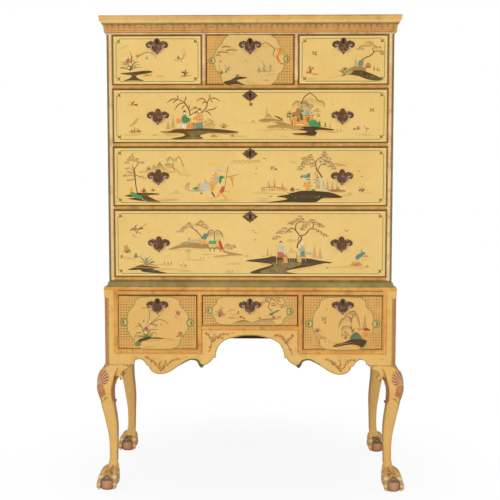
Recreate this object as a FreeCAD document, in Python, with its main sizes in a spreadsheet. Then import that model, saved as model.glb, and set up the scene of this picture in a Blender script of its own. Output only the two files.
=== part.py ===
import FreeCAD, Part
import math
import os
import re

# A japanned chest of drawers on a stand with cabriole legs, in millimetres.
# Z is up, the front faces -Y, and the origin is on the floor in the middle of the four feet.

# Driving sizes. Each is one cell of the sheet, and everything below is worked out from them.
SIZES = {
    "overrun": 5.0,               # how far a cutting shape runs past what it cuts
    # upper case
    "case_width": 1000.0,
    "back_step": 4.0,             # case back ahead of the stand's back
    "side_board": 21.0,
    "back_board": 9.0,
    "back_planks": 4.0,
    "top_board": 19.0,
    "bottom_board": 14.0,
    "bottom_rail": 26.0,
    "rail_thick": 16.2,
    "rail_depth": 70.0,
    "dust_board": 9.0,
    "divider_thick": 17.0,
    "frieze_height": 29.6,
    "frieze_thick": 22.0,
    # drawers
    "long_lower_height": 231.0,
    "long_middle_height": 200.6,
    "long_upper_height": 181.0,
    "short_height": 165.0,
    "short_centre_width": 300.4,
    "drawer_gap": 2.0,
    "front_thick": 20.0,
    "drawer_side": 9.0,
    "drawer_bottom": 6.0,
    "bottom_raise": 7.0,
    "side_drop": 5.0,             # drawer sides are this much lower than the front
    "back_drop": 11.0,
    "runner_gap": 0.3,
    "drawer_length": 410.0,
    # beads and mouldings of the case
    "bead_width": 11.0,
    "bead_inset": 7.0,            # outer edge of the stile bead from the case side
    "top_bead_width": 6.0,
    "top_bead_raise": 3.0,
    "cornice_height": 55.8,
    "cornice_reach": 23.0,
    # stand
    "stand_step": 16.5,           # stand beyond the case at the front and the sides
    "stand_depth": 480.0,
    "leg_height": 453.0,
    "stand_body": 276.0,
    "stand_top_board": 11.0,
    "post_width": 49.0,
    "post_chamfer": 10.0,
    "chamfer_stop": 38.0,
    "stand_board": 20.0,
    "stand_top_rail": 28.5,
    "stand_divider": 18.7,
    "stand_divider_depth": 45.0,
    "stand_gap": 2.5,
    "stand_side_height": 188.0,
    "stand_centre_height": 103.0,
    "stand_centre_width": 332.6,
    "apron_seam_drop": 10.5,      # seam of the centre board below the top of the lower boards
    "arch_rise": 105.0,
    "side_arch_rise": 30.0,
    "back_rise": 12.0,
    "runner_width": 18.0,
    "runner_height": 12.0,
    "kicker_width": 40.0,
    "side_batten": 45.0,
    "stand_bead": 13.0,
    "stand_fillet": 2.0,          # flat beside a stand bead
    "divider_bead": 16.0,
    "waist_bead": 10.5,
    "waist_bead_rise": 1.0,
    "waist_height": 17.0,
    "waist_reach": 16.0,
    # legs and feet
    "knee_reach": 25.5,           # knee beyond the stand's face
    "bracket_reach": 103.5,       # from the stand's corner to the tip of a knee bracket
    "bracket_drop": 56.0,
    "bracket_thick": 26.0,
    "foot_inset": 5.0,            # middle of a ball from the stand's faces
    "foot_height": 95.0,
    "ball_radius": 35.0,
    "ball_sink": 8.0,             # how much of the ball is cut flat at the floor
    "claw_reach": 37.5,
    "claw_radius": 7.6,
    # handles, escutcheons and locks
    "plate_width": 79.0,
    "plate_height": 58.0,
    "plate_thick": 1.6,
    "plate_drop": 8.0,            # top of a lock plate below the top of its drawer
    "plate_from_side": 177.5,     # middle of a plain plate from the case's side
    "plate_lower": 4.0,           # middle of a plain plate below the middle of its drawer
    "post_spread": 26.0,
    "post_drop": 26.0,
    "post_head": 3.6,
    "post_stem": 2.2,
    "post_reach": 5.6,            # middle of a post head in front of its plate
    "nut_radius": 5.0,
    "nut_thick": 3.0,
    "stem_end": 1.5,              # stem showing behind its nut
    "bail_wire": 1.9,
    "bail_half_width": 19.6,
    "bail_drop": 21.5,
    "bail_arm": 9.0,              # straight length of an arm below its pin
    "bail_corner": 8.0,           # bend below each arm
    "bail_knop": 3.0,
    "pin_radius": 1.2,
    "pin_clear": 0.08,
    "pin_end": 2.0,               # how far the pin runs past the middle of its post head
    "escutcheon_width": 57.0,
    "escutcheon_height": 46.0,
    "keyhole_drop": 16.5,         # middle of the round of a keyhole below the top of its drawer
    "keyhole_radius": 3.0,
    "keyhole_length": 12.0,
    "keyhole_slot": 2.8,
    "lock_width": 40.0,
    "lock_height": 36.0,
    "lock_depth": 12.0,
    "bolt_width": 20.0,
    "bolt_height": 22.0,
    "bolt_thick": 5.0,
    "bolt_clear": 0.4,
    "bolt_travel": 9.0,
    "bolt_sink": 1.0,             # top of the withdrawn bolt below the top of the drawer
    "mortice_clear": 1.0,
}

# Sizes that follow from the driving ones.
DERIVED = {
    "half_case": "case_width / 2",
    "half_stand": "half_case + stand_step",
    "half_depth": "stand_depth / 2",
    "case_front": "half_depth - stand_step",
    "case_back": "half_depth - back_step",
    "half_inner": "half_case - side_board",
    "case_floor": "leg_height + stand_body + stand_top_board",
    "long_lower_foot": "case_floor + bottom_rail + drawer_gap",
    "rail_one_foot": "long_lower_foot + long_lower_height + drawer_gap",
    "long_middle_foot": "rail_one_foot + rail_thick + drawer_gap",
    "rail_two_foot": "long_middle_foot + long_middle_height + drawer_gap",
    "long_upper_foot": "rail_two_foot + rail_thick + drawer_gap",
    "rail_three_foot": "long_upper_foot + long_upper_height + drawer_gap",
    "short_foot": "rail_three_foot + rail_thick + drawer_gap",
    "rail_four_foot": "short_foot + short_height + drawer_gap",
    "frieze_foot": "rail_four_foot + rail_thick",
    "side_top": "frieze_foot + frieze_height",
    "case_top": "side_top + top_board",
    "back_face": "case_back - back_board",
    "long_width": "2 * (half_inner - drawer_gap)",
    "divider_inner": "short_centre_width / 2 + drawer_gap",
    "divider_outer": "divider_inner + divider_thick",
    "short_side_width": "half_inner - drawer_gap - divider_outer - drawer_gap",
    "short_side_centre": "divider_outer + drawer_gap + short_side_width / 2",
    "stand_top": "leg_height + stand_body",
    "post_inner": "half_stand - post_width",
    "post_back": "half_depth - post_width",
    "stand_rail_foot": "stand_top - stand_top_rail",
    "stand_drawer_top": "stand_rail_foot - stand_gap",
    "stand_side_foot": "stand_drawer_top - stand_side_height",
    "stand_centre_foot": "stand_drawer_top - stand_centre_height",
    "apron_top": "stand_side_foot - stand_gap",
    "apron_seam": "apron_top - apron_seam_drop",
    "centre_apron_top": "stand_centre_foot - stand_gap",
    "stand_divider_inner": "stand_centre_width / 2 + stand_gap",
    "stand_divider_outer": "stand_divider_inner + stand_divider",
    "stand_side_width": "post_inner - stand_gap - stand_divider_outer - stand_gap",
    "stand_side_centre": "stand_divider_outer + stand_gap + stand_side_width / 2",
    "stand_back_inner": "half_depth - stand_board",
    "foot_half_width": "half_stand - foot_inset",
    "foot_half_depth": "half_depth - foot_inset",
    "ball_height": "ball_radius - ball_sink",
    "plate_spread": "half_case - plate_from_side",
    "pivot_reach": "plate_thick + post_reach",
    "bead_radius": "bead_width / 2",
    "bead_fillet": "(rail_thick - bead_width) / 2",
    "escutcheon_drop": "keyhole_drop + (keyhole_length - keyhole_radius) / 2",
    "corner_offset": "half_stand - half_depth",
    "lock_face": "front_thick - lock_depth",
    "bolt_inset": "lock_face + (lock_depth - bolt_thick) / 2",
}

V = FreeCAD.Vector
doc = FreeCAD.newDocument("chest_on_stand")
sheet = doc.addObject("Spreadsheet::Sheet", "sizes")
for row, (alias, number) in enumerate(SIZES.items(), start=1):
    sheet.set(f"A{row}", alias)
    sheet.set(f"B{row}", str(number))
    sheet.setAlias(f"B{row}", alias)
for row, (alias, formula) in enumerate(DERIVED.items(), start=1):
    sheet.set(f"D{row}", alias)
    sheet.set(f"E{row}", "=" + formula)
    sheet.setAlias(f"E{row}", alias)
doc.recompute()

NAMES = set(SIZES) | set(DERIVED)


def bound(formula):
    """Point a formula written on the names of sizes at the cells of the sheet."""
    return re.sub(r"[a-z_]+", lambda m: "sizes." + m[0] if m[0] in NAMES else m[0], str(formula))


def size(formula):
    """The number that a formula on the names of sizes gives now."""
    return float(sheet.evalExpression(str(formula)))


def place(item, x="0", y="0", z="0"):
    """Bind an object's place to formulas."""
    item.setExpression("Placement.Base.x", bound(x))
    item.setExpression("Placement.Base.y", bound(y))
    item.setExpression("Placement.Base.z", bound(z))
    return item


def board(name, low, high):
    """A rectangular piece between two corners, each given as three formulas."""
    item = doc.addObject("Part::Box", name)
    for side, start, end in zip(("Length", "Width", "Height"), low, high):
        item.setExpression(side, bound(f"({end}) - ({start})"))
    return place(item, *low)


def rod(name, radius, length, start, turn=None, angle=360):
    """A round piece from a start point, along Z unless it is turned."""
    item = doc.addObject("Part::Cylinder", name)
    item.setExpression("Radius", bound(radius))
    item.setExpression("Height", bound(length))
    item.Angle = angle
    if turn is not None:
        item.Placement = FreeCAD.Placement(V(0, 0, 0), turn)
    return place(item, *start)


def ball(name, radius, centre):
    """A round knob about a centre, with its seam at the front, clear of what goes into its sides."""
    item = doc.addObject("Part::Sphere", name)
    item.setExpression("Radius", bound(radius))
    item.Placement = FreeCAD.Placement(V(0, 0, 0), SEAM_FRONT)
    return place(item, *centre)


def cut(name, base, tools):
    """A piece with other shapes taken out of it."""
    item = doc.addObject("Part::Cut", name)
    item.Base = base
    item.Tool = tools[0] if len(tools) == 1 else group(name + "_tools", tools)
    return item


def fuse(name, pieces):
    """Several shapes joined in one solid."""
    item = doc.addObject("Part::MultiFuse", name)
    item.Shapes = pieces
    return item


def group(name, pieces):
    """Separate solids kept side by side."""
    item = doc.addObject("Part::Compound", name)
    item.Links = pieces
    return item


def mirror(name, source):
    """The same piece on the other side of the middle plane."""
    item = doc.addObject("Part::Mirroring", name)
    item.Source = source
    item.Normal = V(1, 0, 0)
    return item


def turned(x_goes_to, y_goes_to, z_goes_to):
    """The turn that sends a round piece's own axes to the given directions."""
    return FreeCAD.Rotation(V(*x_goes_to), V(*y_goes_to), V(*z_goes_to), "XYZ")


UP_FRONT = turned((-1, 0, 0), (0, -1, 0), (0, 0, 1))
ACROSS_FRONT = turned((0, 0, 1), (0, -1, 0), (1, 0, 0))
TOWARDS_BACK = turned((1, 0, 0), (0, 0, -1), (0, 1, 0))
SEAM_FRONT = turned((0, -1, 0), (1, 0, 0), (0, 0, 1))


def outline(start, *steps):
    """Curves end to end: a step of one point is a line, of two an arc, of more a smooth curve."""
    curves = []
    for step in steps:
        points = [V(*p, 0) for p in (start, *step)]
        if len(points) == 2:
            curves.append(Part.LineSegment(*points))
        elif len(points) == 3:
            curves.append(Part.Arc(*points))
        else:
            smooth = Part.BSplineCurve()
            smooth.interpolate(points)
            curves.append(smooth)
        start = step[-1]
    return curves


def flipped(path, x_sign=-1, y_sign=1):
    """The steps of an outline walked backwards on the other side of an axis."""
    start, *steps = path
    stops = [start] + [step[-1] for step in steps]
    back = []
    for stop, step in zip(reversed(stops[:-1]), reversed(steps)):
        points = [*reversed(step[:-1]), stop]
        back.append([(x_sign * x, y_sign * y) for x, y in points])
    return back


def moved(path, to):
    """An outline with every point sent through a rule."""
    start, *steps = path
    return [to(*start), *[[to(*point) for point in step] for step in steps]]


def sketch_in(body, role, name, curves, offset=None):
    """A sketch on one of the body's own planes, moved along its normal by a formula."""
    plane = next(f for f in body.Origin.OriginFeatures if f.Role == role)
    sketch = body.newObject("Sketcher::SketchObject", name)
    sketch.AttachmentSupport = [(plane, "")]
    sketch.MapMode = "FlatFace"
    if offset is not None:
        sketch.setExpression("AttachmentOffset.Base.z", bound(offset))
    for curve in curves:
        sketch.addGeometry(curve, False)
    return sketch


def plate_body(name, curves, role, start, thick):
    """A body of even thickness: an outline on a plane that starts at a formula's height above it."""
    body = doc.addObject("PartDesign::Body", name)
    sketch = sketch_in(body, role, name + "_outline", curves, start)
    pad = body.newObject("PartDesign::Pad", name + "_pad")
    pad.Profile = sketch
    pad.setExpression("Length", bound(thick))
    return body


# Outlines, in shares of the sizes that they follow.

# Half of the apron's lower edge, from the post to the middle, as shares of the half width between
# the posts and of the rise of the centre arch, measured from the top of the legs.
APRON_SHARES = [
    (0.883, 0.0),
    [(0.881, 0.067), (0.872, 0.13), (0.8385, 0.171), (0.815, 0.13), (0.785, -0.048)],
    [(0.770, -0.052)],
    [(0.753, -0.219), (0.7166, -0.314), (0.680, -0.338), (0.646, -0.314), (0.582, -0.181), (0.541, -0.048),
     (0.490, 0.095), (0.449, 0.171), (0.4064, 0.143), (0.390, 0.08), (0.381, -0.03)],
    [(0.371, -0.105), (0.361, -0.048)],
    [(0.352, -0.048), (0.335, -0.01), (0.2995, 0.095), (0.284, 0.18)],
    [(0.278, 0.229)],
    [(0.262, 0.229)],
    [(0.2585, 0.34), (0.255, 0.419)],
]
# The centre arch above the seam, in the same shares.
ARCH_SHARES = [
    (0.255, 0.419),
    [(0.250, 0.505)],
    [(0.243, 0.571)],
    [(0.235, 0.64), (0.205, 0.781), (0.1626, 0.876), (0.110, 0.945), (0.0706, 0.981), (0.0, 1.0)],
]
# Half of a side apron's lower edge, as shares of the half depth between the posts and of its own rise.
SIDE_APRON_SHARES = [
    (0.71, 0.0),
    [(0.70, 0.25), (0.66, 0.55), (0.60, 0.60), (0.55, 0.35)],
    [(0.54, 0.0)],
    [(0.50, -0.05), (0.38, 0.20), (0.22, 0.85), (0.0, 1.0)],
]
# A knee bracket, as shares of its reach from the post's outer face and of its drop below the joint.
BRACKET_SHARES = [
    (0.44, 0.0),
    [(1.0, 0.0)],
    [(0.874, -0.125), (0.797, -0.3125), (0.71, -0.40), (0.64, -0.46)],
    [(0.59, -0.58), (0.578, -0.75)],
    [(0.628, -0.90), (0.580, -1.0)],
    [(0.533, -0.95), (0.527, -0.87)],
    [(0.49, -0.86), (0.445, -0.93), (0.38, -1.10), (0.345, -1.34)],
    [(0.26, -1.34)],
    [(0.26, 0.0)],
    [(0.44, 0.0)],
]
# Sections of a leg from the joint down: share of the leg's height, reach of the outer face beyond the
# stand as a share of the knee's reach, width as a share of the post's, and rounding as a share of the width.
LEG_SHARES = [
    (1.0, 0.06, 1.02, 0.10), (0.958, 0.50, 1.15, 0.14), (0.909, 0.86, 1.20, 0.18),
    (0.848, 1.00, 1.22, 0.22), (0.797, 0.965, 1.165, 0.25), (0.728, 0.70, 1.035, 0.28),
    (0.662, 0.51, 0.985, 0.31), (0.598, 0.275, 0.935, 0.34), (0.532, 0.07, 0.887, 0.37),
    (0.468, -0.137, 0.80, 0.40), (0.404, -0.294, 0.706, 0.43), (0.340, -0.36, 0.66, 0.45),
    (0.287, -0.373, 0.636, 0.46), (0.243, -0.353, 0.638, 0.46), (0.203, -0.26, 0.672, 0.46),
    (0.141, 0.04, 0.735, 0.44),
]
# Claws from the ankle to the floor: shares of the claws' reach along X and Y from the middle of the
# ball, share of the foot's height, and thickness as a share of the claw radius.
FRONT_CLAW_SHARES = [
    (-0.46, -0.46, 1.0, 1.2), (0.04, 0.04, 0.75, 1.25), (0.44, 0.44, 0.60, 1.2),
    (0.66, 0.66, 0.365, 1.1), (0.78, 0.78, 0.173, 0.88), (0.66, 0.66, 0.05, 0.5),
]
SIDE_CLAW_SHARES = [
    (-0.575, -0.45, 1.0, 1.1), (-0.65, 0.10, 0.75, 1.15), (-0.725, 0.50, 0.60, 1.1),
    (-0.765, 0.70, 0.365, 1.0), (-0.78, 0.78, 0.173, 0.85), (-0.64, 0.66, 0.05, 0.5),
]
HEEL_CLAW_SHARES = [
    (-0.66, -0.66, 0.95, 1.0), (-0.76, -0.76, 0.70, 1.1), (-0.79, -0.79, 0.45, 1.05),
    (-0.79, -0.79, 0.20, 0.85), (-0.66, -0.66, 0.05, 0.5),
]
# Mouldings: share of the reach beyond the case, and share of the height.
CORNICE_SHARES = [
    (0.0, 0.0),
    [(0.32, 0.0)],
    [(0.35, 0.119)],
    [(0.395, 0.329), (0.53, 0.507)],
    [(0.66, 0.507)],
    [(0.66, 0.554)],
    [(0.80, 0.612), (0.90, 0.7065)],
    [(0.95, 0.7065)],
    [(0.97, 0.858)],
    [(1.0, 0.858)],
    [(1.0, 1.0)],
    [(0.0, 1.0)],
    [(0.0, 0.0)],
]
WAIST_SHARES = [
    (0.0, 0.0),
    [(1.0, 0.0)],
    [(0.55, 0.26), (0.28, 0.647)],
    [(0.12, 0.647)],
    [(0.33, 0.82), (0.12, 1.0)],
    [(0.0, 1.0)],
    [(0.0, 0.0)],
]
HALF_ROUND_SHARES = [(0.0, 0.0), [(1.0, 0.5), (0.0, 1.0)], [(0.0, 0.0)]]
# Right half of a bat-wing plate from its top point, as shares of half its width and of its height.
PLATE_SHARES = [
    (0.0, 0.0),
    [(0.15, -0.035), (0.25, -0.135), (0.316, -0.241)],
    [(0.42, -0.19), (0.532, -0.164), (0.66, -0.20)],
    [(0.84, -0.235), (0.99, -0.37), (0.91, -0.53), (0.735, -0.586)],
    [(0.62, -0.55), (0.57, -0.448)],
    [(0.53, -0.60), (0.44, -0.70), (0.29, -0.767)],
    [(0.17, -0.82), (0.08, -0.90), (0.0, -1.0)],
]
# Right half of an escutcheon, as shares of half its width and half its height.
ESCUTCHEON_SHARES = [
    (0.0, 1.0),
    [(0.10, 0.78), (0.26, 0.64), (0.42, 0.62)],
    [(0.50, 0.45), (0.62, 0.35)],
    [(0.74, 0.22), (0.86, 0.08), (1.0, 0.0)],
]


def scaled(shares, across, up, left=0.0, foot=0.0):
    """An outline given in shares, in millimetres from a left edge and a foot."""
    start, *steps = shares
    return [(left + start[0] * across, foot + start[1] * up),
            *[[(left + x * across, foot + y * up) for x, y in step] for step in steps]]


def whole_outline(right_half, x, z):
    """The curves of a shape about x, z from its right half, which starts and ends on the middle line."""
    both = [*right_half, *flipped(right_half)]
    return outline(*moved(both, lambda across, up: (x + across, z + up)))


# Case.

def case_boards():
    """Sides, top, bottom and back planks of the upper case."""
    left = board("side_left", ("-half_case", "-case_front", "case_floor"),
                 ("-half_inner", "case_back", "side_top"))
    top = board("top_panel", ("-half_case", "-case_front", "side_top"),
                ("half_case", "case_back", "case_top"))
    floor_top = "case_floor + bottom_rail"
    bottom = board("bottom_panel", ("-half_inner", "rail_depth - case_front", f"{floor_top} - bottom_board"),
                   ("half_inner", "back_face", floor_top))
    planks = []
    edge = "2 * half_inner / back_planks"
    for number in range(int(size("back_planks"))):
        planks.append(board(f"back_plank_{number + 1}",
                            (f"{edge} * {number} - half_inner", "back_face", "case_floor"),
                            (f"{edge} * {number + 1} - half_inner", "case_back", "side_top")))
    return {"case_sides": [left, mirror("side_right", left)],
            "case_top_and_bottom_boards": [top, bottom],
            "case_back_boards": planks}


def mortice(name, centre, front, foot, gap):
    """The slot in the rail above a drawer that its lock bolt rises into."""
    half = "(bolt_width / 2 + mortice_clear)"
    near = f"bolt_inset - mortice_clear - {front}"
    return board(name, (f"{centre} - {half}", near, f"{foot} - overrun"),
                 (f"{centre} + {half}", f"{near} + bolt_thick + 2 * mortice_clear",
                  f"{foot} + bolt_travel - bolt_sink - {gap} + mortice_clear"))


def case_rails():
    """Rails between the drawers, with a mortice over each lock, and the frieze under the cornice."""
    foots = ["rail_one_foot", "rail_two_foot", "rail_three_foot", "rail_four_foot"]
    rails = [board("rail_bottom", ("-half_inner", "-case_front", "case_floor"),
                   ("half_inner", "rail_depth - case_front", "case_floor + bottom_rail"))]
    dust = []
    for number, foot in enumerate(foots, start=1):
        highest = foot == "rail_four_foot"
        plain = board(f"rail_{number}_plain", ("-half_inner", "-case_front", foot),
                      ("half_inner", "rail_depth - case_front", f"{foot} + rail_thick"))
        centres = ["-short_side_centre", "0", "short_side_centre"] if highest else ["0"]
        slots = [mortice(f"rail_{number}_mortice_{slot}", centre, "case_front", foot, "drawer_gap")
                 for slot, centre in enumerate(centres, start=1)]
        rails.append(cut(f"rail_{number}", plain, slots))
        under = foot if highest else f"{foot} + rail_thick - dust_board"
        dust.append(board(f"dust_board_{number}", ("-half_inner", "rail_depth - case_front", under),
                          ("half_inner", "back_face", f"{under} + dust_board")))
    rails.append(board("frieze", ("-half_inner", "-case_front", "frieze_foot"),
                       ("half_inner", "frieze_thick - case_front", "side_top")))
    left = board("divider_left", ("-divider_outer", "-case_front", "rail_three_foot + rail_thick"),
                 ("-divider_inner", "back_face", "rail_four_foot"))
    return {"case_front_rails": rails, "case_dust_boards": dust,
            "case_drawer_dividers": [left, mirror("divider_right", left)]}


def case_beads():
    """Half-round beads on the front edges, the level ones coped over the upright ones."""
    edge = "(half_case - bead_inset - bead_radius)"
    top_bead = "(rail_four_foot + top_bead_raise)"
    lowest = "(case_floor + bottom_rail - bead_fillet - bead_radius)"
    upright = rod("stile_bead_left", "bead_radius", f"{top_bead} - {lowest} + bead_radius",
                  (f"-{edge}", "-case_front", f"{lowest} - bead_radius"), UP_FRONT, 180)
    stiles = [upright, mirror("stile_bead_right", upright)]
    levels = {"bottom": lowest}
    for number, foot in enumerate(("rail_one_foot", "rail_two_foot", "rail_three_foot"), start=1):
        levels[f"rail_{number}"] = f"{foot} + rail_thick / 2"
    level_beads = []
    for name, height in levels.items():
        plain = rod(f"bead_{name}_plain", "bead_radius", f"2 * {edge}",
                    (f"-{edge}", "-case_front", height), ACROSS_FRONT, 180)
        level_beads.append(cut(f"bead_{name}", plain, stiles))
    between = rod("divider_bead_plain", "bead_radius", f"{top_bead} - ({levels['rail_3']})",
                  ("-(divider_inner + divider_outer) / 2", "-case_front", levels["rail_3"]), UP_FRONT, 180)
    coped = cut("divider_bead_left", between, level_beads[-1:])
    top = rod("top_bead", "top_bead_width / 2", "case_width",
              ("-half_case", "-case_front", f"{top_bead} + top_bead_width / 2"), ACROSS_FRONT, 180)
    return {"case_beading": [*stiles, *level_beads, coped, mirror("divider_bead_right", coped), top]}


# Mouldings that run round the front and both sides, mitred at the front corners.

def moulding(name, shares, reach, height, foot, half, front, back):
    """Three strips of one profile that stand on the faces of a case."""
    profile = scaled(shares, size(reach), size(height), 0.0, size(foot))
    half_now, front_now, far = size(half), size(front), size(f"{reach} + overrun")

    def mitre(body, corners, label):
        edges = [[corner] for corner in corners[1:]] + [[corners[0]]]
        sketch = sketch_in(body, "XY_Plane", f"{name}_{label}_mitre", outline(corners[0], *edges))
        pocket = body.newObject("PartDesign::Pocket", f"{name}_{label}_cut")
        pocket.Profile = sketch
        pocket.Type = "ThroughAll"
        pocket.SideType = "Symmetric"

    front_strip = doc.addObject("PartDesign::Body", name + "_front")
    sketch = sketch_in(front_strip, "YZ_Plane", name + "_front_profile",
                       outline(*moved(profile, lambda u, z: (-front_now - u, z))))
    pad = front_strip.newObject("PartDesign::Pad", name + "_front_pad")
    pad.Profile = sketch
    pad.SideType = "Symmetric"
    pad.setExpression("Length", bound(f"2 * ({half} + {reach} + overrun)"))
    for side in (-1, 1):
        mitre(front_strip, [(side * half_now, -front_now), (side * (half_now + far), -front_now - far),
                            (side * (half_now + far), -front_now)], "left" if side < 0 else "right")
    side_strip = doc.addObject("PartDesign::Body", name + "_side")
    sketch = sketch_in(side_strip, "XZ_Plane", name + "_side_profile",
                       outline(*moved(profile, lambda u, z: (half_now + u, z))), f"-({back})")
    pad = side_strip.newObject("PartDesign::Pad", name + "_side_pad")
    pad.Profile = sketch
    pad.setExpression("Length", bound(f"{back} + {front} + {reach} + overrun"))
    mitre(side_strip, [(half_now, -front_now), (half_now + far, -front_now - far),
                       (half_now, -front_now - far)], "corner")
    return [front_strip, side_strip, mirror(name + "_side_left", side_strip)]


def mouldings():
    """The cornice round the top and the moulding that holds the case on its stand."""
    return {
        "case_cornice": moulding("cornice", CORNICE_SHARES, "cornice_reach", "cornice_height",
                                 "case_top - cornice_height", "half_case", "case_front", "case_back"),
        "stand_waist_moulding": moulding("waist", WAIST_SHARES, "waist_reach", "waist_height",
                                         "stand_top", "half_case", "case_front", "half_depth"),
    }


# Stand.

def stand_posts():
    """Four corner posts, the front ones with a stopped chamfer."""
    plain = board("post_front_plain", ("post_inner", "-half_depth", "leg_height"),
                  ("half_stand", "-post_back", "stand_top"))
    side, depth, wide = size("half_stand"), size("half_depth"), size("post_chamfer")
    corner = outline((side - wide, -depth), [(side, -depth)], [(side, wide - depth)], [(side - wide, -depth)])
    chamfer = plate_body("post_chamfer_cutter", corner, "XY_Plane", "leg_height - overrun",
                         "stand_body - chamfer_stop + overrun")
    front = cut("post_front_right", plain, [chamfer])
    back = board("post_back_right", ("post_inner", "post_back", "leg_height"),
                 ("half_stand", "half_depth", "stand_top"))
    return {"stand_corner_posts": [front, mirror("post_front_left", front), back, mirror("post_back_left", back)]}


def stand_frame():
    """Top board, front rail, dividers, side boards and back of the stand."""
    top = board("stand_top_panel", ("-half_case", "-case_front", "stand_top"),
                ("half_case", "half_depth", "case_floor"))
    plain = board("stand_rail_plain", ("-post_inner", "-half_depth", "stand_rail_foot"),
                  ("post_inner", "-stand_back_inner", "stand_top"))
    slots = [mortice(f"stand_mortice_{number}", centre, "half_depth", "stand_rail_foot", "stand_gap")
             for number, centre in enumerate(("-stand_side_centre", "0", "stand_side_centre"), start=1)]
    rail = cut("stand_rail", plain, slots)
    divider = board("stand_divider_right", ("stand_divider_inner", "-half_depth", "apron_seam"),
                    ("stand_divider_outer", "stand_divider_depth - half_depth", "stand_rail_foot"))
    back = board("stand_back_panel", ("-post_inner", "stand_back_inner", "leg_height + back_rise"),
                 ("post_inner", "half_depth", "stand_top"))
    low_edge = scaled(SIDE_APRON_SHARES, size("post_back"), size("side_arch_rise"), 0.0, size("leg_height"))
    top_edge, end = size("stand_top"), size("post_back")
    curves = outline((end, size("leg_height")), [low_edge[0]], *low_edge[1:], *flipped(low_edge),
                     [(-end, size("leg_height"))], [(-end, top_edge)], [(end, top_edge)],
                     [(end, size("leg_height"))])
    side = plate_body("stand_side_right", curves, "YZ_Plane", "half_stand - stand_board", "stand_board")
    return {"stand_top_board": [top],
            "stand_front_rail_and_dividers": [rail, divider, mirror("stand_divider_left", divider)],
            "stand_sides": [side, mirror("stand_side_left", side)],
            "stand_back_board": [back]}


def stand_apron():
    """The shaped lower board in two halves, and the board with the arch under the centre drawer."""
    across, rise, joint = size("post_inner"), size("arch_rise"), size("leg_height")
    low_edge = scaled(APRON_SHARES, across, rise, 0.0, joint)
    seam, top, step = size("apron_seam"), size("apron_top"), size("stand_divider_outer")
    foot = (across, joint)
    last = (low_edge[-1][-1][0], seam)
    low_edge[-1][-1] = last
    half = outline(foot, [low_edge[0]], *low_edge[1:], [(step, seam)], [(step, top)], [(across, top)], [foot])
    lower = plate_body("apron_lower_right", half, "XZ_Plane", "stand_back_inner", "stand_board")
    arch = scaled(ARCH_SHARES, across, rise, 0.0, joint)
    arch[0] = last
    inner, high = size("stand_divider_inner"), size("centre_apron_top")
    whole = outline((inner, seam), [last], *arch[1:], *flipped(arch), [(-inner, seam)], [(-inner, high)],
                    [(inner, high)], [(inner, seam)])
    centre = plate_body("apron_centre", whole, "XZ_Plane", "stand_back_inner", "stand_board")
    return {"stand_apron": [lower, mirror("apron_lower_left", lower), centre]}


def stand_runners():
    """Runners, guides and kickers that the stand's drawers slide on, beside and under."""
    front, back = "-stand_back_inner", "stand_back_inner"
    pieces = []
    strips = {
        "side_runner_inner": ("stand_divider_outer", "stand_divider_outer + runner_width", "apron_top"),
        "side_runner_outer": ("post_inner - runner_width", "post_inner", "apron_top"),
        "centre_runner": ("stand_divider_inner - runner_width", "stand_divider_inner", "centre_apron_top"),
    }
    for name, (near, far, top) in strips.items():
        right = board(name + "_right", (near, front, f"{top} - runner_height"), (far, back, top))
        pieces += [right, mirror(name + "_left", right)]
    guide = board("guide_right",
                  ("stand_divider_inner", "stand_divider_depth - half_depth", "apron_top - runner_height"),
                  ("stand_divider_outer", back, "stand_rail_foot"))
    batten = board("batten_right", ("post_inner", "-post_back", "apron_top - runner_height"),
                   ("half_stand - stand_board", "post_back", "apron_top - runner_height + side_batten"))
    kicker = board("kicker_right", ("stand_side_centre - kicker_width / 2", front, "stand_rail_foot"),
                   ("stand_side_centre + kicker_width / 2", back, "stand_top"))
    centre = board("kicker_centre", ("-kicker_width / 2", front, "stand_rail_foot"),
                   ("kicker_width / 2", back, "stand_top"))
    pieces += [guide, mirror("guide_left", guide), batten, mirror("batten_left", batten),
               kicker, mirror("kicker_left", kicker), centre]
    return {"stand_drawer_runners": pieces}


def stand_beads():
    """Beads round the stand's drawers and the flat bead under the waist moulding."""
    radius = "(stand_bead / 2)"
    outer = f"(post_inner + stand_fillet + {radius})"
    middle = "((stand_divider_inner + stand_divider_outer) / 2)"
    top = f"(stand_rail_foot + stand_fillet + {radius})"
    low = f"(apron_top - stand_fillet - {radius})"
    centre_low = f"(centre_apron_top - stand_fillet - {radius})"
    upright = rod("post_bead_right", radius, f"{top} - {low} + 2 * {radius}",
                  (outer, "-half_depth", f"{low} - {radius}"), UP_FRONT, 180)
    between = rod("stand_divider_bead_right", "divider_bead / 2", f"{top} - {low} + 2 * {radius}",
                  (middle, "-half_depth", f"{low} - {radius}"), UP_FRONT, 180)
    uprights = [upright, mirror("post_bead_left", upright), between, mirror("stand_divider_bead_left", between)]
    spans = {
        "stand_bead_top": (f"-{outer}", outer, top),
        "stand_bead_low_left": (f"-{outer}", f"-{middle}", low),
        "stand_bead_low_right": (middle, outer, low),
        "stand_bead_centre": (f"-{middle}", middle, centre_low),
    }
    level = []
    for name, (start, end, height) in spans.items():
        plain = rod(name + "_plain", radius, f"({end}) - ({start})", (start, "-half_depth", height),
                    ACROSS_FRONT, 180)
        level.append(cut(name, plain, uprights))
    under = moulding("waist_bead", HALF_ROUND_SHARES, "waist_bead_rise", "waist_bead",
                     "stand_top - waist_bead", "half_stand", "half_depth", "half_depth")
    return {"stand_beading": [*uprights, *level, *under]}


# Legs.

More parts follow.
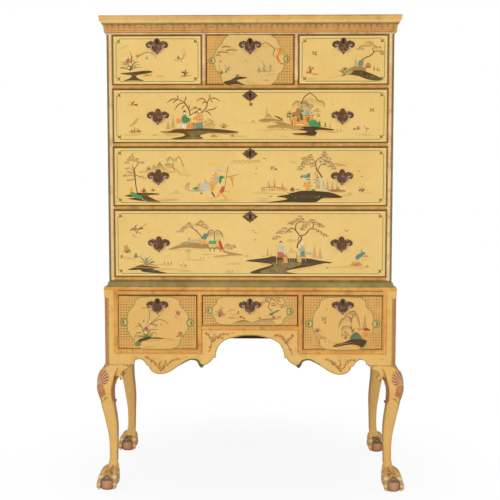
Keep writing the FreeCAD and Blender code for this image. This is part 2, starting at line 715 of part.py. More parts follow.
def rounded_square(x_low, x_high, y_low, y_high, z, rounding):
    """A closed wire of four lines and four arcs."""
    points = []
    turn = rounding * (1 - math.sqrt(0.5))
    for x, y, to_x, to_y, lead in ((x_high, y_low, -1, 1, "x"), (x_high, y_high, -1, -1, "y"),
                                   (x_low, y_high, 1, -1, "x"), (x_low, y_low, 1, 1, "y")):
        along_x = V(x + to_x * rounding, y, z)
        along_y = V(x, y + to_y * rounding, z)
        corner = V(x + to_x * turn, y + to_y * turn, z)
        points.append((along_x, corner, along_y) if lead == "x" else (along_y, corner, along_x))
    edges = []
    for (first, corner, last), following in zip(points, points[1:] + points[:1]):
        edges.append(Part.Arc(first, corner, last).toShape())
        edges.append(Part.LineSegment(last, following[0]).toShape())
    return Part.Wire(edges)


def leg_shaft():
    """The carved post of a front right leg from the joint down into the foot."""
    wires = []
    for height, reach, width, rounding in LEG_SHARES:
        outer = size("half_stand") + reach * size("knee_reach")
        wide = width * size("post_width")
        outer_y = outer - size("corner_offset")
        wires.append(rounded_square(outer - wide, outer, -outer_y, wide - outer_y,
                                    height * size("leg_height"), rounding * wide))
    return Part.makeLoft(wires, True, False)


def claw(shares, swap=False):
    """One claw over the ball: a loft through circles that follow its bent line."""
    reach, height, radius = size("claw_reach"), size("foot_height"), size("claw_radius")
    line = []
    for across, ahead, up, _ in shares:
        if swap:
            across, ahead = ahead, across
        line.append(V(size("foot_half_width") + across * reach, -size("foot_half_depth") - ahead * reach,
                      up * height))
    rings = []
    for number, point in enumerate(line):
        heading = line[min(number + 1, len(line) - 1)] - line[max(number - 1, 0)]
        rings.append(Part.Wire(Part.makeCircle(shares[number][3] * radius, point, heading)))
    return Part.makeLoft(rings, True, False)


def leg_form():
    """A whole leg: shaft, ball with a flat under it, and four claws."""
    centre = V(size("foot_half_width"), -size("foot_half_depth"), size("ball_height"))
    ball_shape = Part.makeSphere(size("ball_radius"), centre)
    claws = [claw(FRONT_CLAW_SHARES), claw(SIDE_CLAW_SHARES), claw(SIDE_CLAW_SHARES, True),
             claw(HEEL_CLAW_SHARES)]
    whole = leg_shaft().multiFuse([ball_shape, *claws])
    far = 2 * size("ball_radius")
    below = Part.makeBox(2 * far, 2 * far, far, centre - V(far, far, far + centre.z))
    return whole.cut(below)


def legs():
    """Four legs, each with the knee brackets glued beside it."""
    form = doc.addObject("Part::Feature", "leg_form_right")
    form.Shape = leg_form()
    reach, drop, joint = size("bracket_reach"), size("bracket_drop"), size("leg_height")
    half, depth = size("half_stand"), size("half_depth")
    across = scaled(BRACKET_SHARES, -reach, drop, half, joint)
    along = scaled(BRACKET_SHARES, reach, drop, -depth, joint)
    ahead = plate_body("bracket_front_plain", outline(*across), "XZ_Plane",
                       "half_depth - bracket_thick", "bracket_thick")
    beside = plate_body("bracket_side_plain", outline(*along), "YZ_Plane",
                        "half_stand - bracket_thick", "bracket_thick")
    bracket_front = cut("bracket_front", ahead, [form])
    bracket_side = cut("bracket_side", beside, [form])
    front_right = [form, bracket_front, bracket_side]
    back_form = doc.addObject("Part::Mirroring", "leg_form_back")
    back_form.Source = form
    back_form.Normal = V(0, 1, 0)
    back_bracket = doc.addObject("Part::Mirroring", "bracket_back_side")
    back_bracket.Source = bracket_side
    back_bracket.Normal = V(0, 1, 0)
    back_right = [back_form, back_bracket]
    nodes = {"leg_front_right": front_right, "leg_back_right": back_right}
    for side, pieces in (("front", front_right), ("back", back_right)):
        nodes[f"leg_{side}_left"] = [mirror(piece.Name + "_left", piece) for piece in pieces]
    return nodes


# Drawers, their fittings and their handles.

DRAWERS = {
    "short_left": ("-short_side_centre", "short_foot", "short_side_width", "short_height"),
    "short_centre": ("0", "short_foot", "short_centre_width", "short_height"),
    "short_right": ("short_side_centre", "short_foot", "short_side_width", "short_height"),
    "long_upper": ("0", "long_upper_foot", "long_width", "long_upper_height"),
    "long_middle": ("0", "long_middle_foot", "long_width", "long_middle_height"),
    "long_lower": ("0", "long_lower_foot", "long_width", "long_lower_height"),
    "stand_left": ("-stand_side_centre", "stand_side_foot", "stand_side_width", "stand_side_height"),
    "stand_centre": ("0", "stand_centre_foot", "stand_centre_width", "stand_centre_height"),
    "stand_right": ("stand_side_centre", "stand_side_foot", "stand_side_width", "stand_side_height"),
}


def keyhole(name, centre, front, top):
    """The cutting shapes of a keyhole: a round with a slot below it."""
    head = f"({top} - keyhole_drop)"
    start = f"(-{front} - pivot_reach)"
    length = "(pivot_reach + lock_face)"
    return [rod(name + "_round", "keyhole_radius", length, (centre, start, head), TOWARDS_BACK),
            board(name + "_slot", (f"{centre} - keyhole_slot / 2", start, f"{head} - keyhole_length"),
                  (f"{centre} + keyhole_slot / 2", f"{start} + {length}", head))]


def post(name, x, front, z):
    """A bail post with a bored round head, its long stem, and the nut behind the drawer front."""
    pivot = f"(-{front} - pivot_reach)"
    stem = rod(name + "_stem", "post_stem", "pivot_reach + front_thick + nut_thick + stem_end",
               (x, pivot, z), TOWARDS_BACK)
    bore = rod(name + "_bore", "pin_radius + pin_clear", "4 * post_head",
               (f"{x} - 2 * post_head", pivot, z), ACROSS_FRONT)
    head = ball(name + "_head", "post_head", (x, pivot, z))
    nut = doc.addObject("Part::Prism", name + "_hexagon")
    nut.Polygon = 6
    nut.setExpression("Circumradius", bound("nut_radius"))
    nut.setExpression("Height", bound("nut_thick"))
    nut.Placement = FreeCAD.Placement(V(0, 0, 0), TOWARDS_BACK)
    place(nut, x, f"front_thick - {front}", z)
    return stem, [cut(name, fuse(name + "_whole", [head, stem]), [bore]), cut(name + "_nut", nut, [stem])]


def bail(name, x, front, z):
    """A drop handle: a bent wire with a knop in the middle and a pin at the top of each arm."""
    pivot = f"(-{front} - pivot_reach)"
    wide, drop, wire = size("bail_half_width"), size("bail_drop"), size("bail_wire")
    middle, height = size(x), size(z)
    arm, corner = size("bail_arm"), size("bail_corner")
    aside, below = wide - corner, drop - arm
    bow = (aside ** 2 + below ** 2 - corner ** 2) / (2 * (below - corner))
    lean = math.atan2(bow - below, aside)

    def on_arc(centre_x, centre_z, radius, angle):
        return (middle + centre_x + radius * math.cos(angle), height + centre_z - radius * math.sin(angle))

    bends = [[on_arc(aside, -arm, corner, lean / 2), on_arc(aside, -arm, corner, lean)],
             [on_arc(0, bow - drop, bow, (lean + math.pi / 2) / 2), (middle, height - drop)]]
    top, straight = (middle + wide, height + wire), (middle + wide, height - arm)
    body = doc.addObject("PartDesign::Body", name + "_wire")
    line = sketch_in(body, "XZ_Plane", name + "_line", outline(top, [straight], *bends),
                     f"{front} + pivot_reach")
    ring = sketch_in(body, "XY_Plane", name + "_ring",
                     [Part.Circle(V(top[0], size(pivot), 0), V(0, 0, 1), wire)], f"{z} + bail_wire")
    doc.recompute()
    pipe = body.newObject("PartDesign::AdditivePipe", name + "_pipe")
    pipe.Profile = ring
    pipe.Spine = line
    other = mirror(name + "_wire_left", body)
    other.setExpression("Base.x", bound(x))
    reach = "post_spread + pin_end - bail_half_width"
    pins = [rod(name + "_pin_right", "pin_radius", reach, (f"{x} + bail_half_width", pivot, z), ACROSS_FRONT),
            rod(name + "_pin_left", "pin_radius", reach, (f"{x} - post_spread - pin_end", pivot, z),
                ACROSS_FRONT)]
    knop = ball(name + "_knop", "bail_knop", (x, pivot, f"{z} - bail_drop"))
    return fuse(name + "_whole", [body, other, *pins, knop])


def drawer(name):
    """One drawer: its woodwork, its fittings, its lock bolt and its bails."""
    centre, foot, width, height = DRAWERS[name]
    on_stand = name.startswith("stand")
    front = "half_depth" if on_stand else "case_front"
    gap = "stand_gap" if on_stand else "drawer_gap"
    top = f"({foot} + {height})"
    half = f"{width} / 2"
    back_of_front = f"(front_thick - {front})"
    keyed = not name.startswith("long")
    if keyed:
        plates = {"": (centre, f"({top} - plate_drop)")}
    else:
        plate_top = f"({foot} + {height} / 2 - plate_lower + plate_height / 2)"
        plates = {"_left": (f"({centre} - plate_spread)", plate_top),
                  "_right": (f"({centre} + plate_spread)", plate_top)}
    key_cutters = keyhole(name + "_keyhole", centre, front, top)
    recess = board(name + "_lock_recess", (f"{centre} - lock_width / 2", f"lock_face - {front}",
                                           f"{top} - lock_height"),
                   (f"{centre} + lock_width / 2", f"{back_of_front} + overrun", f"{top} + overrun"))
    fittings, stems, bails = [], [], {}
    for side, (x, plate_top) in plates.items():
        label = f"{name}_plate{side}"
        pivot = f"({plate_top} - post_drop)"
        plate_stems = []
        for hand, sign in (("left", "-"), ("right", "+")):
            stem, pieces = post(f"{label}_post_{hand}", f"({x} {sign} post_spread)", front, pivot)
            plate_stems.append(stem)
            fittings += pieces
        half_plate = scaled(PLATE_SHARES, size("plate_width / 2"), size("plate_height"))
        plain = plate_body(label + "_plain", whole_outline(half_plate, size(x), size(plate_top)),
                           "XZ_Plane", front, "plate_thick")
        fittings.append(cut(label, plain, plate_stems + (key_cutters if keyed else [])))
        stems += plate_stems
        bails[f"bail_{name}{side}"] = [bail(f"{name}_bail{side}", x, front, pivot)]
    if not keyed:
        quarter = scaled(ESCUTCHEON_SHARES, size("escutcheon_width / 2"), size("escutcheon_height / 2"))
        right_half = [*quarter, *flipped(quarter, 1, -1)]
        plain = plate_body(name + "_escutcheon_plain",
                           whole_outline(right_half, size(centre), size(f"{top} - escutcheon_drop")),
                           "XZ_Plane", front, "plate_thick")
        fittings.append(cut(name + "_escutcheon", plain, key_cutters))
    panel = board(name + "_front_plain", (f"{centre} - {half}", f"-{front}", foot),
                  (f"{centre} + {half}", back_of_front, top))
    case = board(name + "_lock_plain", (f"{centre} - lock_width / 2", f"lock_face - {front}",
                                        f"{top} - lock_height"),
                 (f"{centre} + lock_width / 2", back_of_front, top))
    channel = board(name + "_bolt_channel",
                    (f"{centre} - bolt_width / 2 - bolt_clear", f"bolt_inset - bolt_clear - {front}",
                     f"{top} - bolt_sink - bolt_height - runner_gap"),
                    (f"{centre} + bolt_width / 2 + bolt_clear",
                     f"bolt_inset + bolt_thick + bolt_clear - {front}", f"{top} + overrun"))
    fittings.append(cut(name + "_lock_case", case, [channel]))
    bolt = board(name + "_bolt", (f"{centre} - bolt_width / 2", f"bolt_inset - {front}",
                                  f"{top} - bolt_sink - bolt_height"),
                 (f"{centre} + bolt_width / 2", f"bolt_inset + bolt_thick - {front}", f"{top} - bolt_sink"))
    low = f"({foot} - {gap} + runner_gap)"
    far = f"({back_of_front} + drawer_length)"
    left = board(name + "_side_left", (f"{centre} - {half}", back_of_front, low),
                 (f"{centre} - {half} + drawer_side", far, f"{top} - side_drop"))
    right = board(name + "_side_right", (f"{centre} + {half} - drawer_side", back_of_front, low),
                  (f"{centre} + {half}", far, f"{top} - side_drop"))
    inner = f"({half} - drawer_side)"
    back = board(name + "_back", (f"{centre} - {inner}", f"{far} - drawer_side", low),
                 (f"{centre} + {inner}", far, f"{top} - back_drop"))
    base = board(name + "_base", (f"{centre} - {inner}", back_of_front, f"{low} + bottom_raise"),
                 (f"{centre} + {inner}", f"{far} - drawer_side", f"{low} + bottom_raise + drawer_bottom"))
    woodwork = [cut(name + "_front", panel, [recess, *key_cutters, *stems]), left, right, back, base]
    return {f"drawer_{name}": woodwork, f"fittings_{name}": fittings, f"lock_bolt_{name}": [bolt], **bails}


def write(nodes):
    """Check every object and write one file for each sub-part."""
    for name, pieces in nodes.items():
        node = group("node_" + name, pieces)
        node.Label = name
        nodes[name] = node
    doc.recompute()
    failed = [item.Label for item in doc.Objects if {"Invalid", "Error"} & set(item.State)]
    if failed:
        raise RuntimeError(f"failed objects: {failed}")
    os.makedirs("parts", exist_ok=True)
    for name, node in nodes.items():
        if node.Shape.isNull() or not node.Shape.isValid() or not node.Shape.Solids:
            raise RuntimeError(f"{name} has no valid shape")
        node.Shape.exportStep(f"parts/{name}.step")
        print(name, len(node.Shape.Solids), "solids", round(node.Shape.Volume / 1000), "cm3")


nodes = {**case_boards(), **case_rails(), **case_beads(), **mouldings(), **stand_posts(), **stand_frame(),
         **stand_apron(), **stand_runners(), **stand_beads(), **legs()}
for name in DRAWERS:
    nodes.update(drawer(name))
write(nodes)
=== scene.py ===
"""A japanned chest of drawers on its stand: paint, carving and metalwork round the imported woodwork."""
import math
import random

import bmesh
import bpy
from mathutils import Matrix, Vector


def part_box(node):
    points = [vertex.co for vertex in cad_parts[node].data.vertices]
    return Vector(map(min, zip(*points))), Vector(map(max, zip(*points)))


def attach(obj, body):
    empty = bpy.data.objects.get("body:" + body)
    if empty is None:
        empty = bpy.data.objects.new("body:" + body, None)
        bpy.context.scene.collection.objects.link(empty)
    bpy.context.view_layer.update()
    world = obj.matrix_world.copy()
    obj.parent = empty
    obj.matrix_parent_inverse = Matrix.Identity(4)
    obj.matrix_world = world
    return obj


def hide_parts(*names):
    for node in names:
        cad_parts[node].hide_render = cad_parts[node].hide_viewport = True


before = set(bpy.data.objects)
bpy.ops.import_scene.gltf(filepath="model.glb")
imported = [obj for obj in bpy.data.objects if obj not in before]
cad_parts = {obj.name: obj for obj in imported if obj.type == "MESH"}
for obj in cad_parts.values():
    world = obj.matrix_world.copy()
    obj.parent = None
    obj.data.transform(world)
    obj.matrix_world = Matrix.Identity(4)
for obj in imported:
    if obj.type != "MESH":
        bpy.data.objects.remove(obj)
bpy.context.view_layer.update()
MM = 0.001

# Camera, floor and light ---------------------------------------------------------------------------

TURN = math.radians(1.05)
FRONT_PLANE = -0.240
DISTANCE = 3.1075
EYE_HEIGHT = 1.100
TILT_DOWN = math.radians(4.39)
LENS = 63.84
SENSOR = 36.0
MIDDLE_SHIFT = 0.0001
AIR_GLOW = 0.555
FLOOR_RADIUS = 9.0
FLOOR_PAPER = (0.97, 0.97, 0.97, 1)
FLOOR_FADE = (0.30, 1.05)
FLOOR_GLOW = 0.87
PURE_WHITE = (1, 1, 1, 1)
# Each lamp: its name, its place, the point it looks at, its width in metres and its watts.
LAMPS = (
    ("key_lamp", (-1.6, -3.4, 3.2), (0, 0, 0.9), 1.8, 47.0),
    ("fill_lamp", (2.2, -3.2, 1.8), (0, 0, 0.8), 2.2, 20.0),
    ("low_lamp", (0.0, -3.0, 0.30), (0, 0.2, 0.25), 1.2, 12.0),
)


def set_camera():
    """The photograph's viewpoint."""
    data = bpy.data.cameras.new("camera")
    data.sensor_width = SENSOR
    data.lens = LENS
    data.shift_x = MIDDLE_SHIFT
    camera = bpy.data.objects.new("camera", data)
    camera.location = (DISTANCE * math.sin(TURN), FRONT_PLANE - DISTANCE * math.cos(TURN), EYE_HEIGHT)
    camera.rotation_euler = (math.pi / 2 - TILT_DOWN, 0, TURN)
    bpy.context.scene.collection.objects.link(camera)
    bpy.context.scene.camera = camera


def srgb(red, green, blue):
    """A colour as a paint chart gives it, 0 to 255, made linear for the shader."""
    def linear(value):
        value /= 255
        return value / 12.92 if value <= 0.04045 else ((value + 0.055) / 1.055) ** 2.4
    return (linear(red), linear(green), linear(blue), 1.0)


def feed(tree, socket, value):
    """Give a socket a plain value, or link it to the socket that feeds it."""
    if isinstance(value, bpy.types.NodeSocket):
        tree.links.new(value, socket)
    else:
        socket.default_value = value


def add_node(tree, kind, settings=None, **inputs):
    """A node whose inputs are given by name, as values or as the sockets that feed them."""
    node = tree.nodes.new(kind)
    for key, value in (settings or {}).items():
        setattr(node, key, value)
    for key, value in inputs.items():
        wanted = key.replace("_", " ")
        feed(tree, next(s for s in node.inputs if s.name == wanted and s.enabled), value)
    return node


def maths(tree, operation, *values, clamp=False):
    """The result of a Math node on numbers or sockets."""
    node = tree.nodes.new("ShaderNodeMath")
    node.operation = operation
    node.use_clamp = clamp
    for socket, value in zip(node.inputs, values):
        feed(tree, socket, value)
    return node.outputs[0]


def times(tree, first, second):
    """The product of two numbers or sockets."""
    return maths(tree, "MULTIPLY", first, second)


def rest(tree, value):
    """What is left of 1 after a share."""
    return maths(tree, "SUBTRACT", 1.0, value)


def blend_colours(tree, share, first, second):
    """Second laid over first by a share."""
    node = tree.nodes.new("ShaderNodeMix")
    node.data_type = "RGBA"
    node.clamp_factor = True
    for socket, value in ((node.inputs[0], share), (node.inputs[6], first), (node.inputs[7], second)):
        feed(tree, socket, value)
    return node.outputs[2]


def step_up(tree, value, low, high):
    """0 below low, 1 above high, and a soft ramp between."""
    node = tree.nodes.new("ShaderNodeMapRange")
    node.interpolation_type = "SMOOTHSTEP"
    tree.links.new(value, node.inputs["Value"])
    node.inputs["From Min"].default_value = low
    node.inputs["From Max"].default_value = high
    return node.outputs["Result"]


def between(tree, value, low, high, soft):
    """1 from low to high and 0 beyond them, with soft edges."""
    return times(tree, step_up(tree, value, low - soft, low + soft),
        rest(tree, step_up(tree, value, high - soft, high + soft)))


def set_stage():
    """A plain pale floor that fades to white, and soft light from the front and above."""
    world = bpy.data.worlds.new("world")
    bpy.context.scene.world = world
    world.use_nodes = True
    tree = world.node_tree
    tree.nodes.clear()
    path = add_node(tree, "ShaderNodeLightPath")
    seen = maths(tree, "MAXIMUM", path.outputs["Is Camera Ray"], path.outputs["Is Transmission Ray"])
    strength = add_node(tree, "ShaderNodeMix", Factor=seen, A=AIR_GLOW, B=1.0)
    back = add_node(tree, "ShaderNodeBackground", Color=PURE_WHITE, Strength=strength.outputs[0])
    add_node(tree, "ShaderNodeOutputWorld", Surface=back.outputs[0])

    bm = bmesh.new()
    bmesh.ops.create_circle(bm, cap_ends=True, radius=FLOOR_RADIUS, segments=96)
    floor = mesh_object("floor", bm)
    material = bpy.data.materials.new("floor_paper")
    material.use_nodes = True
    tree = material.node_tree
    tree.nodes.clear()
    place = add_node(tree, "ShaderNodeTexCoord").outputs["Object"]
    far = add_node(tree, "ShaderNodeVectorMath", {"operation": "LENGTH"}, Vector=place).outputs["Value"]
    fade = step_up(tree, far, *FLOOR_FADE)
    matt = add_node(tree, "ShaderNodeBsdfDiffuse", Color=FLOOR_PAPER)
    white = add_node(tree, "ShaderNodeEmission", Color=PURE_WHITE, Strength=1.0)
    path = add_node(tree, "ShaderNodeLightPath")
    pale = maths(tree, "ADD", FLOOR_GLOW, times(tree, fade, 1 - FLOOR_GLOW))
    share = times(tree, pale, path.outputs["Is Camera Ray"])
    both = add_node(tree, "ShaderNodeMixShader", Fac=share)
    tree.links.new(matt.outputs[0], both.inputs[1])
    tree.links.new(white.outputs[0], both.inputs[2])
    add_node(tree, "ShaderNodeOutputMaterial", Surface=both.outputs[0])
    floor.data.materials.append(material)

    for name, spot, aim, width, watts in LAMPS:
        data = bpy.data.lights.new(name, "AREA")
        data.shape = "SQUARE"
        data.size = width
        data.energy = watts
        lamp = bpy.data.objects.new(name, data)
        lamp.location = spot
        lamp.rotation_euler = (Vector(aim) - Vector(spot)).to_track_quat("-Z", "Y").to_euler()
        bpy.context.scene.collection.objects.link(lamp)


def mesh_object(name, bm):
    """The bmesh as an object at the origin."""
    mesh = bpy.data.meshes.new(name)
    bm.to_mesh(mesh)
    bm.free()
    made = bpy.data.objects.new(name, mesh)
    bpy.context.scene.collection.objects.link(made)
    return made


bpy.context.scene.view_settings.view_transform = "Standard"
set_camera()
set_stage()

# Finishes ------------------------------------------------------------------------------------------

PINK_BEAD = srgb(242, 204, 150)
GESSO = srgb(238, 226, 200)
# The dark brown of dirt in the crazing and specks, and of the painted shade in the gaps round the drawers.
GRIME_AND_GAP_SHADE = srgb(98, 68, 26)
BRONZE = srgb(94, 60, 26)
# A painted highlight for metal that stands proud, and painted black shade for metal beyond the drawer fronts.
PROUD_HIGHLIGHT = srgb(206, 184, 172)
HOLLOW_SHADE = srgb(14, 10, 7)
RAW_WOOD_TONES = (srgb(168, 122, 74), srgb(106, 70, 38))
OAK_TONES = (srgb(176, 132, 84), srgb(116, 78, 44))
SPECULAR = 0.22
COAT_ROUGHNESS = 0.28
PAINT_BUMP = 0.0006
WOODWORK_SHINE = 0.42
WOODWORK_GLOSS = 0.15
# The ground under the painted scenes, and how glossy it and the scenes are.
GROUND = {"Mottle": 0.75, "Crazing": 0.22, "Specks": 0.35, "Shine": 0.36}
GROUND_GLOSS = 0.12
THINNING = 0.06
# Half the width of the soft edge between two painted bands, and of that at the ends of a stripe.
SOFT_EDGE = 0.0004
SOFT_END = 0.002
STAND_TOP = (0.72, 0.73)


def new_group(name, inputs, outputs):
    """An empty shader group with its named inputs and outputs, and the nodes at its two ends."""
    group = bpy.data.node_groups.new(name, "ShaderNodeTree")
    for label, kind, value in inputs:
        socket = group.interface.new_socket(label, in_out="INPUT", socket_type="NodeSocket" + kind)
        if value is not None:
            socket.default_value = value
    for label, kind in outputs:
        group.interface.new_socket(label, in_out="OUTPUT", socket_type="NodeSocket" + kind)
    start = group.nodes.new("NodeGroupInput")
    end = group.nodes.new("NodeGroupOutput")
    return group, start.outputs, end.inputs


def noise(tree, place, scale, detail, rough=0.55):
    """A smooth noise value at a scale in turns to the metre."""
    return add_node(tree, "ShaderNodeTexNoise", Vector=place, Scale=scale, Detail=detail,
        Roughness=rough).outputs["Fac"]


def make_old_paint_group():
    """Oil paint of some age: mottled, finely crazed, dusty in places and with small dark specks."""
    group, given, out = new_group(
        "old_paint",
        [("Colour", "Color", None), ("Deep Colour", "Color", None), ("Mottle", "Float", 0.5),
         ("Crazing", "Float", 0.3), ("Specks", "Float", 0.5), ("Shine", "Float", 0.42)],
        [("Colour", "Color"), ("Roughness", "Float"), ("Height", "Float")])
    place = add_node(group, "ShaderNodeTexCoord").outputs["Object"]
    cloud = step_up(group, noise(group, place, 5.5, 4.0, 0.6), 0.34, 0.72)
    small = step_up(group, noise(group, place, 46.0, 4.0, 0.6), 0.30, 0.78)
    blotch = times(group, maths(group, "ADD", times(group, cloud, 0.65), times(group, small, 0.45)),
        given["Mottle"])
    colour = blend_colours(group, blotch, given["Colour"], given["Deep Colour"])
    warp = noise(group, place, 60.0, 2.0)
    bent = add_node(group, "ShaderNodeVectorMath", {"operation": "ADD"}, Vector=place).outputs[0]
    shove = add_node(group, "ShaderNodeCombineXYZ", X=times(group, warp, 0.008), Y=0.0,
        Z=times(group, warp, 0.006)).outputs[0]
    group.links.new(shove, bent.node.inputs[1])
    cells = group.nodes.new("ShaderNodeTexVoronoi")
    cells.feature = "DISTANCE_TO_EDGE"
    cells.inputs["Scale"].default_value = 105.0
    group.links.new(bent, cells.inputs["Vector"])
    craze = rest(group, step_up(group, cells.outputs["Distance"], 0.0, 0.035))
    patchy = step_up(group, noise(group, place, 14.0, 2.0), 0.40, 0.66)
    craze = times(group, times(group, craze, patchy), given["Crazing"])
    colour = blend_colours(group, times(group, craze, 0.5), colour, GRIME_AND_GAP_SHADE)
    dots = step_up(group, noise(group, place, 340.0, 1.0), 0.70, 0.76)
    dots = times(group, dots, times(group, patchy, given["Specks"]))
    colour = blend_colours(group, dots, colour, GRIME_AND_GAP_SHADE)
    grain = noise(group, place, 260.0, 3.0)
    group.links.new(colour, out["Colour"])
    rough = maths(group, "ADD", given["Shine"], times(group, small, 0.16))
    group.links.new(rough, out["Roughness"])
    height = maths(group, "SUBTRACT", times(group, grain, 0.25), craze)
    group.links.new(height, out["Height"])
    return group


def make_chips_group():
    """Where paint is rubbed or knocked off to the white ground, as a mask."""
    group, given, out = new_group(
        "chips", [("Amount", "Float", 0.3), ("Fine", "Float", 1.0), ("Crest", "Float", 1.0)],
        [("Rubbed", "Float"), ("Dirt", "Float")])
    place = add_node(group, "ShaderNodeTexCoord").outputs["Object"]
    broad = noise(group, place, 7.0, 3.0, 0.65)
    scale = times(group, given["Fine"], 150.0)
    fine = add_node(group, "ShaderNodeTexNoise", Vector=place, Scale=scale, Detail=4.0, Roughness=0.7)
    both = maths(group, "ADD", times(group, fine.outputs["Fac"], 0.62), times(group, broad, 0.38))
    edge = maths(group, "SUBTRACT", 0.76, times(group, given["Amount"], 0.34))
    raw = maths(group, "MULTIPLY", maths(group, "SUBTRACT", both, edge), 28.0, clamp=True)
    group.links.new(times(group, raw, given["Crest"]), out["Rubbed"])
    dirt = step_up(group, noise(group, place, 33.0, 4.0, 0.65), 0.50, 0.76)
    group.links.new(dirt, out["Dirt"])
    return group


def make_raw_wood_group():
    """Plain sawn boards: long grain along a chosen way, with darker lines."""
    group, given, out = new_group(
        "raw_wood", [("Colour", "Color", None), ("Deep Colour", "Color", None), ("Stretch", "Vector", None)],
        [("Colour", "Color"), ("Height", "Float")])
    place = add_node(group, "ShaderNodeTexCoord").outputs["Object"]
    long_way = add_node(group, "ShaderNodeMapping", Vector=place, Scale=given["Stretch"]).outputs[0]
    grain = noise(group, long_way, 26.0, 6.0, 0.62)
    lines = noise(group, long_way, 90.0, 3.0, 0.7)
    share = maths(group, "ADD", times(group, step_up(group, grain, 0.32, 0.68), 0.7),
        times(group, step_up(group, lines, 0.45, 0.75), 0.4))
    colour = blend_colours(group, share, given["Colour"], given["Deep Colour"])
    group.links.new(colour, out["Colour"])
    group.links.new(times(group, lines, 0.5), out["Height"])
    return group


def make_trellis_group():
    """The diaper ground: rows of small dashes and crosses on a square grid, as a mask."""
    group, given, out = new_group(
        "trellis", [("Pitch", "Float", 10.0), ("Across", "Float", 0.0), ("Up", "Float", 0.0)],
        [("Dash", "Float"), ("Check", "Float")])
    place = add_node(group, "ShaderNodeTexCoord").outputs["Object"]
    split = add_node(group, "ShaderNodeSeparateXYZ", Vector=place)
    shake = noise(group, place, 30.0, 2.0)

    def from_middle(turns):
        """How far a place lies from the middle of its cell."""
        return maths(group, "ABSOLUTE", maths(group, "SUBTRACT", maths(group, "FRACT", turns), 0.5))

    def cell(axis, start):
        """A place along an axis in cells, and its distance from the middle of its cell."""
        run = maths(group, "SUBTRACT", split.outputs[axis], start)
        run = maths(group, "ADD", run, times(group, shake, 0.0012))
        turns = maths(group, "DIVIDE", times(group, run, 1000.0), given["Pitch"])
        return turns, from_middle(turns)

    turns_x, from_x = cell("X", given["Across"])
    turns_z, from_z = cell("Z", given["Up"])
    across = rest(group, step_up(group, from_x, 0.24, 0.34))
    narrow = rest(group, step_up(group, from_z, 0.15, 0.23))
    along = rest(group, step_up(group, from_z, 0.24, 0.34))
    thin = rest(group, step_up(group, from_x, 0.06, 0.13))
    cross = maths(group, "MAXIMUM", times(group, across, narrow), times(group, times(group, along, thin), 0.6))
    faded = step_up(group, noise(group, place, 24.0, 3.0), 0.28, 0.55)
    group.links.new(times(group, cross, faded), out["Dash"])
    slant = from_middle(maths(group, "ADD", turns_x, turns_z))
    counter = from_middle(maths(group, "SUBTRACT", turns_x, turns_z))
    lines = maths(group, "MINIMUM", slant, counter)
    group.links.new(rest(group, step_up(group, lines, 0.03, 0.09)), out["Check"])
    return group


OLD_PAINT = make_old_paint_group()
CHIPS = make_chips_group()
RAW_WOOD = make_raw_wood_group()
TRELLIS = make_trellis_group()


def use_group(tree, group, **inputs):
    """The group placed in a material with its own values."""
    node = tree.nodes.new("ShaderNodeGroup")
    node.node_tree = group
    for key, value in inputs.items():
        feed(tree, node.inputs[key.replace("_", " ")], value)
    return node.outputs


def start_material(name):
    """A new material: its tree, its shader and the split object position."""
    material = bpy.data.materials.new(name)
    material.use_nodes = True
    tree = material.node_tree
    shader = tree.nodes["Principled BSDF"]
    place = add_node(tree, "ShaderNodeTexCoord").outputs["Object"]
    return material, tree, shader, add_node(tree, "ShaderNodeSeparateXYZ", Vector=place).outputs


def finish_paint(tree, shader, colour, rough, height, gloss=0.0):
    """Feed the painted colour, the roughness and the bump to the shader."""
    tree.links.new(colour, shader.inputs["Base Color"])
    feed(tree, shader.inputs["Roughness"], rough)
    shader.inputs["Coat Weight"].default_value = gloss
    shader.inputs["Specular IOR Level"].default_value = SPECULAR
    shader.inputs["Coat Roughness"].default_value = COAT_ROUGHNESS
    raised = add_node(tree, "ShaderNodeBump", Height=height, Strength=0.5, Distance=PAINT_BUMP)
    tree.links.new(raised.outputs[0], shader.inputs["Normal"])


def facing(tree, x=0.0, y=0.0, low=0.6, high=0.85):
    """A mask of the faces that look one way."""
    normal = add_node(tree, "ShaderNodeNewGeometry").outputs["Normal"]
    way = add_node(tree, "ShaderNodeVectorMath", {"operation": "DOT_PRODUCT"}, Vector=normal)
    way.inputs[1].default_value = (x, y, 0.0)
    return step_up(tree, way.outputs["Value"], low, high)


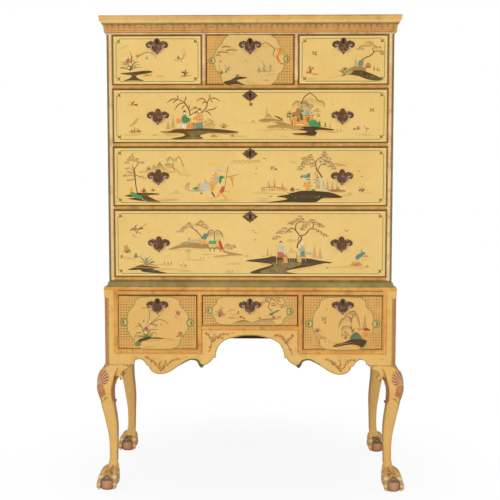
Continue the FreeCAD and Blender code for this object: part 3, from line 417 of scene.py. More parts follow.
def painted(name, colour, deep, mottle, crazing, worn, dirt, specks=0.4, worn_fine=1.0, worn_to=GESSO,
        front=None, bands=(), stripes=(), pattern=None):
    """A painted wood finish.

    front gives other colours to what faces the viewer, bands to height ranges, stripes to a range of the
    distance from the middle along X or Y and of the height, and pattern draws a tone over them by a mask."""
    material, tree, shader, place = start_material(name)
    base, low = colour, deep
    for foot, top, tone, tone_deep in bands:
        inside = between(tree, place["Z"], foot, top, SOFT_EDGE)
        base = blend_colours(tree, inside, base, tone)
        low = blend_colours(tree, inside, low, tone_deep)
    if front:
        ahead = facing(tree, y=-1.0)
        base = blend_colours(tree, ahead, base, front[0])
        low = blend_colours(tree, ahead, low, front[1])
    for axis, near, far, foot, top, tone, tone_deep in stripes:
        run = maths(tree, "ABSOLUTE", place[axis])
        inside = between(tree, run, near, far, SOFT_EDGE)
        inside = times(tree, inside, between(tree, place["Z"], foot, top, SOFT_END))
        base = blend_colours(tree, inside, base, tone)
        low = blend_colours(tree, inside, low, tone_deep)
    if pattern:
        mask, tone, tone_deep = pattern(tree, place)
        base = blend_colours(tree, mask, base, tone)
        low = blend_colours(tree, mask, low, tone_deep)
    paint = use_group(tree, OLD_PAINT, Colour=base, Deep_Colour=low, Mottle=mottle, Crazing=crazing,
        Specks=specks, Shine=WOODWORK_SHINE)
    marks = use_group(tree, CHIPS, Amount=worn, Fine=worn_fine)
    tone = blend_colours(tree, times(tree, marks["Dirt"], dirt), paint["Colour"], GRIME_AND_GAP_SHADE)
    tone = blend_colours(tree, marks["Rubbed"], tone, worn_to)
    height = maths(tree, "SUBTRACT", paint["Height"], marks["Rubbed"])
    finish_paint(tree, shader, tone, paint["Roughness"], height, WOODWORK_GLOSS)
    return material


def bare(name, stretch, inside=None):
    """A finish of unpainted boards; inside is painted shade, a dark colour for what looks forwards."""
    material, tree, shader, _ = start_material(name)
    colour, deep = RAW_WOOD_TONES
    wood = use_group(tree, RAW_WOOD, Colour=colour, Deep_Colour=deep, Stretch=stretch)
    tone = wood["Colour"]
    if inside:
        tone = blend_colours(tree, times(tree, facing(tree, y=-1.0), 0.9), tone, inside)
    finish_paint(tree, shader, tone, 0.75, wood["Height"])
    return material


def metal(name, colour, bright, metallic, rough, shine_from=0.62, sunk=None, upright=None):
    """Old metal, rubbed bright in patches, with painted shade and painted highlights.

    sunk gives the depths of the two fronts: beyond them it is painted black as shade, and well before them it
    takes a painted highlight; the last argument is the painted highlight of the wires that hang upright."""
    material, tree, shader, place = start_material(name)
    where = add_node(tree, "ShaderNodeTexCoord").outputs["Object"]
    patch = step_up(tree, noise(tree, where, 95.0, 4.0, 0.65), shine_from - 0.14, shine_from + 0.1)
    tone = blend_colours(tree, patch, colour, bright)
    if upright:
        # Painted highlight: the wires that hang upright are lightened where they face sideways.
        aside = maths(tree, "MAXIMUM", facing(tree, x=1.0, low=0.12, high=0.55),
            facing(tree, x=-1.0, low=0.12, high=0.55))
        tone = blend_colours(tree, times(tree, aside, 0.9), tone, upright)
    if sunk:
        upper, lower = sunk
        # Painted light and shade: black beyond the front, in the keyholes and inside the drawers, and a pale
        # highlight on what stands well proud of it, such as the post heads.
        depth = maths(tree, "ADD", lower, times(tree, step_up(tree, place["Z"], *STAND_TOP), upper - lower))
        inside = maths(tree, "MULTIPLY", maths(tree, "SUBTRACT", place["Y"], depth), 3000.0, clamp=True)
        proud = maths(tree, "SUBTRACT", depth, place["Y"])
        tone = blend_colours(tree, times(tree, step_up(tree, proud, 0.0060, 0.0085), 0.75), tone, PROUD_HIGHLIGHT)
        tone = blend_colours(tree, inside, tone, HOLLOW_SHADE)
    pits = noise(tree, where, 520.0, 3.0)
    tree.links.new(tone, shader.inputs["Base Color"])
    shader.inputs["Metallic"].default_value = metallic
    tree.links.new(maths(tree, "SUBTRACT", rough + 0.1, times(tree, patch, 0.2)), shader.inputs["Roughness"])
    raised = add_node(tree, "ShaderNodeBump", Height=pits, Strength=0.35, Distance=0.0004)
    tree.links.new(raised.outputs[0], shader.inputs["Normal"])
    return material


def drawer_finish(name, front, colour, deep, pitch=None):
    """A drawer: japanned front with painted shade on its edges, bare oak behind; a pitch gives the front a
    diaper ground.
    """
    material, tree, shader, place = start_material(name)
    if pitch:
        trellis = use_group(tree, TRELLIS, Pitch=pitch)
        colour = blend_colours(tree, times(tree, trellis["Dash"], 0.85), colour, srgb(108, 66, 20))
        deep = blend_colours(tree, times(tree, trellis["Check"], 0.35), deep, srgb(232, 198, 130))
    paint = use_group(tree, OLD_PAINT, Colour=colour, Deep_Colour=deep, **GROUND)
    wood = use_group(tree, RAW_WOOD, Colour=OAK_TONES[0], Deep_Colour=OAK_TONES[1], Stretch=(8.0, 1.0, 8.0))
    ahead = facing(tree, y=-1.0)
    near = rest(tree, step_up(tree, place["Y"], front + 0.0010, front + 0.0030))
    painted_share = times(tree, ahead, near)
    # Painted shade: the edges of the front, seen in the gaps round the drawer, take the dark colour.
    rim = times(tree, near, rest(tree, ahead))
    tone = blend_colours(tree, rim, wood["Colour"], GRIME_AND_GAP_SHADE)
    tone = blend_colours(tree, painted_share, tone, paint["Colour"])
    rough = maths(tree, "ADD", times(tree, painted_share, -0.36), 0.78)
    finish_paint(tree, shader, tone, rough, paint["Height"], GROUND_GLOSS)
    return material


# Finishes of the woodwork --------------------------------------------------------------------------

CASE_FRONT = -0.2235
STAND_FRONT = -0.240
SOFT_ALONG = (1.0, 9.0, 9.0)
SOFT_UP = (9.0, 9.0, 1.0)
SOFT_BACK = (9.0, 1.0, 9.0)

case_panel = painted("case_panel_paint", srgb(229, 194, 118), srgb(224, 180, 100), mottle=0.7, crazing=0.3,
    worn=0.12, dirt=0.25, front=(srgb(130, 120, 70), srgb(96, 86, 44)))
rail_paint = painted("rail_paint", srgb(146, 120, 58), srgb(110, 78, 32), mottle=0.9, crazing=0.3, worn=0.14,
    dirt=0.6)
bead_paint = painted("bead_paint", srgb(218, 162, 80), srgb(182, 122, 50), mottle=0.9, crazing=0.25, specks=0.5,
    worn=0.42, worn_fine=0.8, dirt=0.45, worn_to=srgb(240, 216, 184), stripes=(
        ("X", 0.480, 0.494, 0.70, 1.70, PINK_BEAD, srgb(224, 170, 114)),
        ("X", 0.150, 0.178, 1.452, 1.611, PINK_BEAD, srgb(206, 146, 112)),
        ("X", 0.0, 0.51, 1.611, 1.620, srgb(238, 206, 158), srgb(222, 176, 126))))
stand_bead_paint = painted("stand_bead_paint", srgb(228, 168, 80), srgb(204, 132, 54), mottle=0.9, crazing=0.25,
    specks=0.5, worn=0.34, worn_fine=0.8, dirt=0.5, worn_to=srgb(240, 212, 168))
STRIP_PAINT = (srgb(196, 138, 78), srgb(160, 104, 54))
STRIP_LINE = (srgb(160, 146, 84), srgb(132, 118, 62))
POST_SIDE = 0.5165
STRIP_WIDTH = 0.0135
STRIP_AND_LINE = 0.0158
STRIP_END = (0.688, 0.693)


def post_corner(tree, place):
    """The band down the outer corner of a post, with a thin line beside it."""
    def beyond(inset):
        """A mask of what lies less than the inset from the post's two outer faces."""
        masks = []
        for axis, face in (("X", POST_SIDE), ("Y", -STAND_FRONT)):
            run = maths(tree, "ABSOLUTE", place[axis])
            masks.append(step_up(tree, run, face - inset - SOFT_EDGE, face - inset + SOFT_EDGE))
        return times(tree, masks[0], masks[1])
    strip = beyond(STRIP_WIDTH)
    low = rest(tree, step_up(tree, place["Z"], *STRIP_END))
    mask = times(tree, beyond(STRIP_AND_LINE), low)
    return (mask, blend_colours(tree, strip, STRIP_LINE[0], STRIP_PAINT[0]),
            blend_colours(tree, strip, STRIP_LINE[1], STRIP_PAINT[1]))


post_paint = painted("post_paint", srgb(228, 184, 104), srgb(216, 164, 84), mottle=0.7, crazing=0.35,
    specks=0.5, worn=0.16, dirt=0.3, pattern=post_corner)
stand_panel = painted("stand_panel_paint", srgb(228, 184, 104), srgb(216, 164, 84), mottle=0.7, crazing=0.35,
    specks=0.5, worn=0.16, dirt=0.3)
LUNETTE_PITCH = 0.038
LUNETTE_FOOT = 1.6255
LUNETTE_TOP = 1.6450


def lunettes(tree, place):
    """The row of small arches painted on the cove of the cornice, with a line between each two."""
    ahead = facing(tree, y=-1.0, low=0.30, high=0.40)
    run = maths(tree, "ADD", times(tree, place["X"], ahead), times(tree, place["Y"], rest(tree, ahead)))
    cell = maths(tree, "SUBTRACT", maths(tree, "FRACT", maths(tree, "DIVIDE", run, LUNETTE_PITCH)), 0.5)
    aside = maths(tree, "ABSOLUTE", times(tree, cell, LUNETTE_PITCH))
    up = maths(tree, "DIVIDE", maths(tree, "SUBTRACT", place["Z"], LUNETTE_FOOT), LUNETTE_TOP - LUNETTE_FOOT)
    side = maths(tree, "DIVIDE", aside, LUNETTE_PITCH / 2)
    half = times(tree, maths(tree, "ABSOLUTE", maths(tree, "SUBTRACT", side, 0.5)), 2.0)
    fall = rest(tree, times(tree, times(tree, half, half), 0.42))
    arch = rest(tree, step_up(tree, maths(tree, "ABSOLUTE", maths(tree, "SUBTRACT", up, fall)), 0.06, 0.15))
    roof_line = times(tree, 0.9, step_up(tree, up, 0.80, 0.88))
    post = rest(tree, step_up(tree, maths(tree, "ABSOLUTE", maths(tree, "SUBTRACT", side, 1.0)), 0.05, 0.11))
    middle = times(tree, rest(tree, step_up(tree, side, 0.03, 0.09)),
        times(tree, 0.7, step_up(tree, up, 0.18, 0.40)))
    drawn = maths(tree, "MAXIMUM", maths(tree, "MAXIMUM", arch, roof_line),
        maths(tree, "MAXIMUM", post, middle))
    inside = times(tree, step_up(tree, up, 0.0, 0.05), rest(tree, step_up(tree, up, 0.97, 1.0)))
    where = add_node(tree, "ShaderNodeTexCoord").outputs["Object"]
    worn = step_up(tree, noise(tree, where, 70.0, 3.0), 0.30, 0.55)
    mask = times(tree, times(tree, drawn, inside), times(tree, worn, 0.85))
    return mask, srgb(140, 86, 34), srgb(118, 70, 26)


cornice_paint = painted("cornice_paint", srgb(228, 178, 98), srgb(208, 150, 76), mottle=0.7, crazing=0.25,
    worn=0.24, worn_fine=0.7, dirt=0.3, bands=(
        (1.6165, 1.6222, srgb(210, 154, 84), srgb(196, 134, 66)),
        (1.6222, 1.6245, srgb(178, 116, 50), srgb(150, 88, 34)),
        (1.6245, 1.6275, srgb(214, 164, 86), srgb(196, 140, 70)),
        (1.6275, 1.6455, srgb(196, 148, 82), srgb(176, 124, 64)),
        (1.6455, 1.6480, srgb(140, 128, 62), srgb(110, 92, 42)),
        (1.6480, 1.6570, srgb(230, 198, 128), srgb(216, 176, 106)),
        (1.6688, 1.6740, srgb(208, 164, 114), srgb(128, 86, 48))), pattern=lunettes)
green_slope = painted("green_slope_paint", srgb(166, 150, 90), srgb(126, 114, 60), mottle=0.9, crazing=0.3,
    specks=0.5, worn=0.34, worn_fine=0.55, dirt=0.4,
    bands=((0.7, 0.7295, srgb(226, 170, 98), srgb(202, 136, 74)),))
# Painted shade: the faces of these boards that look forwards, into the stand and the case, are dark brown.
raw_boards = bare("raw_boards", SOFT_ALONG, inside=srgb(70, 34, 20))
raw_uprights = bare("raw_uprights", SOFT_UP)
raw_runners = bare("raw_runners", SOFT_BACK)
# The plates get painted black shade beyond the fronts and a painted highlight on the post heads; the bails a
# painted highlight on their upright wires.
bronze = metal("plate_bronze", BRONZE, srgb(146, 108, 80), 0.45, 0.46, sunk=(CASE_FRONT + 0.0003,
    STAND_FRONT + 0.0003))
bail_bronze = metal("bail_bronze", srgb(112, 78, 56), srgb(134, 98, 74), 0.5, 0.42, shine_from=0.6,
    upright=srgb(222, 204, 196))
iron = metal("lock_iron", srgb(84, 78, 74), srgb(150, 144, 138), 0.8, 0.4)

NODE_FINISHES = {
    "case_sides": case_panel, "case_top_and_bottom_boards": case_panel, "case_back_boards": raw_uprights,
    "case_front_rails": rail_paint, "case_dust_boards": raw_boards, "case_drawer_dividers": rail_paint,
    "case_beading": bead_paint, "case_cornice": cornice_paint, "stand_waist_moulding": green_slope,
    "stand_corner_posts": post_paint, "stand_top_board": raw_boards,
    "stand_front_rail_and_dividers": rail_paint,
    "stand_sides": stand_panel, "stand_back_board": raw_boards, "stand_apron": stand_panel,
    "stand_drawer_runners": raw_runners, "stand_beading": stand_bead_paint,
}
LEGS = ("leg_front_left", "leg_front_right", "leg_back_left", "leg_back_right")
for leg in LEGS:
    NODE_FINISHES[leg] = stand_panel

FIELD = srgb(229, 194, 118)
FIELD_DEEP = srgb(222, 180, 98)
STAND_FIELD = srgb(226, 182, 98)
STAND_FIELD_DEEP = srgb(216, 168, 84)
case_drawer_paint = drawer_finish("case_drawer_finish", CASE_FRONT, FIELD, FIELD_DEEP)
DIAPER_GROUND = srgb(213, 163, 84)
DIAPER_DEEP = srgb(202, 148, 70)
case_diaper = drawer_finish("case_diaper_finish", CASE_FRONT, DIAPER_GROUND, DIAPER_DEEP, pitch=9.6)
stand_diaper = drawer_finish("stand_diaper_finish", STAND_FRONT, DIAPER_GROUND, DIAPER_DEEP, pitch=9.6)
CASE_DRAWERS = ("short_left", "short_centre", "short_right", "long_upper", "long_middle", "long_lower")
STAND_DRAWERS = ("stand_left", "stand_centre", "stand_right")
BAILS = [f"bail_{d}" for d in CASE_DRAWERS[:3] + STAND_DRAWERS]
BAILS += [f"bail_{d}_{side}" for d in CASE_DRAWERS[3:] for side in ("left", "right")]
for d in CASE_DRAWERS + STAND_DRAWERS:
    NODE_FINISHES[f"drawer_{d}"] = case_drawer_paint if d in CASE_DRAWERS else stand_diaper
    NODE_FINISHES[f"fittings_{d}"] = bronze
    NODE_FINISHES[f"lock_bolt_{d}"] = iron
NODE_FINISHES["drawer_short_centre"] = case_diaper
for b in BAILS:
    NODE_FINISHES[b] = bail_bronze
for node, finish in NODE_FINISHES.items():
    bpy.data.objects[node].data.materials.clear()
    bpy.data.objects[node].data.materials.append(finish)


def make_brushwork(name, upper_tones, lower_tones, rub=0.0):
    """Paint over a ground: each stroke's own colour, thin and broken up where its cover is low."""
    material, tree, shader, place = start_material(name)
    where = add_node(tree, "ShaderNodeTexCoord").outputs["Object"]
    tint = add_node(tree, "ShaderNodeVertexColor", {"layer_name": "tint"})
    upper = step_up(tree, place["Z"], 0.700, 0.705)
    ground = blend_colours(tree, upper, lower_tones[0], upper_tones[0])
    ground_deep = blend_colours(tree, upper, lower_tones[1], upper_tones[1])
    paint = use_group(tree, OLD_PAINT, Colour=ground, Deep_Colour=ground_deep, **GROUND)
    thin = noise(tree, where, 420.0, 3.0, 0.7)
    worn = noise(tree, where, 60.0, 3.0, 0.6)
    broken = maths(tree, "ADD", times(tree, maths(tree, "SUBTRACT", thin, 0.5), 0.55),
        times(tree, maths(tree, "SUBTRACT", worn, 0.5), 0.6))
    share = maths(tree, "ADD", times(tree, tint.outputs["Alpha"], 1.16),
        maths(tree, "SUBTRACT", times(tree, broken, 0.75), THINNING), clamp=True)
    share = times(tree, share, step_up(tree, tint.outputs["Alpha"], 0.02, 0.2))
    streak = maths(tree, "ADD", 0.86, times(tree, noise(tree, where, 150.0, 4.0), 0.28))
    tone = add_node(tree, "ShaderNodeVectorMath", {"operation": "SCALE"}, Vector=tint.outputs["Color"])
    tree.links.new(streak, tone.inputs["Scale"])
    colour = blend_colours(tree, share, paint["Colour"], tone.outputs[0])
    height = paint["Height"]
    if rub:
        marks = use_group(tree, CHIPS, Amount=rub, Fine=0.6)
        colour = blend_colours(tree, marks["Rubbed"], colour, srgb(240, 222, 184))
        height = maths(tree, "SUBTRACT", height, marks["Rubbed"])
    finish_paint(tree, shader, colour, paint["Roughness"], height, GROUND_GLOSS)
    return material


BRUSHWORK = make_brushwork("brushwork", (FIELD, FIELD_DEEP), (STAND_FIELD, STAND_FIELD_DEEP))

# Painting tools ------------------------------------------------------------------------------------

FIRST_COAT = 0.10
COAT = 0.006
PATCHWORK = 3.0
SPREAD = 0.7
LOADED = 1.2
INK = (74, 43, 8)
BROWN = (114, 70, 16)
SOFT_BROWN = (150, 102, 42)
GOLD = (210, 152, 56)
DARK_EARTH = (80, 57, 10)
EARTH = (150, 116, 56)
PALE_EARTH = (194, 154, 84)
JADE = (88, 142, 84)
TEAL = (98, 138, 114)
RED = (172, 66, 44)
ROSE = (190, 92, 66)
RUSTY = (168, 92, 52)
WHITE = (230, 220, 192)
GREY = (176, 170, 142)
GREEN_LINE = (140, 134, 64)
LEAF = (92, 126, 64)
OLD_BARK = (100, 62, 20)
DARK_BARK = (104, 68, 24)
BARK = (112, 76, 32)
PALE_BARK = (112, 76, 52)
RED_BARK = (114, 72, 22)
WARM_BARK = (118, 80, 28)
TWIG = (120, 82, 50)
WILLOW_TWIG = (120, 90, 58)
HAZEL = (112, 84, 56)
STRAW = (222, 164, 78)
FAR_PINE = (170, 136, 92)
CREAM = (221, 174, 96)
PINE = (INK, BROWN, SOFT_BROWN)


def at(*numbers):
    """Points from their numbers in turn: x, z, x, z and so on."""
    return list(zip(numbers[::2], numbers[1::2]))


def smooth_line(points, steps=5, closed=False):
    """Points on a smooth curve through the given ones."""
    count = len(points)
    if count < 3:
        return list(points)
    made = []
    spans = count if closed else count - 1
    for i in range(spans):
        if closed:
            a, b, c, d = (Vector(points[(i + k) % count]) for k in (-1, 0, 1, 2))
        else:
            b, c = Vector(points[i]), Vector(points[i + 1])
            a = Vector(points[i - 1]) if i else b * 2 - c
            d = Vector(points[i + 2]) if i + 2 < count else c * 2 - b
        for k in range(steps):
            t = k / steps
            made.append(tuple(0.5 * (2 * b + (c - a) * t + (2 * a - 5 * b + 4 * c - d) * t * t
                + (3 * b - a - 3 * c + d) * t * t * t)))
    if not closed:
        made.append(tuple(points[-1]))
    return made


def offsets(line, closed=False):
    """The unit side direction at each point of a line."""
    sides = []
    count = len(line)
    for i in range(count):
        ahead = line[(i + 1) % count] if closed or i + 1 < count else line[i]
        behind = line[i - 1] if closed or i else line[i]
        way = Vector(ahead) - Vector(behind)
        way = way.normalized() if way.length > 1e-9 else Vector((1.0, 0.0))
        sides.append(Vector((-way.y, way.x)))
    return sides


class Painting:
    """Strokes of thick paint on an upright face, in millimetres from the middle of that face.

    Each stroke lies a hair in front of those it crosses, and the whole is given its thickness at the end."""

    def __init__(self, name, body, middle, slot, outward=(0, -1, 0)):
        self.name, self.body, self.slot = name, body, slot
        self.middle = Vector(middle)
        self.outward = Vector(outward)
        self.aside = Vector((-outward[1], outward[0], 0))
        self.bm = bmesh.new()
        self.tint = self.bm.verts.layers.float_color.new("tint")
        self.coats = {}
        self.lift = 0.0
        self.draw = random.Random(name)

    def next_coat(self, points, room=0.0):
        """Lift the brush above every coat in the squares that these points span."""
        squares = {}
        for (ax, az), (bx, bz) in zip(points, points[1:]):
            for i in range(math.floor((min(ax, bx) - room) / PATCHWORK),
                    math.floor((max(ax, bx) + room) / PATCHWORK) + 1):
                for j in range(math.floor((min(az, bz) - room) / PATCHWORK),
                        math.floor((max(az, bz) + room) / PATCHWORK) + 1):
                    squares[i, j] = True
        level = 1 + max(self.coats.get(square, 0) for square in squares)
        for square in squares:
            self.coats[square] = level
        self.lift = FIRST_COAT + COAT * level

    def vertex(self, point, colour, cover):
        """A point of paint at the brush's present height, with its own colour and cover."""
        x, z = point
        made = self.bm.verts.new(self.middle + self.aside * x * MM + self.outward * self.lift * MM
            + Vector((0, 0, z * MM)))
        red, green, blue, _ = srgb(*colour)
        made[self.tint] = (red, green, blue, cover)
        return made

    def patch(self, points, colour, cover=1.0, cover_low=None):
        """One flat patch of colour; cover_low thins the paint towards its foot."""
        low, high = min(p[1] for p in points), max(p[1] for p in points)
        self.next_coat([(min(p[0] for p in points), low), (max(p[0] for p in points), high)])
        ring = []
        for point in points:
            share = cover
            if cover_low is not None:
                share = cover_low + (cover - cover_low) * (point[1] - low) / max(high - low, 0.01)
            ring.append(self.vertex(point, colour, share))
        self.bm.faces.new(ring)

    def blob(self, points, colour, cover=1.0, cover_low=None, steps=4):
        """A patch with a soft outline through a few points."""
        self.patch(smooth_line(points, steps, True), colour, cover, cover_low)

    def stroke(self, points, width, colour, cover, taper=(0.25, 0.15), steps=5, fade=None):
        """A brush stroke: thin at its ends, full in its middle; fade is its cover at its end."""
        line = smooth_line(points, steps)
        width, cover = width + SPREAD, min(1.0, cover * LOADED)
        self.next_coat(line, width / 2)
        last = len(line) - 1
        left, right = [], []
        for i, (point, side) in enumerate(zip(line, offsets(line))):
            t = i / last
            full = math.sin(math.pi * min(max(t, 0.0), 1.0)) ** 0.6
            ends = taper[0] * (1 - t) + taper[1] * t
            half = width / 2 * (ends + (1 - ends) * full)
            share = cover if fade is None else cover + (fade - cover) * t
            x, z = point
            left.append(self.vertex((x + side.x * half, z + side.y * half), colour, share))
            right.append(self.vertex((x - side.x * half, z - side.y * half), colour, share))
        for i in range(last):
            self.bm.faces.new((left[i], right[i], right[i + 1], left[i + 1]))

    def line(self, points, width, colour, cover, closed=False, smooth=True):
        """A line of even width."""
        path = smooth_line(points, 5, closed) if smooth else list(points)
        width, cover = width + SPREAD / 2, min(1.0, cover * LOADED)
        self.next_coat([*path, path[0]] if closed else path, width / 2)
        pairs = []
        for point, side in zip(path, offsets(path, closed)):
            x, z = point
            half = side * (width / 2)
            pairs.append((self.vertex((x + half.x, z + half.y), colour, cover),
                self.vertex((x - half.x, z - half.y), colour, cover)))
        if closed:
            pairs.append(pairs[0])
        for (a, b), (c, d) in zip(pairs, pairs[1:]):
            self.bm.faces.new((a, b, d, c))

    def dot(self, x, z, radius, colour, cover=1.0, sides=6, squash=1.0):
        """A small round touch of the brush."""
        turn = self.draw.random()
        radius += SPREAD / 2
        self.patch([(x + radius * math.cos(math.tau * (k + turn) / sides),
            z + radius * squash * math.sin(math.tau * (k + turn) / sides)) for k in range(sides)], colour,
            cover)

    def leaf(self, x, z, length, angle, width, colour, cover=1.0):
        """A pointed leaf from its stalk, at an angle in degrees."""
        along = Vector((math.cos(math.radians(angle)), math.sin(math.radians(angle))))
        aside = Vector((-along.y, along.x))
        points = [(0, 0), (0.3, 0.5), (0.65, 0.42), (1, 0), (0.65, -0.36), (0.3, -0.46)]
        self.patch([(x + (along * length * a + aside * width * b).x,
            z + (along * length * a + aside * width * b).y) for a, b in points], colour, cover)

    def finish(self, material):
        """Give the paint its thickness and let it ride on its body."""
        bm = self.bm
        bmesh.ops.recalc_face_normals(bm, faces=bm.faces[:])
        back = [face for face in bm.faces if face.normal.dot(self.outward) < 0]
        bmesh.ops.reverse_faces(bm, faces=back)
        bmesh.ops.solidify(bm, geom=bm.faces[:], thickness=FIRST_COAT * MM * 2)
        made = mesh_object(self.name, bm)
        made.data.materials.append(material)
        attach(made, self.body)


# Plants --------------------------------------------------------------------------------------------

def grass(p, x, z, height, blades, colours, spread, width=0.9, cover=0.9):
    """A tuft of long blades that bend outwards."""
    for k in range(blades):
        share = (k + 0.5) / blades * 2 - 1 + p.draw.uniform(-0.15, 0.15)
        lean = math.radians(90 - share * spread)
        tall = height * p.draw.uniform(0.7, 1.0) * (1 - 0.25 * abs(share))
        mid = (x + math.cos(lean) * tall * 0.55, z + math.sin(lean) * tall * 0.62)
        tip = (x + math.cos(lean) * tall * 1.0 + share * tall * 0.2, z + math.sin(lean) * tall * 0.92
               - abs(share) * tall * 0.16)
        p.stroke([(x, z), mid, tip], width, p.draw.choice(colours), cover, (0.9, 0.1))


def bush(p, x, z, width, height, colours, count, size, cover=0.8):
    """A loose heap of small touches over a soft wash."""
    p.blob([(x - width * 0.5, z), (x - width * 0.3, z + height * 0.7), (x + width * 0.1, z + height * 0.95),
            (x + width * 0.45, z + height * 0.35), (x + width * 0.5, z)], (172, 128, 62), 0.4, 0.55, 3)
    for _ in range(count):
        a, r = p.draw.uniform(0, math.pi), p.draw.uniform(0, 1) ** 0.6
        p.dot(x + math.cos(a) * r * width / 2, z + math.sin(a) * r * height, size * p.draw.uniform(0.6, 1.2),
              p.draw.choice(colours), cover, 5)


def flower(p, x, z, radius, colour, heart, petals):
    """A small open flower."""
    start = p.draw.uniform(0, 360)
    for k in range(petals):
        p.leaf(x, z, radius, start + 360 * k / petals, radius * 0.8, colour)
    p.dot(x, z, radius * 0.32, heart)


def sprig(p, x, z, length, angle, colour, leaf_colours, leaves):
    """A thin stalk with leaves on both sides."""
    a = math.radians(angle)
    bend = p.draw.uniform(-0.2, 0.2) * length
    end = (x + math.cos(a) * length, z + math.sin(a) * length)
    mid = (x + math.cos(a) * length * 0.5 - math.sin(a) * bend,
           z + math.sin(a) * length * 0.5 + math.cos(a) * bend)
    p.stroke([(x, z), mid, end], 0.7, colour, 0.9, (0.9, 0.3))
    path = smooth_line([(x, z), mid, end], leaves)
    for k in range(1, leaves + 1):
        px, pz = path[min(2 * k, len(path) - 1)]
        side = 48 if k % 2 else -48
        p.leaf(px, pz, length * 0.22, angle + side, length * 0.07, p.draw.choice(leaf_colours), 0.9)


def trunk(p, points, width, colour=INK, cover=0.95):
    """A bent stem, thick at its foot."""
    p.stroke(points, width, colour, cover, (1.0, 0.35))


def needles(p, x, z, width, height, count, colours, size=1.3, cover=0.8):
    """A cushion of foliage: flat rows of short touches over a soft wash, like a pine's."""
    for k in range(3):
        away, wide = (k - 1) * width * 0.27, width * (0.36 if k == 1 else 0.27)
        p.blob([(x + away - wide, z + height * 0.1), (x + away - wide * 0.5, z + height * 0.72),
            (x + away + wide * 0.3, z + height * (1.0 if k == 1 else 0.7)),
            (x + away + wide, z + height * 0.15)], (158, 116, 52), 0.46, 0.2, 3)
    for _ in range(count):
        a, b = p.draw.uniform(-1, 1), p.draw.uniform(0, 1)
        px = x + a * width / 2 * math.sqrt(max(1 - b * b * 0.8, 0.1))
        pz = z + b * height
        p.dot(px, pz, size * p.draw.uniform(0.6, 1.15), p.draw.choice(colours), cover, 5, 0.62)


def leafy_branch(p, points, width, clusters, size):
    """A branch with cushions of foliage towards its end."""
    trunk(p, points, width)
    path = smooth_line(points, 6)
    for k in range(clusters):
        x, z = path[int((0.35 + 0.65 * (k + 1) / clusters) * (len(path) - 1))]
        needles(p, x, z - size * 0.1, size * 1.7, size * 0.7, 20, PINE, 1.1)
        for _ in range(5):
            angle = p.draw.uniform(-160, -20) if k % 2 else p.draw.uniform(10, 170)
            p.leaf(x + p.draw.uniform(-0.4, 0.4) * size, z, size * p.draw.uniform(0.6, 1.0), angle, size * 0.22,
                p.draw.choice(PINE), 0.85)


def willow(p, root, crown, reach, fall, strands=9, colour=BROWN, width=2.0):
    """A bent trunk whose crown hangs in fine strands on both sides."""
    (x0, z0), (x1, z1) = root, crown
    trunk(p, [root, (x0 + (x1 - x0) * 0.2, z0 + (z1 - z0) * 0.55), crown], width, INK)
    for side in (-1, 1):
        bow = [(x1, z1), (x1 + side * reach * 0.45, z1 + reach * 0.22), (x1 + side * reach, z1 - reach * 0.22)]
        p.stroke(bow, width * 0.55, colour, 0.9, (0.9, 0.3))
        path = smooth_line(bow, strands)
        for k in range(2, len(path) - 1, 2):
            x, z = path[k]
            drop = fall * p.draw.uniform(0.55, 1.0)
            p.stroke([(x, z), (x + side * drop * 0.10, z - drop * 0.5), (x + side * drop * 0.05, z - drop)],
                0.8, colour, 0.65, (0.8, 0.2), 4, 0.15)


def fir(p, x, z, height, colour, cover=0.85, tiers=6):
    """A small far tree: a stem with shrinking tiers."""
    p.stroke([(x, z), (x, z + height)], 1.0, colour, cover, (1, 0.5))
    for k in range(tiers):
        wide = height * 0.24 * (1 - k / tiers)
        up = z + height * (0.12 + 0.8 * k / tiers)
        p.stroke([(x - wide, up - wide * 0.3), (x, up + wide * 0.25), (x + wide, up - wide * 0.3)], 1.2, colour,
            cover, (0.2, 0.2), 3)


# Land and water ------------------------------------------------------------------------------------

def island(p, outline, colour=DARK_EARTH, cover=0.96, flecks=20, fringe=None):
    """A mass of dark ground with paler flecks in it and small hatches under its edge."""
    p.blob(outline, colour, cover)
    xs, zs = [q[0] for q in outline], [q[1] for q in outline]
    for _ in range(flecks):
        x = p.draw.uniform(min(xs) * 0.8 + max(xs) * 0.2, min(xs) * 0.2 + max(xs) * 0.8)
        z = p.draw.uniform(min(zs) * 0.6 + max(zs) * 0.4, min(zs) * 0.4 + max(zs) * 0.6)
        p.dot(x, z, p.draw.uniform(0.25, 0.5), (118, 104, 72), 0.55, 4)
    if fringe:
        hatches(p, *fringe)


def hatches(p, start, end, count, colour=GOLD, length=3.0, cover=0.75):
    """A row of little upright strokes that hang under a shore."""
    for k in range(count):
        t = (k + p.draw.uniform(0.2, 0.8)) / count
        x, z = start[0] + (end[0] - start[0]) * t, start[1] + (end[1] - start[1]) * t
        long = length * p.draw.uniform(0.5, 1.1)
        p.stroke([(x, z), (x + 0.3, z - long)], 0.9, colour, cover, (0.9, 0.3), 2)


def bank(p, outline, colour, cover, low, fringe=None):
    """Paler ground that fades towards its foot."""
    p.blob(outline, colour, cover, low)
    if fringe:
        hatches(p, *fringe)


def ripples(p, x, z, width, count, colour=SOFT_BROWN, cover=0.35):
    """Faint level lines of water."""
    for k in range(count):
        a = x + p.draw.uniform(-0.25, 0.25) * width
        half = width * p.draw.uniform(0.25, 0.5)
        up = z + (k - count / 2) * 2.6
        p.stroke([(a - half, up), (a, up + 0.4), (a + half, up)], 0.7, colour, cover, (0.1, 0.1), 4)


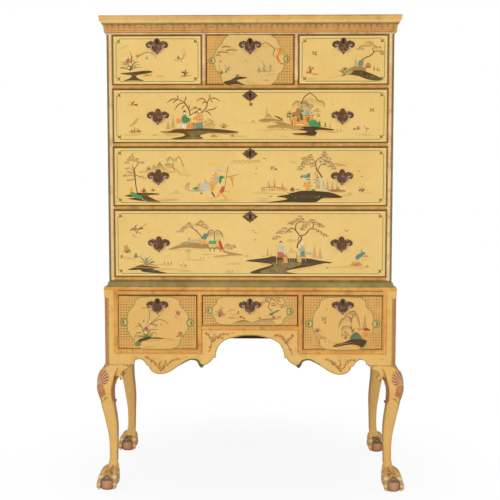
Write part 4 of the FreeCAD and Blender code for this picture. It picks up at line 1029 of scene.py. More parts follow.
def hill(p, x, z, width, height, colour=SOFT_BROWN, cover=0.7):
    """A far peaked hill with fine lines down its flanks."""
    p.patch([(x - width / 2, z), (x - width * 0.14, z + height * 0.55), (x, z + height),
        (x + width * 0.15, z + height * 0.5), (x + width / 2, z)], colour, cover, 0.15)
    for k in range(5):
        t = (k - 2) / 2
        p.stroke([(x, z + height * 0.95), (x + t * width * 0.18, z + height * 0.45),
            (x + t * width * 0.4, z + 1)], 0.6, BROWN, 0.5, (0.5, 0.2), 4)


def cloud(p, x, z, width, colour, cover, curls):
    """A long scrolled cloud in outline."""
    points = [(x - width / 2, z)]
    for k in range(curls):
        a = x - width / 2 + width * (k + 0.5) / curls
        points += [(a - width * 0.06, z + width * 0.07), (a + width * 0.03, z + width * 0.13),
            (a + width * 0.08, z + width * 0.05)]
    points.append((x + width / 2, z - 0.5))
    p.stroke(points, 0.9, colour, cover, (0.4, 0.4), 4)
    p.stroke([(x - width * 0.6, z - 1.5), (x, z - 2.2), (x + width * 0.66, z - 1.2)], 0.9, colour, cover * 0.8,
        (0.1, 0.1), 4)


# Buildings, boats and figures ----------------------------------------------------------------------

def roof(p, x, z, width, height, colour):
    """A roof with turned-up eaves."""
    half = width / 2
    p.patch([(x - half, z + height * 0.16), (x - half * 0.82, z + height * 0.2),
        (x - half * 0.42, z + height * 0.55), (x - half * 0.3, z + height), (x + half * 0.3, z + height),
        (x + half * 0.42, z + height * 0.55), (x + half * 0.82, z + height * 0.2),
        (x + half, z + height * 0.16), (x + half * 0.8, z), (x - half * 0.8, z)], colour)
    for k in range(6):
        t = (k - 2.5) / 2.5
        p.stroke([(x + t * half * 0.28, z + height * 0.95), (x + t * half * 0.45, z + height * 0.5),
            (x + t * half * 0.8, z + 0.3)], 0.6, BROWN, 0.6, (0.6, 0.4), 3)
    p.stroke([(x - half, z + height * 0.2), (x - half * 0.75, z), (x + half * 0.75, z),
        (x + half, z + height * 0.2)], 0.8, BROWN, 0.85, (0.6, 0.6), 3)


def hut(p, x, z, width, height, wall, top):
    """A pavilion: posts, wall, door and roof."""
    half = width * 0.36
    p.patch([(x - half, z), (x + half, z), (x + half, z + height * 0.55), (x - half, z + height * 0.55)], wall,
            0.9)
    p.patch([(x - half * 0.25, z), (x + half * 0.3, z), (x + half * 0.3, z + height * 0.4),
        (x - half * 0.25, z + height * 0.4)], BROWN, 0.75)
    for k in range(4):
        a = x - half + 2 * half * k / 3
        p.line([(a, z), (a, z + height * 0.56)], 0.8, RUSTY, 0.9, smooth=False)
    p.line([(x - half, z + height * 0.2), (x + half, z + height * 0.2)], 0.6, BROWN, 0.7, smooth=False)
    roof(p, x, z + height * 0.5, width, height * 0.5, top)


def spire(p, x, z, height, colour, cover, tiers=4):
    """A far pagoda."""
    p.stroke([(x, z), (x, z + height)], 0.8, colour, cover, (1, 0.3), 2)
    for k in range(tiers):
        wide = height * 0.15 * (1 - k / (tiers + 1))
        up = z + height * 0.75 * k / tiers
        p.patch([(x - wide * 0.6, up), (x + wide * 0.6, up), (x + wide * 0.5, up + height * 0.1),
            (x - wide * 0.5, up + height * 0.1)], colour, cover * 0.8)
        p.stroke([(x - wide * 1.2, up + height * 0.1), (x, up + height * 0.16),
            (x + wide * 1.2, up + height * 0.1)], 0.9, colour, cover, (0.3, 0.3), 3)


def fence(p, start, end, posts, height, colour):
    """A low bridge or fence with posts."""
    rise = (end[1] - start[1]) / (end[0] - start[0])
    for level in (0.35, 0.95):
        p.line([(start[0], start[1] + height * level), (end[0], end[1] + height * level)], 0.8, colour, 0.85,
               smooth=False)
    for k in range(posts):
        x = start[0] + (end[0] - start[0]) * k / (posts - 1)
        z = start[1] + rise * (x - start[0])
        p.line([(x, z), (x, z + height)], 0.8, colour, 0.85, smooth=False)


def boat(p, x, z, length, colour=TEAL):
    """A flat boat with upturned ends."""
    half = length / 2
    p.patch([(x - half, z + 3.2), (x - half * 0.6, z + 0.6), (x, z), (x + half * 0.6, z + 0.8),
        (x + half, z + 4.4), (x + half * 0.62, z + 3.4), (x, z + 2.8), (x - half * 0.66, z + 3.0)], colour)
    p.stroke([(x - half, z + 3.4), (x, z + 3.0), (x + half, z + 4.6)], 0.8, GOLD, 0.9, (0.5, 0.5), 4)


def figure(p, x, z, h, robe, skirt, side, hat=(112, 96, 48), arm=True):
    """A small robed figure of height h with a plain pale face."""
    p.patch([(x - h * 0.17, z), (x + h * 0.19, z), (x + h * 0.14, z + h * 0.30), (x + h * 0.10, z + h * 0.52),
        (x - h * 0.10, z + h * 0.52), (x - h * 0.14, z + h * 0.28)], skirt)
    p.blob([(x - h * 0.13, z + h * 0.34), (x - h * 0.02, z + h * 0.30), (x + h * 0.13, z + h * 0.36),
            (x + h * 0.15, z + h * 0.62), (x + h * 0.06, z + h * 0.76), (x - h * 0.06, z + h * 0.76),
            (x - h * 0.15, z + h * 0.60)], robe, steps=3)
    if arm:
        p.patch([(x + side * h * 0.04, z + h * 0.68), (x + side * h * 0.20, z + h * 0.60),
            (x + side * h * 0.33, z + h * 0.56), (x + side * h * 0.30, z + h * 0.42),
            (x + side * h * 0.15, z + h * 0.48)], robe, 0.95)
        p.stroke([(x + side * h * 0.05, z + h * 0.66), (x + side * h * 0.2, z + h * 0.5),
            (x + side * h * 0.31, z + h * 0.45)], 0.5, INK, 0.6, (0.5, 0.3), 3)
    p.stroke([(x - h * 0.02, z + h * 0.74), (x + h * 0.02, z + h * 0.5), (x - h * 0.02, z + h * 0.05)], 0.5,
        INK, 0.55, (0.4, 0.3), 3)
    p.stroke([(x - h * 0.12, z + h * 0.38), (x + h * 0.12, z + h * 0.40)], 0.8, WHITE, 0.8, (0.5, 0.5), 2)
    for side_line in ([(x - h * 0.06, z + h * 0.75), (x - h * 0.155, z + h * 0.60),
            (x - h * 0.13, z + h * 0.34), (x - h * 0.17, z)], [(x + h * 0.06, z + h * 0.75),
            (x + h * 0.155, z + h * 0.60), (x + h * 0.13, z + h * 0.36), (x + h * 0.19, z)]):
        p.stroke(side_line, 0.3, INK, 0.5, (0.8, 0.6), 3)
    for fold in (-0.07, 0.05, 0.11):
        p.stroke([(x + h * fold * 0.6, z + h * 0.32), (x + h * fold * 1.2, z + h * 0.03)], 0.2, BROWN, 0.42,
            (0.6, 0.4), 2)
    p.dot(x, z + h * 0.86, h * 0.085, (150, 138, 110), 1.0, 8)
    p.dot(x, z + h * 0.855, h * 0.058, WHITE, 1.0, 8)
    p.patch([(x - h * 0.10, z + h * 0.89), (x + h * 0.10, z + h * 0.89), (x + h * 0.05, z + h * 1.0),
        (x - h * 0.05, z + h * 1.0)], hat, 0.95)
    p.stroke([(x - h * 0.16, z), (x - h * 0.15, z + h * 0.3)], 0.5, INK, 0.5, (0.5, 0.5), 2)
    p.stroke([(x + h * 0.18, z), (x + h * 0.13, z + h * 0.32)], 0.5, INK, 0.5, (0.5, 0.5), 2)


def chair(p, x, z, h, side, colour):
    """A high-backed chair of height h from the side."""
    p.line([(x, z), (x - side * h * 0.03, z + h)], 1.3, colour, 0.95, smooth=False)
    p.line([(x + side * h * 0.34, z), (x + side * h * 0.34, z + h * 0.36)], 1.2, colour, 0.95, smooth=False)
    p.line([(x, z + h * 0.36), (x + side * h * 0.36, z + h * 0.36)], 1.4, colour, 0.95, smooth=False)
    p.line([(x, z + h * 0.16), (x + side * h * 0.34, z + h * 0.16)], 0.8, colour, 0.9, smooth=False)
    p.stroke([(x - side * h * 0.12, z + h * 1.02), (x + side * h * 0.02, z + h * 0.96),
        (x + side * h * 0.1, z + h)], 1.2, colour, 0.95, (0.4, 0.4), 3)


def table(p, x, z, width, height, top=GOLD, legs=WHITE):
    """A low table with a fretted apron."""
    half = width / 2
    p.patch([(x - half, z + height), (x + half, z + height), (x + half * 0.94, z + height - 2.0),
        (x - half * 0.94, z + height - 2.0)], top)
    p.line([(x - half, z + height), (x + half, z + height)], 1.0, JADE, 0.9, smooth=False)
    for k in range(5):
        a = x - half * 0.85 + half * 1.7 * k / 4
        p.line([(a, z), (a, z + height - 2)], 0.8, legs, 0.9, smooth=False)
    p.line([(x - half * 0.85, z + height * 0.5), (x + half * 0.85, z + height * 0.5)], 0.8, legs, 0.9,
           smooth=False)


def flying_bird(p, x, z, size, colours=(GOLD, RED), side=1):
    """A bird in flight with spread wings and a forked tail."""
    p.leaf(x - side * size * 0.25, z, size * 0.7, 0 if side > 0 else 180, size * 0.22, colours[0])
    p.stroke([(x, z), (x - side * size * 0.1, z + size * 0.3), (x - side * size * 0.35, z + size * 0.5)],
        size * 0.16, colours[1], 0.95, (0.9, 0.1), 4)
    p.stroke([(x, z), (x + side * size * 0.15, z + size * 0.28), (x + side * size * 0.05, z + size * 0.55)],
        size * 0.15, colours[0], 0.95, (0.9, 0.1), 4)
    for bend in (-0.2, 0.12):
        p.stroke([(x - side * size * 0.2, z), (x - side * size * 0.55, z + bend * size * 0.4),
            (x - side * size * 0.85, z + bend * size)], size * 0.08, INK, 0.8, (0.7, 0.1), 4)
    p.stroke([(x + side * size * 0.42, z), (x + side * size * 0.58, z + 0.3)], 0.6, INK, 0.9, (0.9, 0.2), 2)


def far_bird(p, x, z, size, colour=INK):
    """Two curved strokes far off."""
    p.stroke([(x - size, z + size * 0.5), (x - size * 0.4, z + size * 0.4), (x, z)], 0.9, colour, 0.8,
        (0.2, 0.9), 3)
    p.stroke([(x, z), (x + size * 0.4, z + size * 0.45), (x + size, z + size * 0.6)], 0.9, colour, 0.8,
        (0.9, 0.2), 3)


def standing_bird(p, x, z, h, body_colour, wing, side):
    """A wading bird of height h on thin legs."""
    p.line([(x, z), (x, z + h * 0.4)], 0.5, INK, 0.8, smooth=False)
    p.line([(x + side * h * 0.1, z), (x + side * h * 0.06, z + h * 0.4)], 0.5, INK, 0.8, smooth=False)
    p.leaf(x - side * h * 0.32, z + h * 0.48, h * 0.66, 12 if side > 0 else 168, h * 0.3, body_colour)
    p.leaf(x - side * h * 0.42, z + h * 0.5, h * 0.5, 8 if side > 0 else 172, h * 0.18, wing)
    p.stroke([(x + side * h * 0.2, z + h * 0.55), (x + side * h * 0.34, z + h * 0.78),
        (x + side * h * 0.30, z + h * 0.96)], h * 0.1, body_colour, 0.95, (0.9, 0.6), 4)
    p.stroke([(x + side * h * 0.3, z + h * 0.96), (x + side * h * 0.5, z + h * 0.9)], 0.6, INK, 0.9, (0.9, 0.2),
        2)


def bee(p, x, z, size, body_colour, wing):
    """A bee or moth with four wings."""
    for angle in (35, 145, 215, 325):
        p.leaf(x, z, size * 0.6, angle, size * 0.3, wing, 0.85)
    p.leaf(x - size * 0.35, z - size * 0.1, size * 0.7, 15, size * 0.2, body_colour)


# The painted fronts --------------------------------------------------------------------------------

def field_border(p, half_x, half_z):
    """Cream band and green lines round a plain front, stepped in at the corners with a sprig in each."""
    for inset, width, colour, cover in ((1.3, 1.6, (120, 92, 38), 0.8), (4.6, 4.4, (230, 204, 136), 0.62)):
        x, z = half_x - inset, half_z - inset
        p.line([(-x, -z), (x, -z), (x, z), (-x, z)], width, colour, cover, closed=True, smooth=False)
    x, z, notch = half_x - 10.0, half_z - 10.0, 12.0
    ring = []
    for sx, sz in ((-1, -1), (1, -1), (1, 1), (-1, 1)):
        bend = [(sx * x, sz * (z - notch)), (sx * (x - notch * 0.84), sz * (z - notch)),
                (sx * (x - notch), sz * (z - notch * 0.84)), (sx * (x - notch), sz * z)]
        ring += bend if sx * sz > 0 else bend[::-1]
    p.line(ring, 1.9, GREEN_LINE, 1.0, closed=True, smooth=False)
    for sx in (-1, 1):
        for sz in (-1, 1):
            cx, cz = sx * (x - notch * 0.62), sz * (z - notch * 0.62)
            way = math.degrees(math.atan2(-sz, -sx))
            for turn in (-74, 0, 74):
                p.leaf(cx, cz, 8.6 if turn else 11.0, way + turn, 5.0, (120, 114, 50), 1.0)
            p.leaf(cx, cz, 7.0, way + 180, 3.6, (134, 128, 62), 1.0)
            p.dot(cx, cz, 1.8, (150, 146, 66), 1.0, 6)


def cartouche(p, outline, ground=(218, 180, 108)):
    """A cream panel with a cusped green outline; the outline is a ring of arcs between cusps."""
    ring = []
    for arc in outline:
        ring += smooth_line(arc, 4)[:-1]
    p.patch(ring, ground, 1.0)
    p.line(ring, 2.1, (128, 134, 66), 1.0, closed=True, smooth=False)
    p.line([(x * 0.97, z * 0.97) for x, z in ring], 0.7, (196, 176, 104), 0.8, closed=True, smooth=False)


def medallion(p, x, z, radius, side):
    """A small cusped roundel with a leaf, at the side of a cartouche."""
    for k in range(8):
        a = math.tau * k / 8
        p.dot(x + radius * 0.74 * math.cos(a), z + radius * 0.74 * math.sin(a), radius * 0.38, (118, 122, 56),
              0.95, 8)
    p.dot(x, z, radius * 0.80, (196, 160, 84), 0.95, 12)
    p.dot(x, z, radius * 0.44, (226, 200, 124), 0.95, 12)
    for turn in (-48, 0, 48):
        p.leaf(x - side * radius * 0.5, z, radius * 0.95, turn if side > 0 else 180 + turn, radius * 0.36,
               (84, 112, 52), 1.0)


def keyhole_shade_patch(p, z):
    """Painted shade: a black patch on the front behind a keyhole, seen through its plate as the dark inside of
    the hole.
    """
    half, below = 5.4, 13.0
    p.patch([(-half, z + half), (-half, z - below), (half, z - below), (half, z + half)], (10, 7, 5), 1.6)


def keyhole_shade_ring(p):
    """Painted shade round a keyhole, on its plate, widening its dark; the painting's middle is the middle of
    its round.
    """
    radius, slot, length = 3.9, 2.3, 13.2
    low = math.degrees(math.asin(slot / radius))
    arc = [(radius * math.sin(math.radians(a)), radius * math.cos(math.radians(a)))
           for a in (-180 + low, -140, -100, -60, -20, 20, 60, 100, 140, 180 - low)]
    p.line([(-slot, -length), *arc, (slot, -length)], 1.5, (12, 8, 5), 1.6, closed=True, smooth=False)


def paint_short_left(p):
    """The left short drawer: flowers and grasses on an island, and a lone plant."""
    grass(p, -94.2, -36.2, 62, 13, (BROWN, SOFT_BROWN, EARTH), 62, 1.0)
    grass(p, -99.4, -32.7, 40, 9, (EARTH, LEAF, BROWN), 82, 1.0)
    p.stroke(at(-92.3, -29.2, -87.7, 9.4, -97, 33.8), 1.2, BROWN, 0.9, (0.9, 0.1))
    p.stroke(at(-72.5, 2.4, -56.3, 20.5, -27.8, 38), 0.9, EARTH, 0.9, (0.8, 0.2))
    p.stroke(at(-59.9, 15.7, -31.5, 26.8, -10.3, 19.1, -1.2, 3.1), 1.3, BROWN, 0.85, (0.8, 0.1))
    p.stroke(at(-132.4, 37.3, -114.6, 44.3, -95, 53), 1.0, EARTH, 0.5, (0.2, 0.1))
    for x, z, angle in ((-84.2, -4.6, 40), (-113.6, -25.7, 160), (-78.8, -26.4, 60), (-38.7, 12.9, -70),
            (-35.9, 9.4, -60)):
        p.leaf(x, z, 8.5, angle, 4.2, TEAL, 0.9)
    flower(p, -102, -1.8, 9.0, ROSE, (196, 84, 74), 7)
    flower(p, -109.7, 5.2, 5.0, WHITE, GOLD, 5)
    flower(p, -67, 14.3, 6.5, ROSE, GOLD, 6)
    flower(p, -105.7, -17.3, 5.5, GOLD, WHITE, 6)
    flower(p, -91.4, -13.8, 5.0, (224, 176, 90), WHITE, 5)
    flower(p, -99.4, -26.4, 4.6, WHITE, GOLD, 5)
    island(p, at(-128.7, -45.7, -99.5, -42.1, -64, -38.3, -32, -35.8, -15.4, -40.4, -33.9, -45.7, -60.5, -49.5,
        -74.1, -54.8, -63.5, -63.6, -47.2, -70.9, -82.1, -69.9, -116.5, -70.6, -96.2, -62.1, -89.7, -52.3,
        -110.3, -49.5), (92, 64, 14), 0.95, 24)
    island(p, at(-74.7, -40.4, -49.8, -36.9, -17.8, -39, -39.2, -43.9, -64.1, -45.3), (66, 48, 8), 0.9, 4)
    bush(p, -32.2, -55.1, 30, 7, (BROWN, GOLD, ROSE), 14, 1.2)
    hatches(p, (-49.9, -48.8), (-17.9, -46.7), 9, BROWN, 4)
    ripples(p, 6.9, -54.4, 46, 3)
    p.stroke(at(80, -4.6, 91.8, 12.9, 89.8, 28.6, 92, 43.6), 1.8, GOLD, 0.9, (0.9, 0.1))
    p.stroke(at(81.8, -4.6, 96.1, 19.1, 97.7, 38), 1.2, EARTH, 0.85, (0.9, 0.1))
    p.stroke(at(85.4, 0.6, 101.4, 12.9, 105, 23.3), 1.2, GOLD, 0.8, (0.9, 0.1))
    p.leaf(67.7, 2.4, 18, 8, 8, GOLD)
    p.leaf(81.1, 3.4, 17, 128, 5.5, JADE)
    p.leaf(79, 2.4, 14, 145, 4.5, TEAL)
    p.dot(83.9, -4.6, 3.2, GREY)
    p.stroke(at(60.6, 2.4, 67.6, -2.9, 74.7, -1.8), 1.0, BROWN, 0.8, (0.3, 0.3))
    grass(p, 98.5, -55.1, 28, 7, (BROWN, SOFT_BROWN), 40, 2.0)
    grass(p, 98.5, -55.8, 26, 6, (BROWN, EARTH), 88, 1.5)
    ripples(p, 88.6, -57.9, 34, 2)


CENTRE_OVAL_LEFT = [[(-72.5, 86.9), (-88.9, 73.6), (-97.4, 56.2)],
    [(-97.4, 56.2), (-115.9, 37.3), (-125.9, 2.4), (-120.3, -30.6), (-101.2, -55.1)],
    [(-101.2, -55.1), (-99.1, -69.9), (-87.8, -86)]]
CENTRE_OVAL_RIGHT = [[(71.5, -87.4), (92.1, -69.9), (98.4, -50.9)],
    [(98.4, -50.9), (114.7, -32.7), (121.7, 2.4), (114.5, 33.8), (98.2, 56.5)],
    [(98.2, 56.5), (91.7, 72.2), (70.5, 85.5)]]


def paint_short_centre(p):
    """The centre short drawer: its cartouche, with an island and a boat between willows."""
    left, right = CENTRE_OVAL_LEFT, CENTRE_OVAL_RIGHT
    cartouche(p, [*left, [left[-1][-1], right[0][0]], *right, [right[-1][-1], left[0][0]]])
    medallion(p, -132.3, -2.2, 11.5, 1)
    for x, z, wide in ((-82.5, 44.3, 34), (-95, 26.1, 40), (-63.1, 33.1, 42), (-111, 15.7, 16)):
        p.stroke([(x - wide / 2, z - 2), (x - wide * 0.1, z + 2.5), (x + wide / 2, z - 0.5)], 6.5, EARTH, 0.75,
            (0.1, 0.1))
        p.stroke([(x - wide * 0.3, z + 2.6), (x, z + 5.2), (x + wide * 0.25, z + 1.6)], 3.5, PALE_EARTH, 0.8)
    for k in range(7):
        x, z = -68.4, 26.8
        p.stroke([(x - 8 + k * 3.4, z), (x - 7 + k * 3.2, z - 9), (x - 7.5 + k * 3.2, z - 17)], 0.6, SOFT_BROWN,
            0.6, fade=0.1)
    bee(p, -103.2, -4.6, 10, RED, SOFT_BROWN)
    p.stroke(at(-105.7, -13.4, -108.3, -32.7, -112.9, -46.7), 0.7, BROWN, 0.7)
    sprig(p, -82.7, -46.7, 28, 60, BROWN, (GREY, TEAL, BROWN), 6)
    sprig(p, -82.7, -46.7, 26, 95, BROWN, (GREY, BROWN), 5)
    bush(p, -77.4, -34.8, 20, 8, (GREY, TEAL, ROSE), 16, 1.4)
    grass(p, -100.5, -50.2, 20, 6, (BROWN,), 50)
    island(p, at(-92, -75.5, -68.6, -68.5, -53.6, -60.7, -43.7, -56.5, -8.9, -60.7, -29.5, -65.7, -46.5, -69.9,
        -34.8, -76.9, -18.8, -85.3, -50.8, -83.2, -79.3, -85.3), DARK_EARTH, 0.96, 20)
    grass(p, -43.7, -59.3, 16, 7, (EARTH, BROWN), 70, 1.4)
    far_bird(p, -14.5, -2.9, 3.0)
    far_bird(p, -11, -8.8, 2.4)
    ripples(p, -8.1, -72, 30, 3, LEAF, 0.35)
    medallion(p, 127.7, 2.4, 11.5, -1)
    trunk(p, at(34.4, 50.6, 53.9, 59, 74.1, 47.8, 84.7, 34.5, 80.5, 19.1, 87.6, 9.4), 1.8, BROWN)
    for k in range(9):
        x, z = 52.1, 54.8
        p.stroke([(x - 12 + k * 4.2, z - abs(k - 4) * 0.8), (x - 12 + k * 4.0, z - 11),
            (x - 11 + k * 3.8, z - 22)], 0.7, SOFT_BROWN, 0.6, fade=0.1)
    p.stroke(at(86.2, 36.6, 103.5, 38, 107.4, 26.8, 95.4, 12.9, 98.3, -1.1, 106.1, -10.2, 117.5, -15.9), 9.0,
        GOLD, 0.95, (0.3, 0.1))
    p.stroke(at(91.8, 28.9, 101.8, 31.7, 100.4, 23.3, 93.3, 12.9, 95.5, 0.3, 103.3, -9.5), 3.6, (214, 120, 56),
        0.9, (0.3, 0.2))
    for x, z, angle in ((94, 10.8, -60), (98.3, 1.7, -40), (106.1, -11.6, -20), (113.2, -14.5, 10),
            (103.9, 33.1, 80)):
        p.leaf(x, z, 8, angle, 3.6, RED, 0.9)
    p.stroke(at(106, 37.3, 111.7, 23.3, 108.9, 12.9), 0.9, SOFT_BROWN, 0.8)
    boat(p, 49.4, -40.4, 72, TEAL)
    for x, z, tall, robe, skirt in ((30.9, -45.3, 22, TEAL, GOLD), (48.7, -42.5, 26, GOLD, PALE_EARTH),
            (70.7, -34.1, 20, PALE_EARTH, GOLD)):
        figure(p, x, z, tall, robe, skirt, 1, BROWN)
    p.line(at(40.1, -1.8, 56.5, -34.8), 0.8, BROWN, 0.9, smooth=False)
    bush(p, 54, -32.7, 18, 6, (RED, GOLD, WHITE), 10, 1.4)
    ripples(p, 70, -50.2, 44, 4)
    hill(p, 56.5, -73.4, 24, 7)
    ripples(p, -4.6, -75.5, 60, 3, LEAF, 0.3)
    island(p, at(-22.4, -61.4, -16, -59.3, -8.9, -60.7, -16, -63.6), DARK_EARTH, 0.9, 0)


def paint_short_right(p):
    """The right short drawer: buildings on an island under pines, and plants at its left."""
    bee(p, -100, 23.3, 19, GOLD, (120, 122, 84))
    p.leaf(-98.2, 19.1, 9, -60, 4, TEAL)
    for x, z in at(-44.3, 19.1, -35.1, 24.7, -37.2, 15.7, -30.8, 11.5, -27.3, 15.7):
        p.stroke([(x, z), (x + 2.2, z + 1.8)], 1.0, BROWN, 0.85, (0.6, 0.3), 2)
    grass(p, -112.8, -39, 26, 10, (EARTH, GOLD, BROWN), 50, 1.2)
    bush(p, -118.4, -46.7, 22, 10, (RED, RED, ROSE, GOLD), 26, 1.8, 0.9)
    bush(p, -97.8, -51.6, 20, 5, (EARTH, BROWN), 12, 1.2)
    ripples(p, -115.5, -64.3, 40, 2)
    bank(p, at(-6.1, -55.1, 6.9, -39, 26.3, -27.1, 51.1, -22.2, 74.6, -27.1, 78.3, -38.3, 47.8, -46.7,
        15.8, -46.7), EARTH, 0.9, 0.55)
    island(p, at(-9, -57.2, 8.7, -48.1, 30.7, -38.3, 61.9, -36.2, 94.7, -46.7, 130.4, -63.6, 123.4, -71.3,
        87.8, -68.5, 52.1, -56.5, 19.4, -51.6), (92, 62, 12), 0.96, 26)
    island(p, at(47.7, -40.4, 76.2, -41.8, 105.4, -53.7, 129.7, -65, 119.1, -69.9, 87, -64.3, 65.6, -50.9),
        (62, 44, 8), 0.85, 10)
    p.blob(at(7, -50.2, 22.9, -40.4, 34.2, -39.7, 26.5, -46.7, 12.3, -52.3), TEAL, 0.5)
    spire(p, 43, -27.8, 38, EARTH, 0.8)
    spire(p, 65.1, -4.6, 18, SOFT_BROWN, 0.8, 3)
    p.patch(at(51.1, -19.4, 49.6, -10.2, 55.9, -1.1, 65.1, 0.3, 70.1, -6, 68.1, -20.8, 60.4, -23.6), TEAL, 0.95)
    p.patch(at(53.9, -17.3, 55.9, -6, 63.7, -4.6, 63.9, -18.7), (84, 116, 96), 0.7)
    hut(p, 85.3, -28.5, 24, 18, ROSE, PALE_EARTH)
    p.stroke(at(75.9, -20.8, 85.9, -18.7, 97.2, -20.8), 2.2, GOLD, 0.9)
    trunk(p, at(68, -1.8, 75, 6.6, 91.9, 12.9, 104.6, 26.1, 98, 38), 2.4, INK)
    trunk(p, at(104.6, 26.1, 118, 30.3, 136.6, 14.3), 1.6, INK)
    for x, z, wide in ((88, 54.1, 34), (75.3, 42.9, 42), (95.1, 44.3, 36), (57.7, 33.1, 30), (116.5, 36.6, 36),
            (128.7, 24, 34), (136.6, 15.7, 20)):
        needles(p, x, z, wide, 9, 22, (INK, BROWN, SOFT_BROWN, (150, 120, 96)))
    for x, z, tall in ((106.6, -36.9, 18), (118, -38.3, 15), (124.4, -40.4, 10)):
        fir(p, x, z, tall, EARTH)
    grass(p, -1.2, -46.7, 24, 8, (BROWN, EARTH, RUSTY), 55, 1.1)
    grass(p, 6.9, -36.2, 16, 6, (BROWN, RUSTY), 55, 1.1)
    for k in range(9):
        x, z = -51.5, -62.8
        p.dot(x + k * 5.2, z + (k * k) * 0.16, 1.2, BROWN, 0.8, 5, 0.6)
    ripples(p, 83.6, -75.5, 60, 2)


